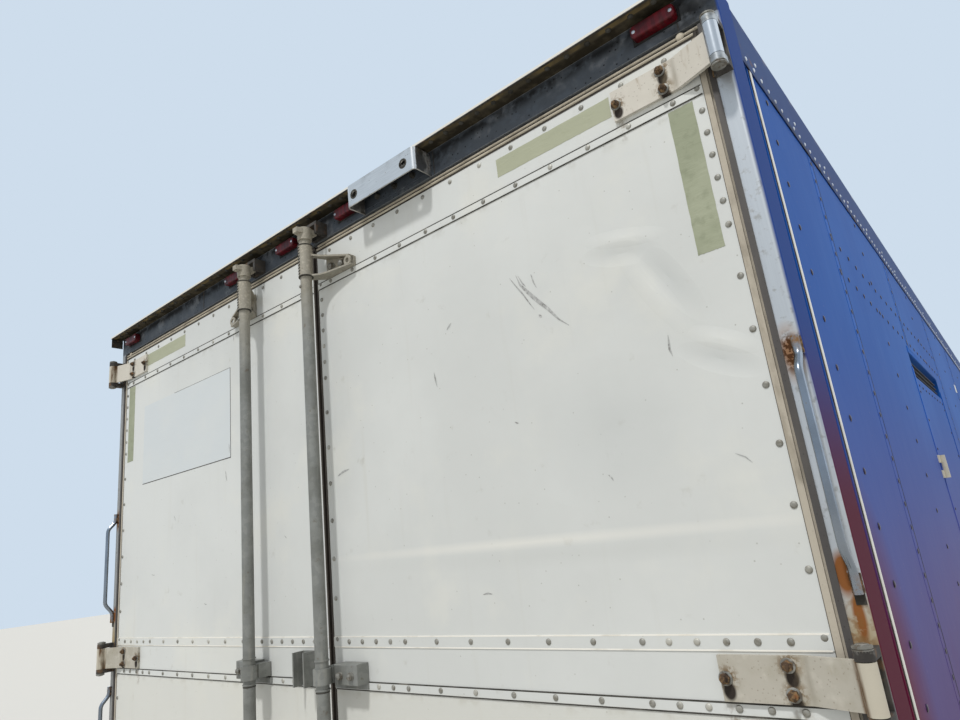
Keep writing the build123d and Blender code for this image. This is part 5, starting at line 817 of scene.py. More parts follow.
class TopRailPaint(Finish):
    """The wall's paint on the extruded top rail, thinner and darker, painted blue as a reflection of the sky."""

    # Paint on aluminium extrusion: dark blue as a painted sky reflection, worn to grey metal on the shoulder,
    # brown along its foot and near black at its lower edge as a painted shadow.
    colour = "#1E3870"
    roughness = 0.5
    specular = 0.04
    coat = 0.05
    coat_roughness = 0.2
    layers = (
        # Painted sky reflection: the blue base and cloud.
        cloud("#2B4578", 260, 0.4, 0.64, 0.7),
        cloud("#8B8993", 60, 0.5, 0.68, 0.7, roughness=0.6, where=(Zone(z=(3786, 3900), soft=10),)),
        # Painted shadow: near black along the rail's lower edge.
        cloud("#1E1412", 50, 0.36, 0.6, 0.85, where=(Zone(z=(3660, 3682), soft=9),)),
        cloud("#6B4A3A", 30, 0.58, 0.7, 0.6, where=(Zone(z=(3660, 3720), soft=20),)),
    )


class WhiteTrim(Finish):
    """White edge trim and small white fittings on the side."""

    # Powder coat, still bright, a little dirty at its lower end.
    colour = "#D9D7D0"
    roughness = 0.42
    layers = (
        cloud("#B3AEA2", 60, 0.5, 0.75, 0.6),
        speck("#6E675A", 12, 0.15, 0.05, 0.5),
    )


class PaintedRivet(Finish):
    """Rivets painted over with the wall, rubbed bright on some crowns."""

    # Darker than the sheet at their skirt, with a glint on top.
    colour = "#241A35"
    roughness = 0.3
    metallic = 0.1
    specular = 0.2
    layers = (
        cloud("#1C0F18", 14, 0.42, 0.62, 0.7),
        cloud("#7F6F80", 120, 0.6, 0.7, 0.7),
    )


class BrightRivet(Finish):
    """Bare aluminium rivets along the top rail."""

    # Small bright domes that catch the light one after another.
    colour = "#C3C6CC"
    roughness = 0.3
    metallic = 0.9
    layers = (
        cloud("#8A8A8F", 40, 0.45, 0.7, 0.6, roughness=0.45),
    )


class MillAluminium(Finish):
    """Mill-finish aluminium of the bottom rails, cap strips and roof."""

    # Extruded metal, oxidised matt: pale grey with drawn lines along its length and dust.
    colour = "#B4B7B8"
    roughness = 0.45
    metallic = 0.85
    layers = (
        cloud("#9DA0A1", 4, 0.35, 0.65, 0.4, stretch=(1, 0.03, 1), roughness=0.52),
        cloud("#8C8E8D", 240, 0.42, 0.66, 0.6, metallic=0.5),
        cloud("#6B665C", 50, 0.55, 0.76, 0.5, metallic=0.0, roughness=0.75),
    )


class HardwoodDeck(Finish):
    """Oiled hardwood floor boards, laminated and worn by forklifts."""

    # Brown laminated strips about 35 mm wide with long grain, black rubber marks and pale splinters.
    colour = "#7A5634"
    roughness = 0.6
    layers = (
        Layer(Pattern.CELL, "#93703F", 35, 0.2, 0.8, 0.7, stretch=(1, 0.03, 1)),
        cloud("#5A3B20", 8, 0.45, 0.65, 0.7, stretch=(1, 0.04, 1), depth=0.3),
        cloud("#2B2119", 300, 0.55, 0.75, 0.6),
    )


class ChassisEnamel(Finish):
    """Black brushed chassis enamel under a film of road dust."""

    # Thick black paint: soft shine on edges, brown-grey dust on top and rust where it has chipped.
    colour = "#26262A"
    roughness = 0.5
    specular = 0.4
    layers = (
        cloud("#3F3A34", 160, 0.42, 0.66, 0.75, roughness=0.7),
        cloud("#6B6152", 60, 0.52, 0.76, 0.5, roughness=0.85),
        cloud("#6F3F1E", 26, 0.6, 0.7, 0.8, roughness=0.9, depth=0.3),
        even("#6A6257", 0.4, facing=(0, 0, 1), roughness=0.8),
    )


class SpringScale(Finish):
    """Forged spring leaves, scaled and rusty between the packs."""

    # Rolled steel with a brown skin and dark joints.
    colour = "#3A2C24"
    roughness = 0.75
    metallic = 0.2
    layers = (
        cloud("#6B4326", 30, 0.45, 0.68, 0.7, depth=0.3),
        cloud("#1F1B19", 12, 0.5, 0.66, 0.6),
        Layer(Pattern.WEAVE, "#150F0C", 100, 0.86, 0.98, 0.8, stretch=(0, 0, 1)),
    )


class DustyCanister(Finish):
    """Sprayed steel of the brake chambers and air tanks."""

    # Satin grey-black spray with dust on its upper half and chips to primer.
    colour = "#34353A"
    roughness = 0.42
    layers = (
        cloud("#4B4A48", 90, 0.42, 0.66, 0.7),
        even("#7A7062", 0.55, facing=(0, 0, 1), roughness=0.85),
        cloud("#7C4A28", 16, 0.62, 0.72, 0.8, roughness=0.9),
    )


class FlapRubber(Finish):
    """Moulded rubber of the mud flaps and dock bumpers; the same black strip in the gap beside each rear post is
    painted shade.
    """

    # Matt black with dried splashes from the wheels and a fine pebble grain, drawn at 6 mm to show.
    colour = "#1F1F20"
    roughness = 0.85
    specular = 0.3
    layers = (
        cloud("#2C2B2A", 6, 0.4, 0.6, 0.6, depth=0.4),
        cloud("#5B544A", 80, 0.5, 0.72, 0.6, stretch=(1, 1, 0.5)),
        speck("#756C5E", 26, 0.22, 0.08, 0.6),
    )


class TyreRubber(Finish):
    """Tyre rubber, browned on the side walls and scrubbed grey on the tread."""

    # Carbon-black rubber: dull, a little brown from age, with dust caught in the moulded rings.
    colour = "#242322"
    roughness = 0.8
    specular = 0.35
    layers = (
        cloud("#343230", 70, 0.4, 0.66, 0.7),
        cloud("#5F564A", 160, 0.5, 0.74, 0.5, roughness=0.92),
        cloud("#161514", 5, 0.5, 0.7, 0.5, depth=0.2),
        even("#6E6556", 0.35, where=(Zone(z=(-10, 60), soft=60),)),
    )


class WheelEnamel(Finish):
    """White enamel on the steel disc wheels, brake-dusted."""

    # Dipped white paint, brown with brake dust round the hand holes and rusty at the lip.
    colour = "#C9C8C2"
    roughness = 0.45
    layers = (
        cloud("#9C958A", 90, 0.4, 0.66, 0.75),
        cloud("#6E5A46", 24, 0.55, 0.72, 0.75, roughness=0.8),
        cloud("#6F3D1C", 14, 0.64, 0.72, 0.9, roughness=0.9, depth=0.2),
    )


class CastHubIron(Finish):
    """Cast iron of the hubs and drums with flash rust."""

    # Sand-cast skin: a fine grain, dark brown, brighter where oil has crept out.
    colour = "#4A3A30"
    roughness = 0.7
    metallic = 0.4
    layers = (
        cloud("#7A4A2A", 30, 0.45, 0.66, 0.7),
        cloud("#221C18", 50, 0.5, 0.7, 0.7, roughness=0.45),
        cloud("", 5, 0.3, 0.7, 1.0, depth=0.35),
    )


class NutSteel(Finish):
    """Turned wheel nuts and chassis bolts."""

    # Bright zinc gone patchy, rust in the corners.
    colour = "#8B8880"
    roughness = 0.45
    metallic = 0.8
    layers = (
        cloud("#6A4526", 12, 0.48, 0.64, 0.8, metallic=0.0, roughness=0.85),
    )


class LegEnamel(Finish):
    """Grey-black enamel on the landing legs, greasy at the slide."""

    # Dark spray over square tube, with rust on the feet and a wet look where grease sits.
    colour = "#303136"
    roughness = 0.5
    layers = (
        cloud("#48443D", 110, 0.42, 0.68, 0.7, roughness=0.7),
        cloud("#7A4826", 40, 0.42, 0.62, 0.85, roughness=0.9, where=(Zone(z=(-20, 70), soft=60),)),
        even("#1A1714", 0.7, roughness=0.2, where=(Zone(z=(330, 425), soft=30),)),
        cloud("#70401F", 18, 0.62, 0.72, 0.8, roughness=0.9),
    )


class GreasedForging(Finish):
    """Forged and greased steel of the coupling pin."""

    # Dark metal with a wet film of grease.
    colour = "#5D5A55"
    roughness = 0.35
    metallic = 0.9
    layers = (
        cloud("#1D1915", 24, 0.42, 0.6, 0.9, metallic=0.1, roughness=0.22),
    )


class CastCoupling(Finish):
    """Die-cast housings of the air and light connectors."""

    # Grey casting with a grained skin.
    colour = "#46474B"
    roughness = 0.55
    metallic = 0.3
    layers = (
        cloud("#6A6A68", 22, 0.48, 0.68, 0.7, depth=0.15),
        cloud("#2A2724", 60, 0.5, 0.7, 0.6),
    )


def linked(name: str, data: bpy.types.ID) -> bpy.types.Object:
    """Make an object of its data and put it in the scene."""
    made = bpy.data.objects.new(name, data)
    bpy.context.scene.collection.objects.link(made)
    return made


@dataclass
class Form:
    """Points in millimetres and the faces between them, to become one mesh piece."""

    points: list[Triple] = field(default_factory=list)
    faces: list[tuple[int, ...]] = field(default_factory=list)

    def add(self, points: Iterable[Sequence[float]], faces: Iterable[Sequence[int]]) -> "Form":
        """Append points and faces.

        Args:
            points: New points.
            faces: Faces that count from the first new point.

        Returns:
            The form itself.
        """
        start = len(self.points)
        self.points.extend(tuple(p) for p in points)
        self.faces.extend(tuple(start + i for i in face) for face in faces)
        return self

    def place(self, other: "Form", *places: Matrix) -> "Form":
        """Append a copy of another form at each place.

        Args:
            other: The form to copy.
            places: Where the copies go; with none, one copy goes where the form is.

        Returns:
            The form itself.
        """
        source = [Vector(p) for p in other.points]
        for where in places or (Matrix.Identity(4),):
            self.add([tuple(where @ p) for p in source], other.faces)
        return self

    def piece(
        self, name: str, finish: Finish, slot: str, body: str = "trailer", sharp: float = 40.0
    ) -> bpy.types.Object:
        """Make the mesh object and let it ride on its body.

        Args:
            name: The piece's name.
            finish: Its finish.
            slot: The record's material slot; not used.
            body: The body that it moves with.
            sharp: Edges turned by more than this many degrees stay sharp.

        Returns:
            The object.
        """
        mesh = bpy.data.meshes.new(name)
        mesh.from_pydata([[v / 1000 for v in p] for p in self.points], [], self.faces)
        mesh.validate()
        mesh.polygons.foreach_set("use_smooth", [True] * len(mesh.polygons))
        mesh.set_sharp_from_angle(angle=math.radians(sharp))
        mesh.materials.append(finish.material())
        made = linked(name, mesh)
        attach(made, body)
        LOG.info("%s: %d faces on %s", name, len(mesh.polygons), body)
        return made


def stand(at: Sequence[float], way: Way, turn: float = 0.0) -> Matrix:
    """Stand a form that is built up from the origin at a point, out along a way, turned by degrees."""
    axes = Matrix(way.value).transposed().to_4x4()
    return Matrix.Translation(Vector(at)) @ axes @ Matrix.Rotation(math.radians(turn), 4, "Z")


def behind(x: float, z: float, out: float = 0.0, turn: float = 0.0) -> Matrix:
    """Stand a form on the rear face, or some way out from it."""
    return stand((x, REAR - out, z), Way.REAR, turn)


def circle(radius: float, steps: int) -> list[Pair]:
    """Give evenly spaced points round the origin."""
    return [(radius * math.cos(math.tau * s / steps), radius * math.sin(math.tau * s / steps))
            for s in range(steps)]


def skin(rings: int, count: int) -> list[tuple[int, ...]]:
    """Give the faces between rings of points that follow one another, each with this count.

    Args:
        rings: How many rings there are.
        count: How many points go round each.

    Returns:
        Four-sided faces.
    """
    corners = ((0, 0), (0, 1), (1, 1), (1, 0))
    return [
        tuple((ring + up) * count + (s + on) % count for up, on in corners)
        for ring in range(rings - 1) for s in range(count)
    ]


def lathe(profile: Sequence[Pair], steps: int) -> Form:
    """Turn a profile about the vertical axis.

    Args:
        profile: Radius and height pairs from the outer foot to the middle.
        steps: How many points go round.

    Returns:
        The turned form.
    """
    rings = [p for p in profile if p[0] > 0]
    points = [(x, y, height) for radius, height in rings for x, y in circle(radius, steps)]
    faces = skin(len(rings), steps)
    if profile[-1][0] == 0:
        points.append((0.0, 0.0, profile[-1][1]))
        last = (len(rings) - 1) * steps
        faces += [(last + s, last + (s + 1) % steps, len(points) - 1) for s in range(steps)]
    return Form().add(points, faces)


def prism(outline: Sequence[Pair], depth: float, bevel: float = 0.0) -> Form:
    """Raise a plate from a flat outline, with its upper edge broken.

    Args:
        outline: Corner points, anticlockwise seen from above.
        depth: The plate's height.
        bevel: How far the upper edge is cut back.

    Returns:
        The plate, open underneath.
    """
    count = len(outline)
    centre = (sum(p[0] for p in outline) / count, sum(p[1] for p in outline) / count)

    def inset(point: Pair) -> Pair:
        """Move a corner towards the middle by the bevel."""
        offset = Vector((centre[0] - point[0], centre[1] - point[1]))
        pull = min(1.0, 1.4 * bevel / max(offset.length, 1e-6))
        return point[0] + offset.x * pull, point[1] + offset.y * pull

    rings = [[(x, y, 0.0) for x, y in outline], [(x, y, depth - bevel) for x, y in outline]]
    if bevel:
        rings.append([(*inset(p), depth) for p in outline])
    points = [p for ring in rings for p in ring]
    faces = skin(len(rings), count)
    faces.append(tuple(range((len(rings) - 1) * count, len(rings) * count)))
    return Form().add(points, faces)


def slab(outline: Sequence[Pair], depth: float) -> Form:
    """Raise a plate that is closed on both faces.

    Args:
        outline: Corner points, anticlockwise seen from above.
        depth: The plate's thickness.

    Returns:
        The closed plate.
    """
    made = prism(outline, depth)
    made.faces.append(tuple(reversed(range(len(outline)))))
    return made


def rectangle(width: float, height: float) -> list[Pair]:
    """Give the corners of a rectangle round the origin, anticlockwise."""
    return [(-width / 2, -height / 2), (width / 2, -height / 2), (width / 2, height / 2), (-width / 2, height / 2)]


def plate(width: float, height: float, depth: float, bevel: float = 0.0) -> Form:
    """Raise a rectangular plate round the origin."""
    return prism(rectangle(width, height), depth, bevel)


def hexagon(across: float) -> list[Pair]:
    """Give the corners of a hexagon of a given width across its flats."""
    return circle(across / math.sqrt(3), 6)


def tube(path: Sequence[Sequence[float]], radius: float, steps: int = 10) -> Form:
    """Sweep a circle along a path of points.

    Args:
        path: The points, in order.
        radius: The tube's radius.
        steps: How many points go round.

    Returns:
        The tube, closed at both ends.
    """
    spine = [Vector(p) for p in path]
    points: list[Triple] = []
    side = None
    for number, point in enumerate(spine):
        along = (spine[min(number + 1, len(spine) - 1)] - spine[max(number - 1, 0)]).normalized()
        start = side if side is not None else Vector((0, 0, 1)) if abs(along.z) < 0.9 else Vector((1, 0, 0))
        side = (start - along * start.dot(along)).normalized()
        other = along.cross(side)
        points += [
            tuple(point + radius * (side * math.cos(angle) + other * math.sin(angle)))
            for angle in [math.tau * s / steps for s in range(steps)]
        ]
    faces = skin(len(spine), steps)
    faces += [tuple(reversed(range(steps))), tuple(range((len(spine) - 1) * steps, len(spine) * steps))]
    return Form().add(points, faces)


def bent(knees: Sequence[Sequence[float]], cut: float) -> list[Vector]:
    """Round the corners of a path.

    Args:
        knees: The path's corner points.
        cut: How far before and after each corner the bend starts and ends.

    Returns:
        The path's points with four to each bend.
    """
    corners = [Vector(k) for k in knees]
    path = [corners[0]]
    for before, corner, after in zip(corners, corners[1:], corners[2:]):
        start = corner + (before - corner).normalized() * cut
        end = corner + (after - corner).normalized() * cut
        path += [start.lerp(corner, t).lerp(corner.lerp(end, t), t) for t in (0.0, 0.33, 0.67, 1.0)]
    return path + [corners[-1]]


def stroke(points: Sequence[Pair], width: float, lift: float) -> Form:
    """Lay a thin tapered mark along flat points.

    Args:
        points: The mark's line, in the form's own x and y.
        width: Its widest width.
        lift: Its height above the surface.

    Returns:
        The mark as a narrow ribbon.
    """
    line = [Vector(p) for p in points]
    made: list[Triple] = []
    for number, point in enumerate(line):
        along = (line[min(number + 1, len(line) - 1)] - line[max(number - 1, 0)]).normalized()
        share = math.sin(math.pi * (number + 0.3) / (len(line) - 0.4))
        across = Vector((-along.y, along.x)) * (width / 2 * max(share, 0.15))
        made += [(point.x - across.x, point.y - across.y, lift), (point.x + across.x, point.y + across.y, lift)]
    faces = [(2 * i, 2 * i + 2, 2 * i + 3, 2 * i + 1) for i in range(len(line) - 1)]
    return Form().add(made, faces)


def rivet(radius: float, height: float, steps: int = 12) -> Form:
    """Make a domed rivet head."""
    shape = ((1.0, 0.0), (0.94, 0.45), (0.7, 0.8), (0.36, 0.97), (0.0, 1.0))
    return lathe([(share * radius, up * height) for share, up in shape], steps)


def hex_bolt(across: float, height: float, washer: float) -> Form:
    """Make a hexagon bolt head with a rounded crown on a washer.

    Args:
        across: The head's width across flats.
        height: The head's height.
        washer: The washer's radius.

    Returns:
        The bolt head, standing on its washer.
    """
    made = lathe([(washer, 0.0), (washer, 2.0), (washer - 1, 2.6), (across * 0.3, 2.6)], 20)
    made.place(prism(hexagon(across), height, height * 0.22), Matrix.Translation((0, 0, 2.4)))
    return made.place(lathe([(across * 0.36, 0), (across * 0.28, 1.2), (0, 1.8)], 12),
            Matrix.Translation((0, 0, height + 2.2)))


def steps_between(low: float, high: float, pitch: float) -> list[float]:
    """Give evenly spaced places from low to high, both included, near a wished pitch."""
    count = max(1, round((high - low) / pitch))
    return [low + (high - low) * number / count for number in range(count + 1)]


@dataclass
class CarriedParts:
    """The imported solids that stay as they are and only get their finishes."""

    finishes: dict[str, Finish] = field(default_factory=lambda: {
        "deck_wood": HardwoodDeck(), "chassis_black": ChassisEnamel(), "rail_aluminium": MillAluminium(),
        "top_rail_paint": TopRailPaint(), "side_paint": PlumPaintAndSkyReflection(), "roof_aluminium": MillAluminium(),
        "stainless": WeatheredStainlessAndPaintedLight(), "lamp_red": RedLens(), "lamp_amber": AmberLens(),
        "galvanised": DullGalvanising(), "hinge_paint": StainedHingePaintAndBoltShadows(), "spring_steel": SpringScale(),
        "brake_grey": DustyCanister(), "flap_rubber": FlapRubber(), "leg_paint": LegEnamel(),
        "forged_steel": GreasedForging(), "connector_plastic": CastCoupling(), "door_white": ChalkedDoorEnamelAndPaintedLight(),
        "seal_rubber": SunFadedSeal(), "tyre_rubber": TyreRubber(), "rim_white": WheelEnamel(),
        "hub_iron": CastHubIron(),
    })
    own: dict[str, Finish] = field(default_factory=lambda: {
        # The hinge butts and cam keepers are painted near black as the shade behind the barrels and cams.
        "header_guard": BrushedGuardSteel(), "hinge_butts": GrimeAndShadeSteel(), "cam_keepers": GrimeAndShadeSteel(),
    })

    def dress(self) -> None:
        """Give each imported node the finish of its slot, or its own."""
        for row in frame["record"]["subparts"]:
            name = row["node"]
            finish = self.own.get(name) or self.finishes[row["material_slot"]]
            slots = frame["nodes"][name].data.materials
            if not slots:
                slots.append(finish.material())
            for place in range(len(slots)):
                slots[place] = finish.material()
            LOG.info("%s: %s", name, type(finish).__name__)


@dataclass
class DoorDressing:
    """Rivets, strip joints, tapes and marks on one rear door."""

    side: str
    hand: int
    rivet_radius: float = 6.2
    rivet_height: float = 2.9
    edge_inset: float = 10.0
    head_inset: float = 13.0
    row_inset: float = 60.0
    close_pitch: float = 50.0
    wide_pitch: float = 100.0
    close_rivets: float = 300.0
    strips: tuple[Pair, ...] = ((3578, 3597), (2593, 2617), (2495, 2514), (1501, 1525), (1403, 1422))
    pale_edges: tuple[float, ...] = (2593, 2617, 1501, 1525)
    tape_width: float = 50.0
    tape_length: float = 305.0
    tape_points: int = 24

    def __post_init__(self) -> None:
        """Read the door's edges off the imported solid."""
        low, high = extent(f"{self.side}_rear_door")
        self.low_x, self.high_x = low.x, high.x
        self.body = f"{self.side}_door"

    def build(self) -> None:
        """Build and dress everything on the door's outer face."""
        self.rivets()
        self.strip_joints()
        self.seal_bead()
        self.tapes()
        self.marks()
        self.lining()

    def rivets(self) -> None:
        """Set the rivets along the edges, the top and the strips."""
        dome = rivet(self.rivet_radius, self.rivet_height)
        near, far = (self.low_x, self.high_x) if self.hand > 0 else (self.high_x, self.low_x)
        head, foot = DOOR_TOP - self.head_inset, DOOR_LOW + self.head_inset
        row_low, row_high = self.low_x + self.row_inset, self.high_x - self.row_inset
        places: list[Triple] = []
        for x in (near + self.hand * self.head_inset, far - self.hand * self.edge_inset):
            column = steps_between(3306, head, self.close_pitch)[:-1] + steps_between(foot, 3206, self.wide_pitch)
            places += [(x, REAR, z) for z in column]
        for z in (head, foot):
            places += [(x, REAR, z) for x in steps_between(row_low, row_high, self.wide_pitch)]
        for low, high in self.strips:
            middle = (low + high) / 2 + 1
            ends = steps_between(row_low, row_high, self.close_pitch if high < 3000 else self.wide_pitch)
            row = [
                x for n, x in enumerate(ends)
                if high > 3000 or n % 2 == 0 or min(x - self.low_x, self.high_x - x) < self.close_rivets
            ]
            places += [(x, REAR - 1.5, middle) for x in row]
        kept = [p for p in places if not self.covered(p)]
        chance = random.Random(5 + self.hand)
        form = Form().place(dome, *[stand(p, Way.REAR, chance.uniform(0, 60)) for p in kept])
        form.piece(f"{self.side}_door_rivets", AluminiumRivet(), "door_white", self.body)

    def covered(self, point: Triple) -> bool:
        """Tell whether a fitting lies over a place on the door."""
        x, _, z = point
        on_hinge = abs(x) > 1048 and any(abs(z - height) < 40 for height in HINGES)
        past_rod = (x - ROD_X[self.hand]) * self.hand
        on_rod = -30 < past_rod < 178 and any(abs(z - height) < 44 for height, _ in BRACKETS)
        on_guide = -28 < past_rod < 110 and any(abs(z - height) < 44 for height in GUIDES)
        on_channel = self.hand < 0 and abs(x + 60) < 32 and abs(z - 2542) < 48
        return on_hinge or on_rod or on_guide or on_channel

    def strip_joints(self) -> None:
        """Lay the thin sealant and dirt lines along each strip's two edges."""
        pale, dark = Form(), Form()
        width = self.high_x - self.low_x
        for low, high in self.strips:
            for z in (low, high):
                line = pale if z in self.pale_edges else dark
                line.place(plate(width - 4, 2.6, 1.7, 0.5), behind((self.low_x + self.high_x) / 2, z))
        pale.piece(f"{self.side}_door_pale_joints", SealantLine(), "door_white", self.body)
        dark.piece(f"{self.side}_door_dark_joints", DirtAndShadeLine(), "seal_rubber", self.body)

    def seal_bead(self) -> None:
        """Run pale beads over and under the door's rubber, and the dark flap down its side."""
        near = (self.low_x if self.hand > 0 else self.high_x) + self.hand * 3
        bead, flap = Form(), Form()
        edge = abs(self.high_x if self.hand > 0 else self.low_x)
        for out, sunk, radius in ((7.5, -1.0, 3.0), (21.0, 4.0, 3.2)):
            outer = self.hand * (edge + out - 1.5)
            for z in (DOOR_TOP + out, DOOR_LOW - out * 0.66):
                bead.place(tube([(near, REAR + sunk, z), (outer, REAR + sunk, z)], radius, 8))
        bead.place(rivet(9, 5, 14), behind(self.hand * 1214, DOOR_TOP + 20, -2.5))
        flap.place(plate(11, DOOR_TOP - DOOR_LOW + 34, 2.2, 0.6),
                   behind(self.hand * (edge + 22.5), (DOOR_TOP + DOOR_LOW) / 2 + 6, 0.2))
        bead.piece(f"{self.side}_door_seal_beads", PaleSealBead(), "seal_rubber", self.body)
        flap.piece(f"{self.side}_door_seal_flap", SealFlap(), "seal_rubber", self.body)

    def tapes(self) -> None:
        """Stick the two faded tapes near the door's upper outer corner."""
        chance = random.Random(11 + self.hand)
        form = Form()
        across = (740 + 1045) / 2 if self.hand > 0 else (-1056 - 757) / 2
        level, upright = (across, 3653.5, self.tape_length, 47.0), (self.hand * 1185, 3421, self.tape_width,
                self.tape_length)
        for x, z, wide, tall in (level, upright):
            outline: list[Pair] = []
            corners = rectangle(wide, tall)
            for a, b in zip(corners, corners[1:] + corners[:1]):
                for n in range(self.tape_points):
                    t = n / self.tape_points
                    rough = chance.uniform(-0.5, 0.5)
                    outline.append((a[0] + (b[0] - a[0]) * t + rough, a[1] + (b[1] - a[1]) * t + rough))
            form.place(prism(outline, 0.5), behind(x, z))
        form.piece(f"{self.side}_door_tapes", FadedTape(), "door_white", self.body)

    def marks(self) -> None:
        """Lay the scratches and scuffs, and the blank film patch on the left door."""
        if self.hand > 0:
            lines = (
                ((735, 3374), (748, 3352), (766, 3324), (780, 3298), (795, 3273), 3.4),
                ((753, 3374), (761, 3349), (779, 3325), (799, 3300), (824, 3272), (847, 3241), (880, 3211), 8.5),
                ((758, 3372), (768, 3350), (780, 3334), 3.0), ((793, 3363), (797, 3343), (806, 3320), 3.6),
                ((799, 3266), (803, 3261), (808, 3256), 6.0), ((478, 3218), (481, 3195), (486, 3171), 4.4),
                ((1074, 3139), (1072, 3112), (1077, 3090), 4.5),
                ((93, 3023), (120, 3032), (153, 3035), 6.0), ((533, 3310), (543, 3319), (552, 3325), 5.4),
                ((560, 2700), (575, 2702), (592, 2699), 3.5), ((905, 2905), (911, 2898), (915, 2890), 3.0),
                ((700, 3050), (706, 3046), (712, 3045), 2.5), ((1150, 2905), (1166, 2896), (1180, 2880), 2.2),
            )
        else:
            lines = (
                ((-610, 2720), (-600, 2716), (-588, 2717), 3.0), ((-820, 3020), (-812, 3010), (-806, 2996), 2.4),
                ((-477, 3124), (-473, 3104), (-468, 3084), 4.6), ((-422, 3576), (-421, 3561), (-422, 3547), 3.0),
                ((-455, 3212), (-453, 3192), (-454, 3172), 4.0),
                ((-160, 2890), (-152, 2884), (-146, 2880), 3.0), ((-980, 2830), (-962, 2826), (-950, 2828), 2.4),
            )
            width, height, x, z = 626.0, 303.0, -758.0, 3315.5
            patch = Form().place(plate(width, height, 0.35), behind(x, z))
            patch.piece("left_door_film_patch", DecalFilm(), "door_white", self.body)
            rim = Form()
            for dx, dz, wide, tall in ((0, -height / 2, width, 2.4), (width / 2, 0, 2.0, height),
                    (120, height / 2, width - 240, 1.0)):
                rim.place(plate(wide, tall, 0.6), behind(x + dx, z + dz))
            rim.piece("left_door_patch_rim", DirtAndShadeLine(), "door_white", self.body)
        form = Form()
        flat = behind(0, 0)
        turn_back = flat.inverted()
        for *line, width in lines:
            dense: list[Pair] = []
            for (x0, z0), (x1, z1) in zip(line, line[1:]):
                for t in (0.0, 0.34, 0.67):
                    local = turn_back @ Vector((x0 + (x1 - x0) * t, REAR, z0 + (z1 - z0) * t))
                    dense.append((local.x, local.y))
            form.place(stroke(dense, width, 0.4), flat)
        form.piece(f"{self.side}_door_scuffs", Scuff(), "door_white", self.body)

    def lining(self) -> None:
        """Fit the screws that hold the lining on the door's inner face."""
        inside = extent(f"{self.side}_rear_door")[1].y - 6
        screw = rivet(6, 2, 8)
        places = [
            stand((x, inside, z), Way.FRONT)
            for x in steps_between(self.low_x + 100, self.high_x - 100, 300)
            for z in steps_between(DOOR_LOW + 100, DOOR_TOP - 100, 300)
        ]
        Form().place(screw, *places).piece(f"{self.side}_door_lining_screws", BrightRivet(), "rail_aluminium",
                self.body)


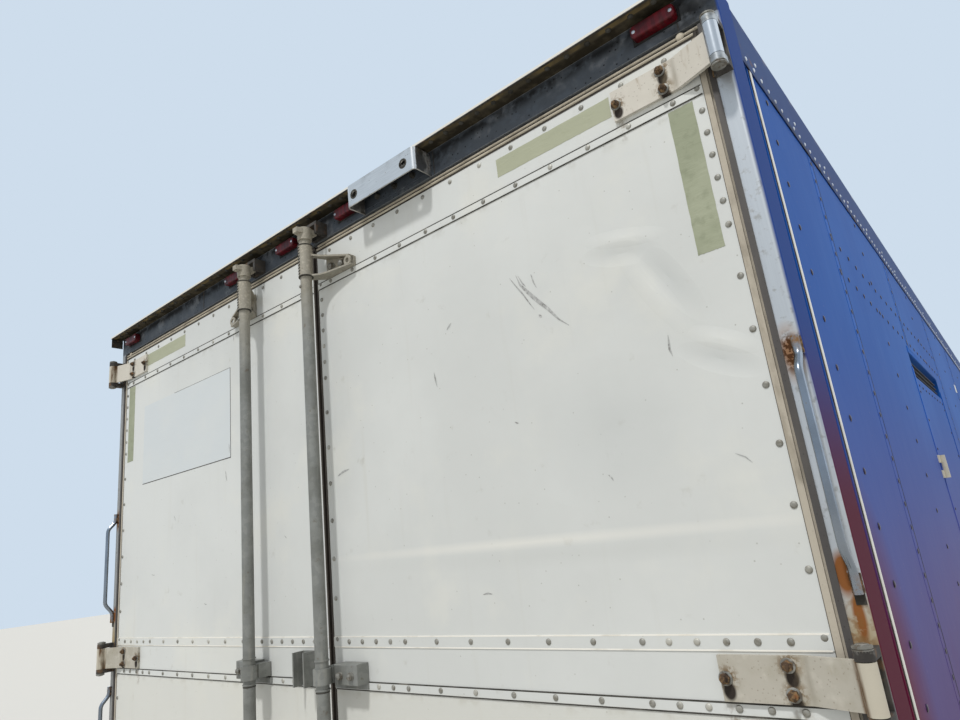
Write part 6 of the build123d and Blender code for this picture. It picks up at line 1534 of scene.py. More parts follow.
@dataclass
class RodFittings:
    """The pressed brackets, guides and handle catch that hold one lock rod on its door."""

    side: str
    hand: int
    metal: float = 5.0
    neck: float = 26.0
    reach: float = 150.0
    eye: Pair = (20.8, 60.0)
    sleeve: float = 94.0
    half: float = 38.25
    nose_half: float = 13.0

    def build(self) -> None:
        """Build the fittings in place of the plain ones."""
        self.rod = ROD_X[self.hand]
        form = Form()
        for height, shift in BRACKETS:
            self.end_bracket(form, height, shift)
        for height in GUIDES:
            self.guide(form, height)
        self.catch(form)
        self.body = f"{self.side}_door"
        made = form.piece(f"{self.side}_rod_fittings", DullGalvanising(), "galvanised", self.body)
        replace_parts(made, f"{self.side}_rod_brackets")
        self.teeth()

    def teeth(self) -> None:
        """Cut dark teeth down each sleeve's side, ring its ends and set a stud beside it."""
        dark, studs = Form(), Form()
        tooth = plate(11, 5.2, 1.0, 0.3)
        cap = lathe([(16.4, 0), (21.6, 0.4), (21.6, 3.2), (16.4, 3.6)], 32)
        for height, shift in BRACKETS:
            low = self.sleeve_low(height, shift)
            for z in steps_between(low + 6, low + self.sleeve - 6, 9.4):
                dark.place(tooth, self.round_rod(z, -13, 20.0))
            for z in (low - 3.4, low + self.sleeve - 0.2):
                dark.place(cap, stand((self.rod, ROD_LINE, z), Way.UP))
            below = low - 32 if shift < 0 else low + self.sleeve + 32
            studs.place(rivet(5.6, 5.4, 12), self.round_rod(below, -22, 15.8))
        dark.piece(f"{self.side}_rod_teeth", DirtAndShadeLine(), "galvanised", self.body)
        studs.piece(f"{self.side}_rod_studs", ZincWasher(), "galvanised", self.body)

    def round_rod(self, height: float, degrees: float, out: float) -> Matrix:
        """Place something on the rod's skin.

        Args:
            height: Its height.
            degrees: How far it turns round the rod, from straight behind towards the left.
            out: Its distance from the rod's middle.

        Returns:
            The place as a matrix.
        """
        turn = Matrix.Rotation(math.radians(degrees), 4, "Z")
        at = Matrix.Translation((self.rod, ROD_LINE, height))
        return at @ turn @ Matrix.Translation((0, -out, 0)) @ stand((0, 0, 0), Way.REAR)

    def flat(self, past: float, height: float, slope: float = 0.0) -> Matrix:
        """Place a level plate whose x runs from the rod to the nose and whose y runs outward.

        Args:
            past: Where its own origin lies past the rod.
            height: Its middle's height at that place.
            slope: How much it rises per millimetre towards the nose.

        Returns:
            The place as a matrix.
        """
        axes = Matrix(((self.hand, 0, 0), (0, -1, 0), (0, 0, -self.hand))).to_4x4()
        tilt = Matrix.Rotation(math.atan(slope) * self.hand, 4, "Y")
        at = Matrix.Translation((self.rod + self.hand * past, REAR, height))
        return at @ axes @ tilt @ Matrix.Translation((0, 0, -self.metal / 2))

    def face(self, corners: Sequence[Pair]) -> list[Pair]:
        """Turn corners given past the rod into the door's own, anticlockwise from behind."""
        points = [(self.rod + self.hand * past, z) for past, z in corners]
        return points if self.hand > 0 else points[::-1]

    def end_bracket(self, form: Form, height: float, shift: float) -> None:
        """Fold one end bracket: a web, two flanges with an eye round the rod, and a pierced nose.

        Args:
            form: The form that it goes into.
            height: The bracket's height at the rod.
            shift: How far the nose stands above that.
        """
        radius, out = self.eye
        eye = [(radius * math.cos(a), out + radius * math.sin(a))
               for a in [math.radians(d) for d in range(-10, 226, 15)]]
        plan = [(self.neck, 0.0), (self.reach, 0.0), (self.reach, 20.0), (118.0, 25.0), (64.0, 34.0), (38.0, 42.0),
                *eye]
        for sign in (-1, 1):
            start, end = height + sign * self.half, height + shift + sign * self.nose_half
            slope = (end - start) / (self.reach + radius)
            form.place(slab(plan, self.metal), self.flat(0, start + slope * radius, slope))
        low = self.sleeve_low(height, shift)
        sleeve = lathe([(17, 0), (19.8, 0), (20.6, 0.8), (20.6, self.sleeve - 0.8), (19.8, self.sleeve),
                (17, self.sleeve)], 36)
        form.place(sleeve, stand((self.rod, ROD_LINE, low), Way.UP))
        nose = height + shift
        web = [(self.neck, height - self.half), (self.reach, nose - self.nose_half),
               (self.reach, nose + self.nose_half), (self.neck, height + self.half)]
        form.place(prism(self.face(web), self.metal), behind(0, 0))
        ring = lathe([(15, 0), (15, 4), (14, 5), (8, 5), (7, 4), (7, 0), (15, 0)], 28)
        form.place(ring, behind(self.rod + self.hand * (self.reach - 13), nose, 17))

    def sleeve_low(self, height: float, shift: float) -> float:
        """Give the lower end of a bracket's sleeve, which reaches past it away from the nose."""
        return height - self.half if shift < 0 else height + self.half - self.sleeve

    def guide(self, form: Form, height: float) -> None:
        """Fold one mid guide: a strap round the rod, a padded plate and a lip under it.

        Args:
            form: The form that it goes into.
            height: The guide's middle.
        """
        low, high = height - 23.5, height + 23.5
        pad = self.face([(18, low), (104, low), (104, high), (18, high)])
        form.place(prism(pad, 37.5, 2.5), behind(0, 0, 1.5))
        lip = self.face([(-22, low - 14), (104, low - 14), (104, low), (-22, low)])
        form.place(prism(lip, 4.5, 1.0), behind(0, 0, 1.5))
        strap = lathe([(17, 0), (22.5, 0), (22.5, 37), (17, 37)], 32)
        form.place(strap, stand((self.rod, ROD_LINE, height - 18.5), Way.UP))
        stem = plate(32, 37, 40, 0)
        form.place(stem, behind(self.rod, height, 1.5))

    def catch(self, form: Form) -> None:
        """Fold the catch that the handle lies in: a plate with a shelf and a lid.

        Args:
            form: The form that it goes into.
        """
        x = self.rod + self.hand * CATCH_FROM_ROD
        form.place(plate(44, 72, 6, 1.2), behind(x, CATCH_HEIGHT))
        for dz in (-21, 21):
            form.place(plate(44, 6, 44, 1.2), behind(x, CATCH_HEIGHT + dz))


@dataclass
class DoorHardware:
    """Bolts, washers and rod rings of one rear door."""

    side: str
    hand: int
    leaf_face: float = REAR - 8
    hinge_bolts: tuple[Pair, ...] = ((1062, 0), (1164, 21), (1164, -21))

    def build(self) -> None:
        """Build and dress the door's fastenings."""
        body = f"{self.side}_door"
        rod = ROD_X[self.hand]
        bolts, washers = Form(), Form()
        head = prism(hexagon(15.5), 8, 2)
        crown = lathe([(5, 0), (4.4, 3.4), (0, 4.2)], 12)
        ring = lathe([(11.5, 0), (11.5, 1.6), (10, 2.4), (6, 2.4)], 22)
        for height in HINGES:
            for number, (x, dz) in enumerate(self.hinge_bolts):
                at = (self.hand * x, self.leaf_face, height + dz)
                turn = 17 * number + height % 31
                washers.place(ring, stand(at, Way.REAR))
                bolts.place(head, stand((at[0], at[1] - 2, at[2]), Way.REAR, turn))
                bolts.place(crown, stand((at[0], at[1] - 10.5, at[2]), Way.REAR))
        bolts.piece(f"{self.side}_hinge_bolts", WeldRust(), "hinge_paint", body)
        nuts = Form()
        small = hex_bolt(15, 8, 10)
        large = hex_bolt(19, 11, 12)
        for height, shift in BRACKETS:
            for x in (52, 98):
                nuts.place(large, behind(rod + self.hand * x, height + shift * (x + 22) / 172, 5, x))
        for height in GUIDES:
            for x in (42, 84):
                nuts.place(small, behind(rod + self.hand * x, height - 2, 39, x))
        for dz in (28, -28):
            nuts.place(small, behind(rod + self.hand * CATCH_FROM_ROD, CATCH_HEIGHT + dz, 6))
        nuts.piece(f"{self.side}_bracket_bolts", ZincWasher(), "galvanised", body)
        washers.piece(f"{self.side}_hinge_washers", ZincWasher(), "hinge_paint", body)
        self.rod_rings(body, rod)

    def rod_rings(self, body: str, rod: float) -> None:
        """Turn the collars and grooves on the lock rod.

        Args:
            body: The door's body.
            rod: The rod's place across the door.
        """
        rings, dark = Form(), Form()
        collar = lathe([(16.5, 0), (18.6, 0.6), (18.6, 3.4), (16.5, 4)], 24)
        groove = lathe([(16.4, 0), (17.3, 0.4), (17.3, 3.2), (16.4, 3.6)], 24)
        for z in (2504, 2570, 1772, 1828):
            rings.place(collar, stand((rod, ROD_LINE, z), Way.UP))
        for z in (2499, 1767):
            dark.place(groove, stand((rod, ROD_LINE, z), Way.UP))
        rings.piece(f"{self.side}_rod_collars", DullGalvanising(), "galvanised", body)
        dark.piece(f"{self.side}_rod_grooves", DirtAndShadeLine(), "galvanised", body)


@dataclass
class RearFrameDressing:
    """Fastenings, lamp screws, guard plate, pin caps, grab bars and welds of the rear frame."""

    lamp_x: tuple[float, ...] = (-1173.0, -395.0, -90.0, 206.0, 1173.0)
    lamp_z: float = 3772.0

    def build(self) -> None:
        """Build and dress the rear frame's small parts."""
        self.visor_studs()
        self.lamp_fittings()
        self.guard_inside()
        self.pin_caps()
        self.grab_bars()
        self.weld_beads()
        self.sill_fittings()

    def visor_studs(self) -> None:
        """Fit the visor's studs, end plates and lip, and the header's joints."""
        stud = rivet(6.5, 4.5, 10)
        under = Form().place(stud,
                *[stand((x, REAR - 30, TOP - 6), Way.DOWN) for x in steps_between(-1240, 1240, 52)])
        under.piece("visor_studs", DirtAndShadeLine(), "stainless")
        ends = Form()
        for hand in (-1, 1):
            ends.place(plate(44, 38, 2.5, 0.6),
                       stand((hand * (SIDE - 2.6), REAR - 23, TOP - 25), Way.outward(hand)))
        ends.piece("visor_end_plates", GrimeAndShadeSteel(), "stainless")
        lip = Form().place(plate(2 * SIDE - 2, 5, 2.0, 0.6), stand((0, REAR - 45.5, TOP - 6), Way.DOWN))
        lip.piece("visor_drip_lip", GrimeAndShadeSteel(), "stainless")
        joints = Form()
        for x in (-620, 40, 545, 1215):
            joints.place(plate(2.4, 68, 0.8), behind(x, (HEADER_LOW + TOP - 6) / 2))
        joints.piece("header_joints", GrimeAndShadeSteel(), "stainless")

    def lamp_fittings(self) -> None:
        """Screw the marker lamps down at both ends, on a thin gasket."""
        screws, gaskets = Form(), Form()
        for x in self.lamp_x:
            for dx in (-40, 40):
                screws.place(rivet(4.5, 2.4, 12), behind(x + dx, self.lamp_z, 21.6))
            gaskets.place(plate(103, 37, 3.0, 1.0), behind(x, self.lamp_z))
        screws.piece("lamp_screws", BrightRivet(), "stainless")
        gaskets.piece("lamp_gaskets", FlapRubber(), "flap_rubber")

    def guard_inside(self) -> None:
        """Fit the plates and bolts inside the guard box, and the rims of its two holes; the bolts and rims are near
        black as painted shade.
        """
        low, high = extent("header_guard")
        middle = (low.x + high.x) / 2
        inner = Form().place(plate(high.x - low.x - 26, 40, 3, 1), behind(middle, high.z - 32))
        inner.place(plate(high.x - low.x - 60, 26, 3, 1), stand((middle, REAR - 34, high.z - 20), Way.DOWN))
        inner.piece("guard_inner_plate", WeatheredStainlessAndPaintedLight(), "stainless")
        # Painted shade: the bolts inside the box and the rims round its holes are near black.
        bolts = Form().place(hex_bolt(13, 7, 9), *[behind(middle + dx, high.z - 34, 3, dx) for dx in (-70, 0, 70)])
        bolts.place(rivet(6, 3, 10), *[stand((middle + dx, REAR - 34, high.z - 23), Way.DOWN) for dx in (-60, 55)])
        rim = lathe([(9.8, 0), (9.8, 0.9), (13.4, 0.9), (14, 0)], 28)
        bolts.place(rim, *[stand((x, low.y, low.z + 30), Way.REAR) for x in (low.x + 31, high.x - 40)])
        bolts.piece("guard_bolts", DirtAndShadeLine(), "stainless")

    def pin_caps(self) -> None:
        """Cap both ends of each hinge pin with a washer and a peened head."""
        pin_x = SIDE - 14.5
        caps = Form()
        cap = lathe([(11, -2), (11, 0), (14, 0.3), (14, 3.4), (12.4, 3.8), (12.4, 4.6), (14, 5), (14, 8),
                     (12, 8.6), (9.5, 8.6), (9.5, 9.8), (7, 10.8), (0, 11)], 22)
        reach = extent("hinge_butts")[1].z - HINGE_TOP - 8
        for hand in (-1, 1):
            for height in HINGES:
                caps.place(cap, stand((hand * pin_x, REAR - 40, height + reach), Way.UP),
                           stand((hand * pin_x, REAR - 40, height - reach), Way.DOWN))
        caps.piece("hinge_pin_caps", ZincWasher(), "hinge_paint")

    def grab_bars(self) -> None:
        """Bend the four grab bars: a foot flat on the post, a slope outward and a straight grip."""
        bars, slots = Form(), Form()
        for hand in (-1, 1):
            for low, high in GRABS:
                knees = [(4.5, low), (4.5, low + 36), (32, low + 68), (32, high - 60), (4.5, high - 30),
                         (4.5, high)]
                path = bent([(hand * GRAB_X, REAR - out, z) for out, z in knees], 11)
                bars.place(tube(path, 6.8, 16))
                slots.place(plate(15, 16, 1.2, 0.5), behind(hand * GRAB_X, low - 7))
        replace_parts(bars.piece("grab_bar_tubes", PolishedBar(), "stainless"), "grab_bars")
        slots.piece("grab_bar_slots", DirtAndShadeLine(), "stainless")

    def weld_beads(self) -> None:
        """Run a rough weld along both sides of each grab bar foot and each hinge base."""
        chance = random.Random(23)
        welds = Form()
        for hand in (-1, 1):
            for low, high in GRABS:
                for start in (low + 2, high - 30):
                    for edge in (-6.5, 6.5):
                        path = [(hand * GRAB_X + edge + chance.uniform(-0.6, 0.6), REAR - 1.2, start + 4 * n)
                                for n in range(8)]
                        welds.place(tube(path, 2.2 + chance.uniform(0, 0.5), 7))
            for height in HINGES:
                x = hand * (SIDE - 35.3)
                path = [(x + chance.uniform(-0.5, 0.5), REAR - 1, z)
                        for z in steps_between(height - 48, height + 48, 6)]
                welds.place(tube(path, 3.0, 7))
        welds.piece("weld_beads", WeldRust(), "hinge_paint")

    def sill_fittings(self) -> None:
        """Bolt the dock bumpers on, ring the tail lamps and fit the blank plate."""
        low, high = extent("dock_bumpers")
        bolts = Form()
        for hand in (-1, 1):
            for dz in (-45, 45):
                bolts.place(hex_bolt(22, 10, 17),
                            stand((hand * (high.x - 47.5), low.y, (low.z + high.z) / 2 + dz), Way.REAR, dz))
        rim = Form()
        for x in (-1120, -985, -850, 850, 985, 1120):
            rim.place(lathe([(66, 0), (66, 2), (64, 3.2), (60, 3.2)], 40), behind(x, 1190))
        bolts.piece("bumper_bolts", NutSteel(), "chassis_black")
        rim.piece("tail_lamp_grommets", FlapRubber(), "flap_rubber")
        blank = Form().place(plate(300, 150, 2.0, 0.6), behind(-330, 1190))
        blank.piece("blank_number_plate", WhiteTrim(), "stainless")


@dataclass
class SideDressing:
    """Seams, rivet lines, trims and rails along one side wall."""

    side: str
    hand: int
    first_column: float = 243.0
    first_seam: float = 603.0
    column_pitch: float = 538.5
    door_hinges: tuple[float, ...] = (2889.0, 2229.5, 1570.0)
    door_gap: float = 40.0
    rivet_radius: float = 7.0

    def __post_init__(self) -> None:
        """Note which way the wall faces and where the side door is."""
        self.way = Way.outward(self.hand)
        low, high = extent("side_door")
        self.door_y = (low.y - 5, high.y + 7)
        self.door_z = (low.z - 6, high.z + 6)
        self.face = self.hand * SKIN

    def build(self) -> None:
        """Build and dress the wall's outside."""
        self.wall_rivets()
        self.seam_laps()
        self.rail_rivets()
        self.trims()
        if self.hand > 0:
            self.door_details()

    def on_wall(self, y: float, z: float) -> Matrix:
        """Stand a form on the wall's sheet."""
        return stand((self.face, y, z), self.way)

    def clear(self, y: float, z: float) -> bool:
        """Tell whether a place on the wall is clear of the side door and its slot."""
        (low_y, high_y), (low_z, high_z) = self.door_y, self.door_z
        return self.hand < 0 or not (low_y - 28 < y < high_y + 28 and low_z - 28 < z < high_z + 95)

    def columns(self) -> list[tuple[float, float]]:
        """Give each rivet column's place along the wall and its pitch.

        Returns:
            Pairs of place and pitch.
        """
        found = [(REAR + self.first_column, 100.0)]
        y, number = REAR + self.first_seam, 0
        while y < WALL_FRONT - 60:
            found.append((y, 50.0 if number % 2 == 0 else 100.0))
            y += self.column_pitch
            number += 1
        return found

    def wall_rivets(self) -> None:
        """Set the rivet columns, and the two rows over the side door."""
        dome = rivet(self.rivet_radius, 2.6, 8)
        places = []
        for y, pitch in self.columns():
            places += [(y, z) for z in steps_between(SKIRT_TOP + 30, RAIL_LOW - 25, pitch)]
        if self.hand > 0:
            for z in (3435, 3349):
                places += [(y, z) for y in steps_between(REAR + 603, REAR + 2757, 100)]
        form = Form().place(dome, *[self.on_wall(y, z) for y, z in places if self.clear(y, z)])
        form.piece(f"{self.side}_wall_rivets", PaintedRivet(), "side_paint")

    def seam_laps(self) -> None:
        """Lap each pair of sheets with a thin raised edge and a dark line beside it."""
        laps, lines = Form(), Form()
        low, high = SKIRT_TOP + 2, RAIL_LOW - 2
        for y, pitch in self.columns():
            if pitch > 60:
                continue
            spans = [(low, high)]
            if self.hand > 0 and self.door_y[0] - self.door_gap < y < self.door_y[1] + self.door_gap:
                spans = [(low, self.door_z[0] - self.door_gap), (self.door_z[1] + 100, high)]
            for bottom, top in spans:
                middle = (bottom + top) / 2
                laps.place(plate(36, top - bottom, 0.7, 0.2), self.on_wall(y, middle))
                lines.place(plate(3.0, top - bottom, 1.2), self.on_wall(y + 19, middle))
        laps.piece(f"{self.side}_wall_laps", PlumPaintAndSkyReflection(), "side_paint")
        lines.piece(f"{self.side}_wall_seam_lines", DirtAndShadeLine(), "side_paint")

    def rail_rivets(self) -> None:
        """Rivet the top and bottom rails."""
        bright = Form()
        dome = rivet(5.2, 2.8, 8)
        face = self.hand * SIDE
        rows = [(y, RAIL_LOW + 20) for y in steps_between(POST_FRONT + 30, WALL_FRONT - 30, 50)]
        rows += [(y, RAIL_LOW + 46) for y in steps_between(POST_FRONT + 105, WALL_FRONT - 150, 300)]
        bright.place(dome, *[stand((face - self.hand * 0.5, y, z), self.way) for y, z in rows])
        bright.piece(f"{self.side}_top_rail_rivets", BrightRivet(), "rail_aluminium")
        lower = Form()
        rows = [(y, SKIRT_TOP - 16) for y in steps_between(POST_FRONT + 40, WALL_FRONT - 40, 75)]
        rows += [(y, FLOOR - 62) for y in steps_between(POST_FRONT + 165, WALL_FRONT - 165, 165)]
        lower.place(dome, *[stand((face - self.hand * 0.5, y, z), self.way) for y, z in rows])
        lower.piece(f"{self.side}_bottom_rail_rivets", BrightRivet(), "rail_aluminium")

    def trims(self) -> None:
        """Fix the white edge trim beside the rear post; the dark lines on both its sides and the black strip in the
        gap before it are painted shade.
        """
        height = RAIL_LOW - SKIRT_TOP - 4
        middle = (RAIL_LOW + SKIRT_TOP) / 2
        trim = Form().place(plate(12, height, 2.6, 1.0), self.on_wall(REAR + 142, middle))
        trim.piece(f"{self.side}_wall_edge_trim", WhiteTrim(), "door_white")
        # Painted shade: dark lines on both sides of the trim.
        seal = plate(4, height, 1.4, 0.4)
        lines = Form().place(seal, *[self.on_wall(REAR + y, middle) for y in (133.8, 150.2)])
        lines.piece(f"{self.side}_wall_edge_shade_lines", DirtAndShadeLine(), "flap_rubber")
        # Painted shade: a black strip deep in the gap between the post and the wall sheet.
        gap = Form().place(plate(24, height, 1.5, 0.4),
                stand((self.face - self.hand * 11, REAR + 111, middle), self.way))
        gap.piece(f"{self.side}_wall_gap_shade", FlapRubber(), "flap_rubber")

    def door_details(self) -> None:
        """Frame and rivet the side door, with its latch screws, the fins over it and a white block."""
        low_y, high_y = self.door_y
        low_z, high_z = self.door_z
        frame_bars = Form()
        for y in (low_y - 14, high_y + 14):
            frame_bars.place(plate(24, high_z - low_z + 56, 2.4, 0.8), self.on_wall(y, (low_z + high_z) / 2))
        for z in (low_z - 14, high_z + 95):
            frame_bars.place(plate(high_y - low_y, 24, 2.4, 0.8), self.on_wall((low_y + high_y) / 2, z))
        frame_bars.piece("side_door_frame", PlumPaintAndSkyReflection(), "side_paint")
        dots = Form()
        dome = rivet(5.2, 2.6, 8)
        places = [(y, z) for y in (low_y + 32, high_y - 34) for z in steps_between(low_z + 60, high_z - 60, 100)]
        places += [(y, z) for y in steps_between(low_y + 60, high_y - 60, 100) for z in (low_z + 34, high_z - 34)]
        places = [(y, z) for y, z in places if y > low_y + 70 or min(abs(z - h) for h in self.door_hinges) > 45]
        dots.place(dome, *[self.on_wall(y, z) for y, z in places])
        dots.piece("side_door_rivets", PaintedRivet(), "side_paint", "side_door_leaf")
        screws = Form()
        for dy in (-66, 66):
            for dz in (-86, 86):
                screws.place(rivet(5, 2.4, 10), stand((SKIN + 1.4, high_y - 157 + dy, low_z + 757 + dz), Way.RIGHT))
        screws.piece("latch_screws", BrightRivet(), "rail_aluminium", "side_door_leaf")
        slot_fins = Form()
        for z in (high_z + 14 + 6, high_z + 14 + 26, high_z + 14 + 46):
            slot_fins.place(plate(high_y - low_y - 30, 3, 18, 0),
                    stand((SKIN - 27, (low_y + high_y) / 2, z), self.way))
        slot_fins.piece("side_slot_fins", ChassisEnamel(), "chassis_black")
        block = Form().place(plate(60, 46, 2.8, 1.2), self.on_wall(REAR + 3760, 3400))
        block.piece("side_small_block", WhiteTrim(), "door_white")


@dataclass
class FrontDressing:
    """Seams and rivets on the front wall."""

    post_pitch: float = 305.0
    lap_x: tuple[float, ...] = (-610.0, 610.0)

    def build(self) -> None:
        """Build and dress the front wall's seams."""
        low, high = extent("front_wall")
        foot, head = SKIRT_TOP + 40, RAIL_LOW - 10
        dome = rivet(6.5, 2.6, 10)
        places = [(n * self.post_pitch, z) for n in range(-4, 5) for z in steps_between(foot, head, 100)]
        places += [(x, z) for z in (foot - 45, head + 60) for x in steps_between(low.x + 70, high.x - 70, 75)]
        rivets = Form().place(dome, *[stand((x, FRONT, z), Way.FRONT) for x, z in places])
        rivets.piece("front_wall_rivets", PaintedRivet(), "side_paint")
        laps, lines = Form(), Form()
        for x in self.lap_x:
            laps.place(plate(40, head - foot + 160, 0.9, 0.3), stand((x, FRONT, (head + foot) / 2), Way.FRONT))
            lines.place(plate(3, head - foot + 160, 1.2), stand((x - 21, FRONT, (head + foot) / 2), Way.FRONT))
        edge = plate(high.x - low.x - 60, 3, 1.2)
        lines.place(edge, stand((0, FRONT, foot - 78), Way.FRONT), stand((0, FRONT, head + 25), Way.FRONT))
        laps.piece("front_wall_laps", PlumPaintAndSkyReflection(), "side_paint")
        lines.piece("front_wall_seam_lines", DirtAndShadeLine(), "side_paint")


@dataclass
class RoofDressing:
    """Sheet laps and rivets on the roof, and the front wall's rivets."""

    sheet_pitch: float = 1219.0

    def build(self) -> None:
        """Build and dress the roof, and rivet the front wall."""
        laps, dots, dome = Form(), Form(), rivet(5.5, 2.6, 8)
        for y in steps_between(POST_FRONT + 40, WALL_FRONT - 40, self.sheet_pitch)[1:-1]:
            laps.place(plate(2 * INNER - 30, 40, 1.4, 0.5), stand((0, y, ROOF), Way.UP))
        for y in (POST_FRONT + 12, WALL_FRONT - 12):
            dots.place(dome, *[stand((x, y, ROOF), Way.UP) for x in steps_between(-INNER + 20, INNER - 20, 75)])
        for x in (14 - INNER, INNER - 14):
            dots.place(dome,
                       *[stand((x, y, ROOF), Way.UP) for y in steps_between(POST_FRONT + 60, WALL_FRONT - 60, 75)])
        laps.piece("roof_laps", MillAluminium(), "roof_aluminium")
        dots.piece("roof_rivets", BrightRivet(), "rail_aluminium")
        self.front_wall()

    def front_wall(self) -> None:
        """Rivet the front wall in columns, and along its head and foot."""
        places = [
            (x, z) for x in steps_between(-1180, 1180, 394) for z in steps_between(RAIL_BOTTOM + 60, ROOF - 60, 100)
            if not (-480 < x < -20 and abs(z - 1500) < 110)
        ]
        places += [(x, z) for x in steps_between(-1180, 1180, 60) for z in (RAIL_BOTTOM + 30, ROOF - 30)]
        dots = Form().place(rivet(5.2, 2.4, 8), *[stand((x, FRONT - 2.4, z), Way.FRONT) for x, z in places])
        dots.piece("front_wall_rivets", PaintedRivet(), "side_paint")


@dataclass
class WheelEnd:
    """One twin wheel: grooved tyres, wheel nuts, hub cap bolts and valve stems."""

    name: str
    radius: float = 508.0
    groove_depth: float = 11.0
    groove_half: float = 4.5
    grooves: tuple[float, ...] = (-78.0, -28.0, 28.0, 78.0)
    steps: int = 160
    twin_centre: float = 984.0
    twin_half: float = 171.5

    def __post_init__(self) -> None:
        """Read the wheel's side and place."""
        self.hand, self.y = WHEEL_ENDS[self.name]
        self.body = f"{self.name}_wheels"

    def build(self) -> None:
        """Build and dress the wheel end."""
        self.tyres()
        self.fastenings()

    def profile(self) -> list[Pair]:
        """Give the tyre's outer profile across its width.

        Returns:
            Pairs of place across the tyre and radius, from one bead to the other.
        """
        wall = [
            (99, 289), (104, 300), (112, 309), (120, 320), (123.5, 331), (126, 333), (127, 341), (126.5, 344),
            (131, 360),
            (135.5, 382), (137.6, 398), (137, 414), (137.6, 416), (137.2, 424), (135.6, 426), (133, 446),
            (129, 462),
            (127.5, 466), (128, 474), (122, 485), (118, 492), (112, 499),
        ]
        tread: list[Pair] = [(106.0, 503.5)]
        edges = sorted(self.grooves, reverse=True)
        half = self.groove_half
        for place in edges:
            crown = self.radius - 4.5 * (place / 106) ** 2
            tread += [
                (place + half + 1.5, crown), (place + half, crown - 1.5),
                (place + 2.5, crown - self.groove_depth), (place - 2.5, crown - self.groove_depth),
                (place - half, crown - 1.5), (place - half - 1.5, crown),
            ]
            if place == edges[1]:
                tread += [(10.0, self.radius), (-10.0, self.radius)]
        tread.append((-106.0, 503.5))
        return wall + tread + [(-x, r) for x, r in reversed(wall)]

    def tyres(self) -> None:
        """Turn both tyres, with zigzag grooves and notched shoulders, in place of the plain solids."""
        outline = self.profile()
        made = Form()
        count = len(outline)
        for side_step in (-1, 1):
            centre = self.hand * self.twin_centre + side_step * self.twin_half
            points: list[Triple] = []
            for step in range(self.steps):
                angle = math.tau * step / self.steps
                swing = (0.0, 2.6, 0.0, -2.6)[step % 4]
                notch = 2.4 if step % 4 == 0 else 0.0
                for x, r in outline:
                    in_groove = any(abs(abs(x) - abs(g)) < 8 for g in self.grooves) and r > 490
                    across = x + (swing if in_groove else 0.0)
                    radius = r - (notch if 487 < r < 500 or 104 < abs(x) < 108 else 0.0)
                    points.append(self.spoke(centre + across, radius, angle))
            faces = [
                (s * count + i, s * count + i + 1, (s + 1) % self.steps * count + i + 1,
                 (s + 1) % self.steps * count + i)
                for s in range(self.steps) for i in range(count - 1)
            ]
            made.add(points, faces)
        piece = made.piece(f"{self.name}_tyre_pair", TyreRubber(), "tyre_rubber", self.body, sharp=50)
        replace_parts(piece, f"{self.name}_tyres")

    def spoke(self, x: float, radius: float, angle: float) -> Triple:
        """Give the point at a radius and an angle from straight up round the axle."""
        return x, self.y + radius * math.sin(angle), AXLE_Z + radius * math.cos(angle)

    def fastenings(self) -> None:
        """Screw on the wheel nuts, the hub cap's bolts and the valve stems."""
        way = Way.outward(self.hand)
        nuts, small, stems = Form(), Form(), Form()
        nut = lathe([(23, 0), (23, 4), (20, 6)], 20)
        nut.place(prism(hexagon(33), 24, 4), Matrix.Translation((0, 0, 5)))
        nut.place(lathe([(13, 0), (13, 3), (10, 5), (0, 5)], 16), Matrix.Translation((0, 0, 28)))
        disc = self.hand * (self.twin_centre + 12)
        for number in range(10):
            nuts.place(nut, stand(self.spoke(disc, 142.9, math.tau * number / 10), way, 13 * number))
        for number in range(6):
            at = self.spoke(self.hand * (self.twin_centre + 70), 92, math.tau * (number + 0.5) / 6)
            small.place(hex_bolt(13, 7, 9), stand(at, way, 9 * number))
        r, angle = 262, math.radians(18)
        for x0, x1 in ((self.twin_centre + 150, self.twin_centre + 205),
                (self.twin_centre - 150, self.twin_centre - 90)):
            stems.place(tube([
                self.spoke(self.hand * x, r - nearer, angle)
                for x, nearer in ((x0, 0), ((x0 + x1) / 2, 12), (x1, 14))], 4.5, 8))
        nuts.piece(f"{self.name}_wheel_nuts", NutSteel(), "hub_iron", self.body)
        small.piece(f"{self.name}_cap_bolts", NutSteel(), "hub_iron", self.body)
        stems.piece(f"{self.name}_valve_stems", GreasedForging(), "hub_iron", self.body)


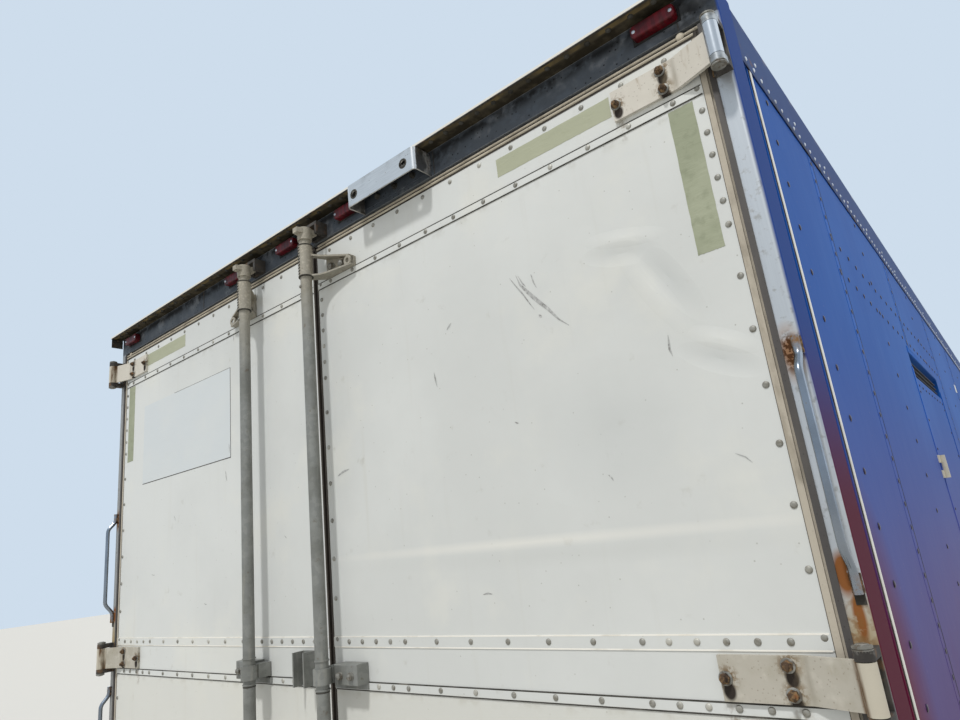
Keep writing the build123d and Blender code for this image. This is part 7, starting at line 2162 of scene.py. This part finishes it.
@dataclass
class ChassisDressing:
    """Bolts and clamps under the floor, on the suspension, the guard and the legs."""

    crossmembers: int = 39

    def build(self) -> None:
        """Build and dress the chassis fastenings."""
        self.mud_flap_bolts()
        self.hanger_bolts()
        self.rail_clips()
        self.leg_bolts()
        self.guard_bolts()
        self.chamber_clamps()
        self.connector_details()

    def mud_flap_bolts(self) -> None:
        """Clamp each mud flap with a strip and a row of bolts."""
        high = extent("mud_flaps")[1]
        bolts, strips = Form(), Form()
        for hand in (-1, 1):
            middle = hand * (high.x - 305)
            strips.place(plate(600, 34, 3, 1), stand((middle, high.y, high.z - 16), Way.FRONT))
            bolts.place(hex_bolt(13, 7, 10),
                        *[stand((middle + dx, high.y + 3, high.z - 16), Way.FRONT, dx)
                          for dx in steps_between(-270, 270, 90)])
        strips.piece("mud_flap_strips", MillAluminium(), "rail_aluminium")
        bolts.piece("mud_flap_bolts", NutSteel(), "chassis_black")

    def hanger_bolts(self) -> None:
        """Bolt the spring hangers to the subframe and nut the spring clamps."""
        low, high = extent("spring_hangers")
        bolts = Form()
        head = hex_bolt(19, 9, 14)
        for y in (low.y + 100, (low.y + high.y) / 2, high.y - 100):
            for hand in (-1, 1):
                for dy in (-60, 60):
                    for x, way in ((high.x, Way.outward(hand)), (high.x - 100, Way.inward(hand))):
                        bolts.place(head, stand((hand * x, y + dy, high.z - 30), way, dy))
        bolts.piece("hanger_bolts", NutSteel(), "chassis_black")

    def rail_clips(self) -> None:
        """Bolt each crossmember's end plate to the bottom rails."""
        low, high = extent("crossmembers")
        clips, bolts = Form(), Form()
        for number in range(self.crossmembers):
            y = low.y + 28.5 + number * (high.y - low.y - 57) / (self.crossmembers - 1)
            for hand in (-1, 1):
                clips.place(plate(70, 60, 4, 1), stand((hand * 1225, y + 2, BEAM_BOTTOM), Way.DOWN))
                bolts.place(rivet(7, 5, 8),
                            *[stand((hand * 1225 + dx, y + 2, BEAM_BOTTOM - 4), Way.DOWN) for dx in (-22, 22)])
        clips.piece("crossmember_clips", MillAluminium(), "rail_aluminium")
        bolts.piece("crossmember_bolts", NutSteel(), "chassis_black")

    def leg_bolts(self) -> None:
        """Bolt the landing legs' plates and the gearbox cover."""
        low, high = extent("landing_legs")
        bolts = Form()
        middle_y = (low.y + high.y) / 2
        for hand in (-1, 1):
            for dx in (-95, 95):
                for dy in (-95, 95):
                    bolts.place(hex_bolt(19, 9, 14),
                                stand((hand * 860 + dx, middle_y + dy, BEAM_BOTTOM - 12), Way.DOWN))
        for dy in (-60, 60):
            for dz in (-95, 95):
                bolts.place(hex_bolt(13, 6, 9), stand((low.x, middle_y + dy, 818 + dz), Way.LEFT))
        bolts.piece("landing_leg_bolts", NutSteel(), "leg_paint")

    def guard_bolts(self) -> None:
        """Bolt the impact guard's struts under the sill and band its bar."""
        low, high = extent("rear_guard")
        bolts, bands = Form(), Form()
        for hand in (-1, 1):
            for dz in (-40, -90, -140):
                bolts.place(hex_bolt(19, 9, 14),
                            *[stand((hand * 560 + dx, low.y, high.z + dz), Way.REAR) for dx in (-22, 22)])
        for x in steps_between(-1120, 1120, 280):
            bands.place(plate(130, 60, 0.6), stand((x, low.y, low.z + 50), Way.REAR))
        bolts.piece("impact_guard_bolts", NutSteel(), "chassis_black")
        bands.piece("impact_guard_tape", FadedTape(), "door_white")

    def chamber_clamps(self) -> None:
        """Close each brake chamber's clamp band with a lug."""
        low, high = extent("brake_chambers")
        lugs = Form()
        for axle_y in (low.y + 330, high.y + 125):
            for hand in (-1, 1):
                x = hand * (abs(low.x) - 97)
                lugs.place(plate(26, 20, 16, 3), stand((x, axle_y - 252, (low.z + high.z) / 2 + 95), Way.UP))
        lugs.piece("chamber_clamp_lugs", NutSteel(), "brake_grey")

    def connector_details(self) -> None:
        """Fit hinged covers and screws on the front connectors."""
        low, high = extent("front_connectors")
        covers, screws = Form(), Form()
        middle_z = (low.z + high.z) / 2
        box_face = high.y - 35
        for x in (-390, -250, -110):
            covers.place(lathe([(38, 0), (38, 3), (35, 5), (31, 5)], 24),
                         stand((x, box_face + 26, middle_z), Way.FRONT))
            covers.place(plate(30, 14, 10, 2), stand((x, box_face + 12, middle_z + 36), Way.UP))
        for x in (-445, -320, -180, -55):
            for dz in (-70, 70):
                screws.place(rivet(5, 3, 10), stand((x, box_face, middle_z + dz), Way.FRONT))
        covers.piece("connector_covers", CastCoupling(), "connector_plastic")
        screws.piece("connector_screws", BrightRivet(), "rail_aluminium")


@dataclass
class InteriorDressing:
    """Scuff rails and lining joints in the load space."""

    scuff_height: float = 240.0

    def build(self) -> None:
        """Build and dress the inside of the walls."""
        scuffs, joints = Form(), Form()
        door = extent("side_door")
        for hand in (-1, 1):
            way = Way.inward(hand)
            spans = [(POST_FRONT + 30, WALL_FRONT - 30)] if hand < 0 else [
                (POST_FRONT + 30, door[0].y - 60), (door[1].y + 60, WALL_FRONT - 30)]
            for low, high in spans:
                scuffs.place(plate(high - low, self.scuff_height, 3, 1),
                             stand((hand * INNER, (low + high) / 2, FLOOR + 4 + self.scuff_height / 2), way))
            for y in steps_between(POST_FRONT + 60, WALL_FRONT - 60, 1219):
                if hand > 0 and door[0].y - 60 < y < door[1].y + 60:
                    continue
                joints.place(plate(40, ROOF - FLOOR - 330, 2, 0.6),
                             stand((hand * INNER, y, (ROOF + FLOOR) / 2 + 80), way))
        scuffs.piece("inner_scuff_rails", MillAluminium(), "rail_aluminium")
        joints.piece("inner_lining_joints", MillAluminium(), "rail_aluminium")


@dataclass
class Studio:
    """The pale floor, the soft lamps, the sky-pale backdrop and the camera."""

    lens: float = 24.75
    at: Triple = (1.529, -8.463, 2.802)
    right: Triple = (0.7616, 0.6389, -0.1083)
    down: Triple = (-0.2539, 0.1401, -0.9571)
    key_height: float = 58.0
    key_strength: float = 2.15
    world_strength: float = 0.66
    backdrop: str = "#CEDDEC"
    floor_colour: str = "#C4C4C0"

    def build(self) -> None:
        """Set the stage round the trailer."""
        self.floor()
        self.world()
        self.lamps()
        self.camera()
        bpy.context.scene.view_settings.view_transform = "Standard"

    def floor(self) -> None:
        """Lay the plain pale floor."""
        mesh = bpy.data.meshes.new("studio_floor")
        mesh.from_pydata([(-80, -80, 0), (80, -80, 0), (80, 80, 0), (-80, 80, 0)], [], [(0, 1, 2, 3)])
        made = linked("studio_floor", mesh)
        surface = bpy.data.materials.new("pale_floor")
        surface.use_nodes = True
        tree = surface.node_tree
        tree.nodes.clear()
        shader = add_node(tree, "BsdfDiffuse", {"Color": linear(self.floor_colour), "Roughness": 0.3})
        add_node(tree, "OutputMaterial", links={0: shader.outputs[0]})
        mesh.materials.append(surface)

    def world(self) -> None:
        """Light evenly from all round, and show the camera and shiny surfaces a pale backdrop."""
        world = bpy.data.worlds.new("studio")
        world.use_nodes = True
        bpy.context.scene.world = world
        tree = world.node_tree
        tree.nodes.clear()
        path = add_node(tree, "LightPath")
        seen = path.outputs["Is Camera Ray"]
        for name in ("Is Glossy Ray", "Is Transmission Ray"):
            seen = add_node(tree, "Math", {"operation": "MAXIMUM"}, {0: seen, 1: path.outputs[name]}).outputs[0]
        soft = add_node(tree, "Background", {"Color": (1, 1, 1, 1), "Strength": self.world_strength})
        pale = add_node(tree, "Background", {"Color": linear(self.backdrop), "Strength": 1.0})
        both = add_node(tree, "MixShader", {}, {0: seen, 1: soft.outputs[0], 2: pale.outputs[0]})
        add_node(tree, "OutputWorld", links={0: both.outputs[0]})

    def lamps(self) -> None:
        """Hang the key lamp high behind the doors and two soft fills ahead."""
        rows = (
            ("key", self.key_strength, 5.0,
             (0.09, -math.cos(math.radians(self.key_height)), math.sin(math.radians(self.key_height)))),
            ("fill_right", 0.5, 60.0, (0.8, 0.5, 0.45)),
            ("fill_left", 0.45, 60.0, (-0.8, 0.45, 0.45)),
        )
        for name, strength, softness, source in rows:
            lamp = bpy.data.lights.new(name, "SUN")
            lamp.energy = strength
            lamp.angle = math.radians(softness)
            made = linked(name, lamp)
            made.rotation_mode = "QUATERNION"
            made.rotation_quaternion = Vector(source).to_track_quat("Z", "Y")

    def camera(self) -> None:
        """Stand the camera where the photograph was taken from."""
        data = bpy.data.cameras.new("camera")
        data.lens = self.lens
        data.sensor_width = 36.0
        data.clip_start, data.clip_end = 0.05, 300.0
        made = linked("camera", data)
        across = Vector(self.right).normalized()
        up = -(Vector(self.down) - across * Vector(self.down).dot(across)).normalized()
        back = across.cross(up)
        made.matrix_world = Matrix.Translation(Vector(self.at)) @ Matrix((across, up, back)).transposed().to_4x4()
        bpy.context.scene.camera = made


def main() -> None:
    """Build the studio and every sub-assembly in order."""
    logging.basicConfig(level=logging.INFO, format="%(name)s %(message)s")
    Studio().build()
    CarriedParts().dress()
    for side, hand in (("left", -1), ("right", 1)):
        DoorDressing(side, hand).build()
        RodFittings(side, hand).build()
        DoorHardware(side, hand).build()
        SideDressing(side, hand).build()
    RearFrameDressing().build()
    FrontDressing().build()
    RoofDressing().build()
    InteriorDressing().build()
    ChassisDressing().build()
    for name in WHEEL_ENDS:
        WheelEnd(name).build()


if __name__ == "__main__":
    main()
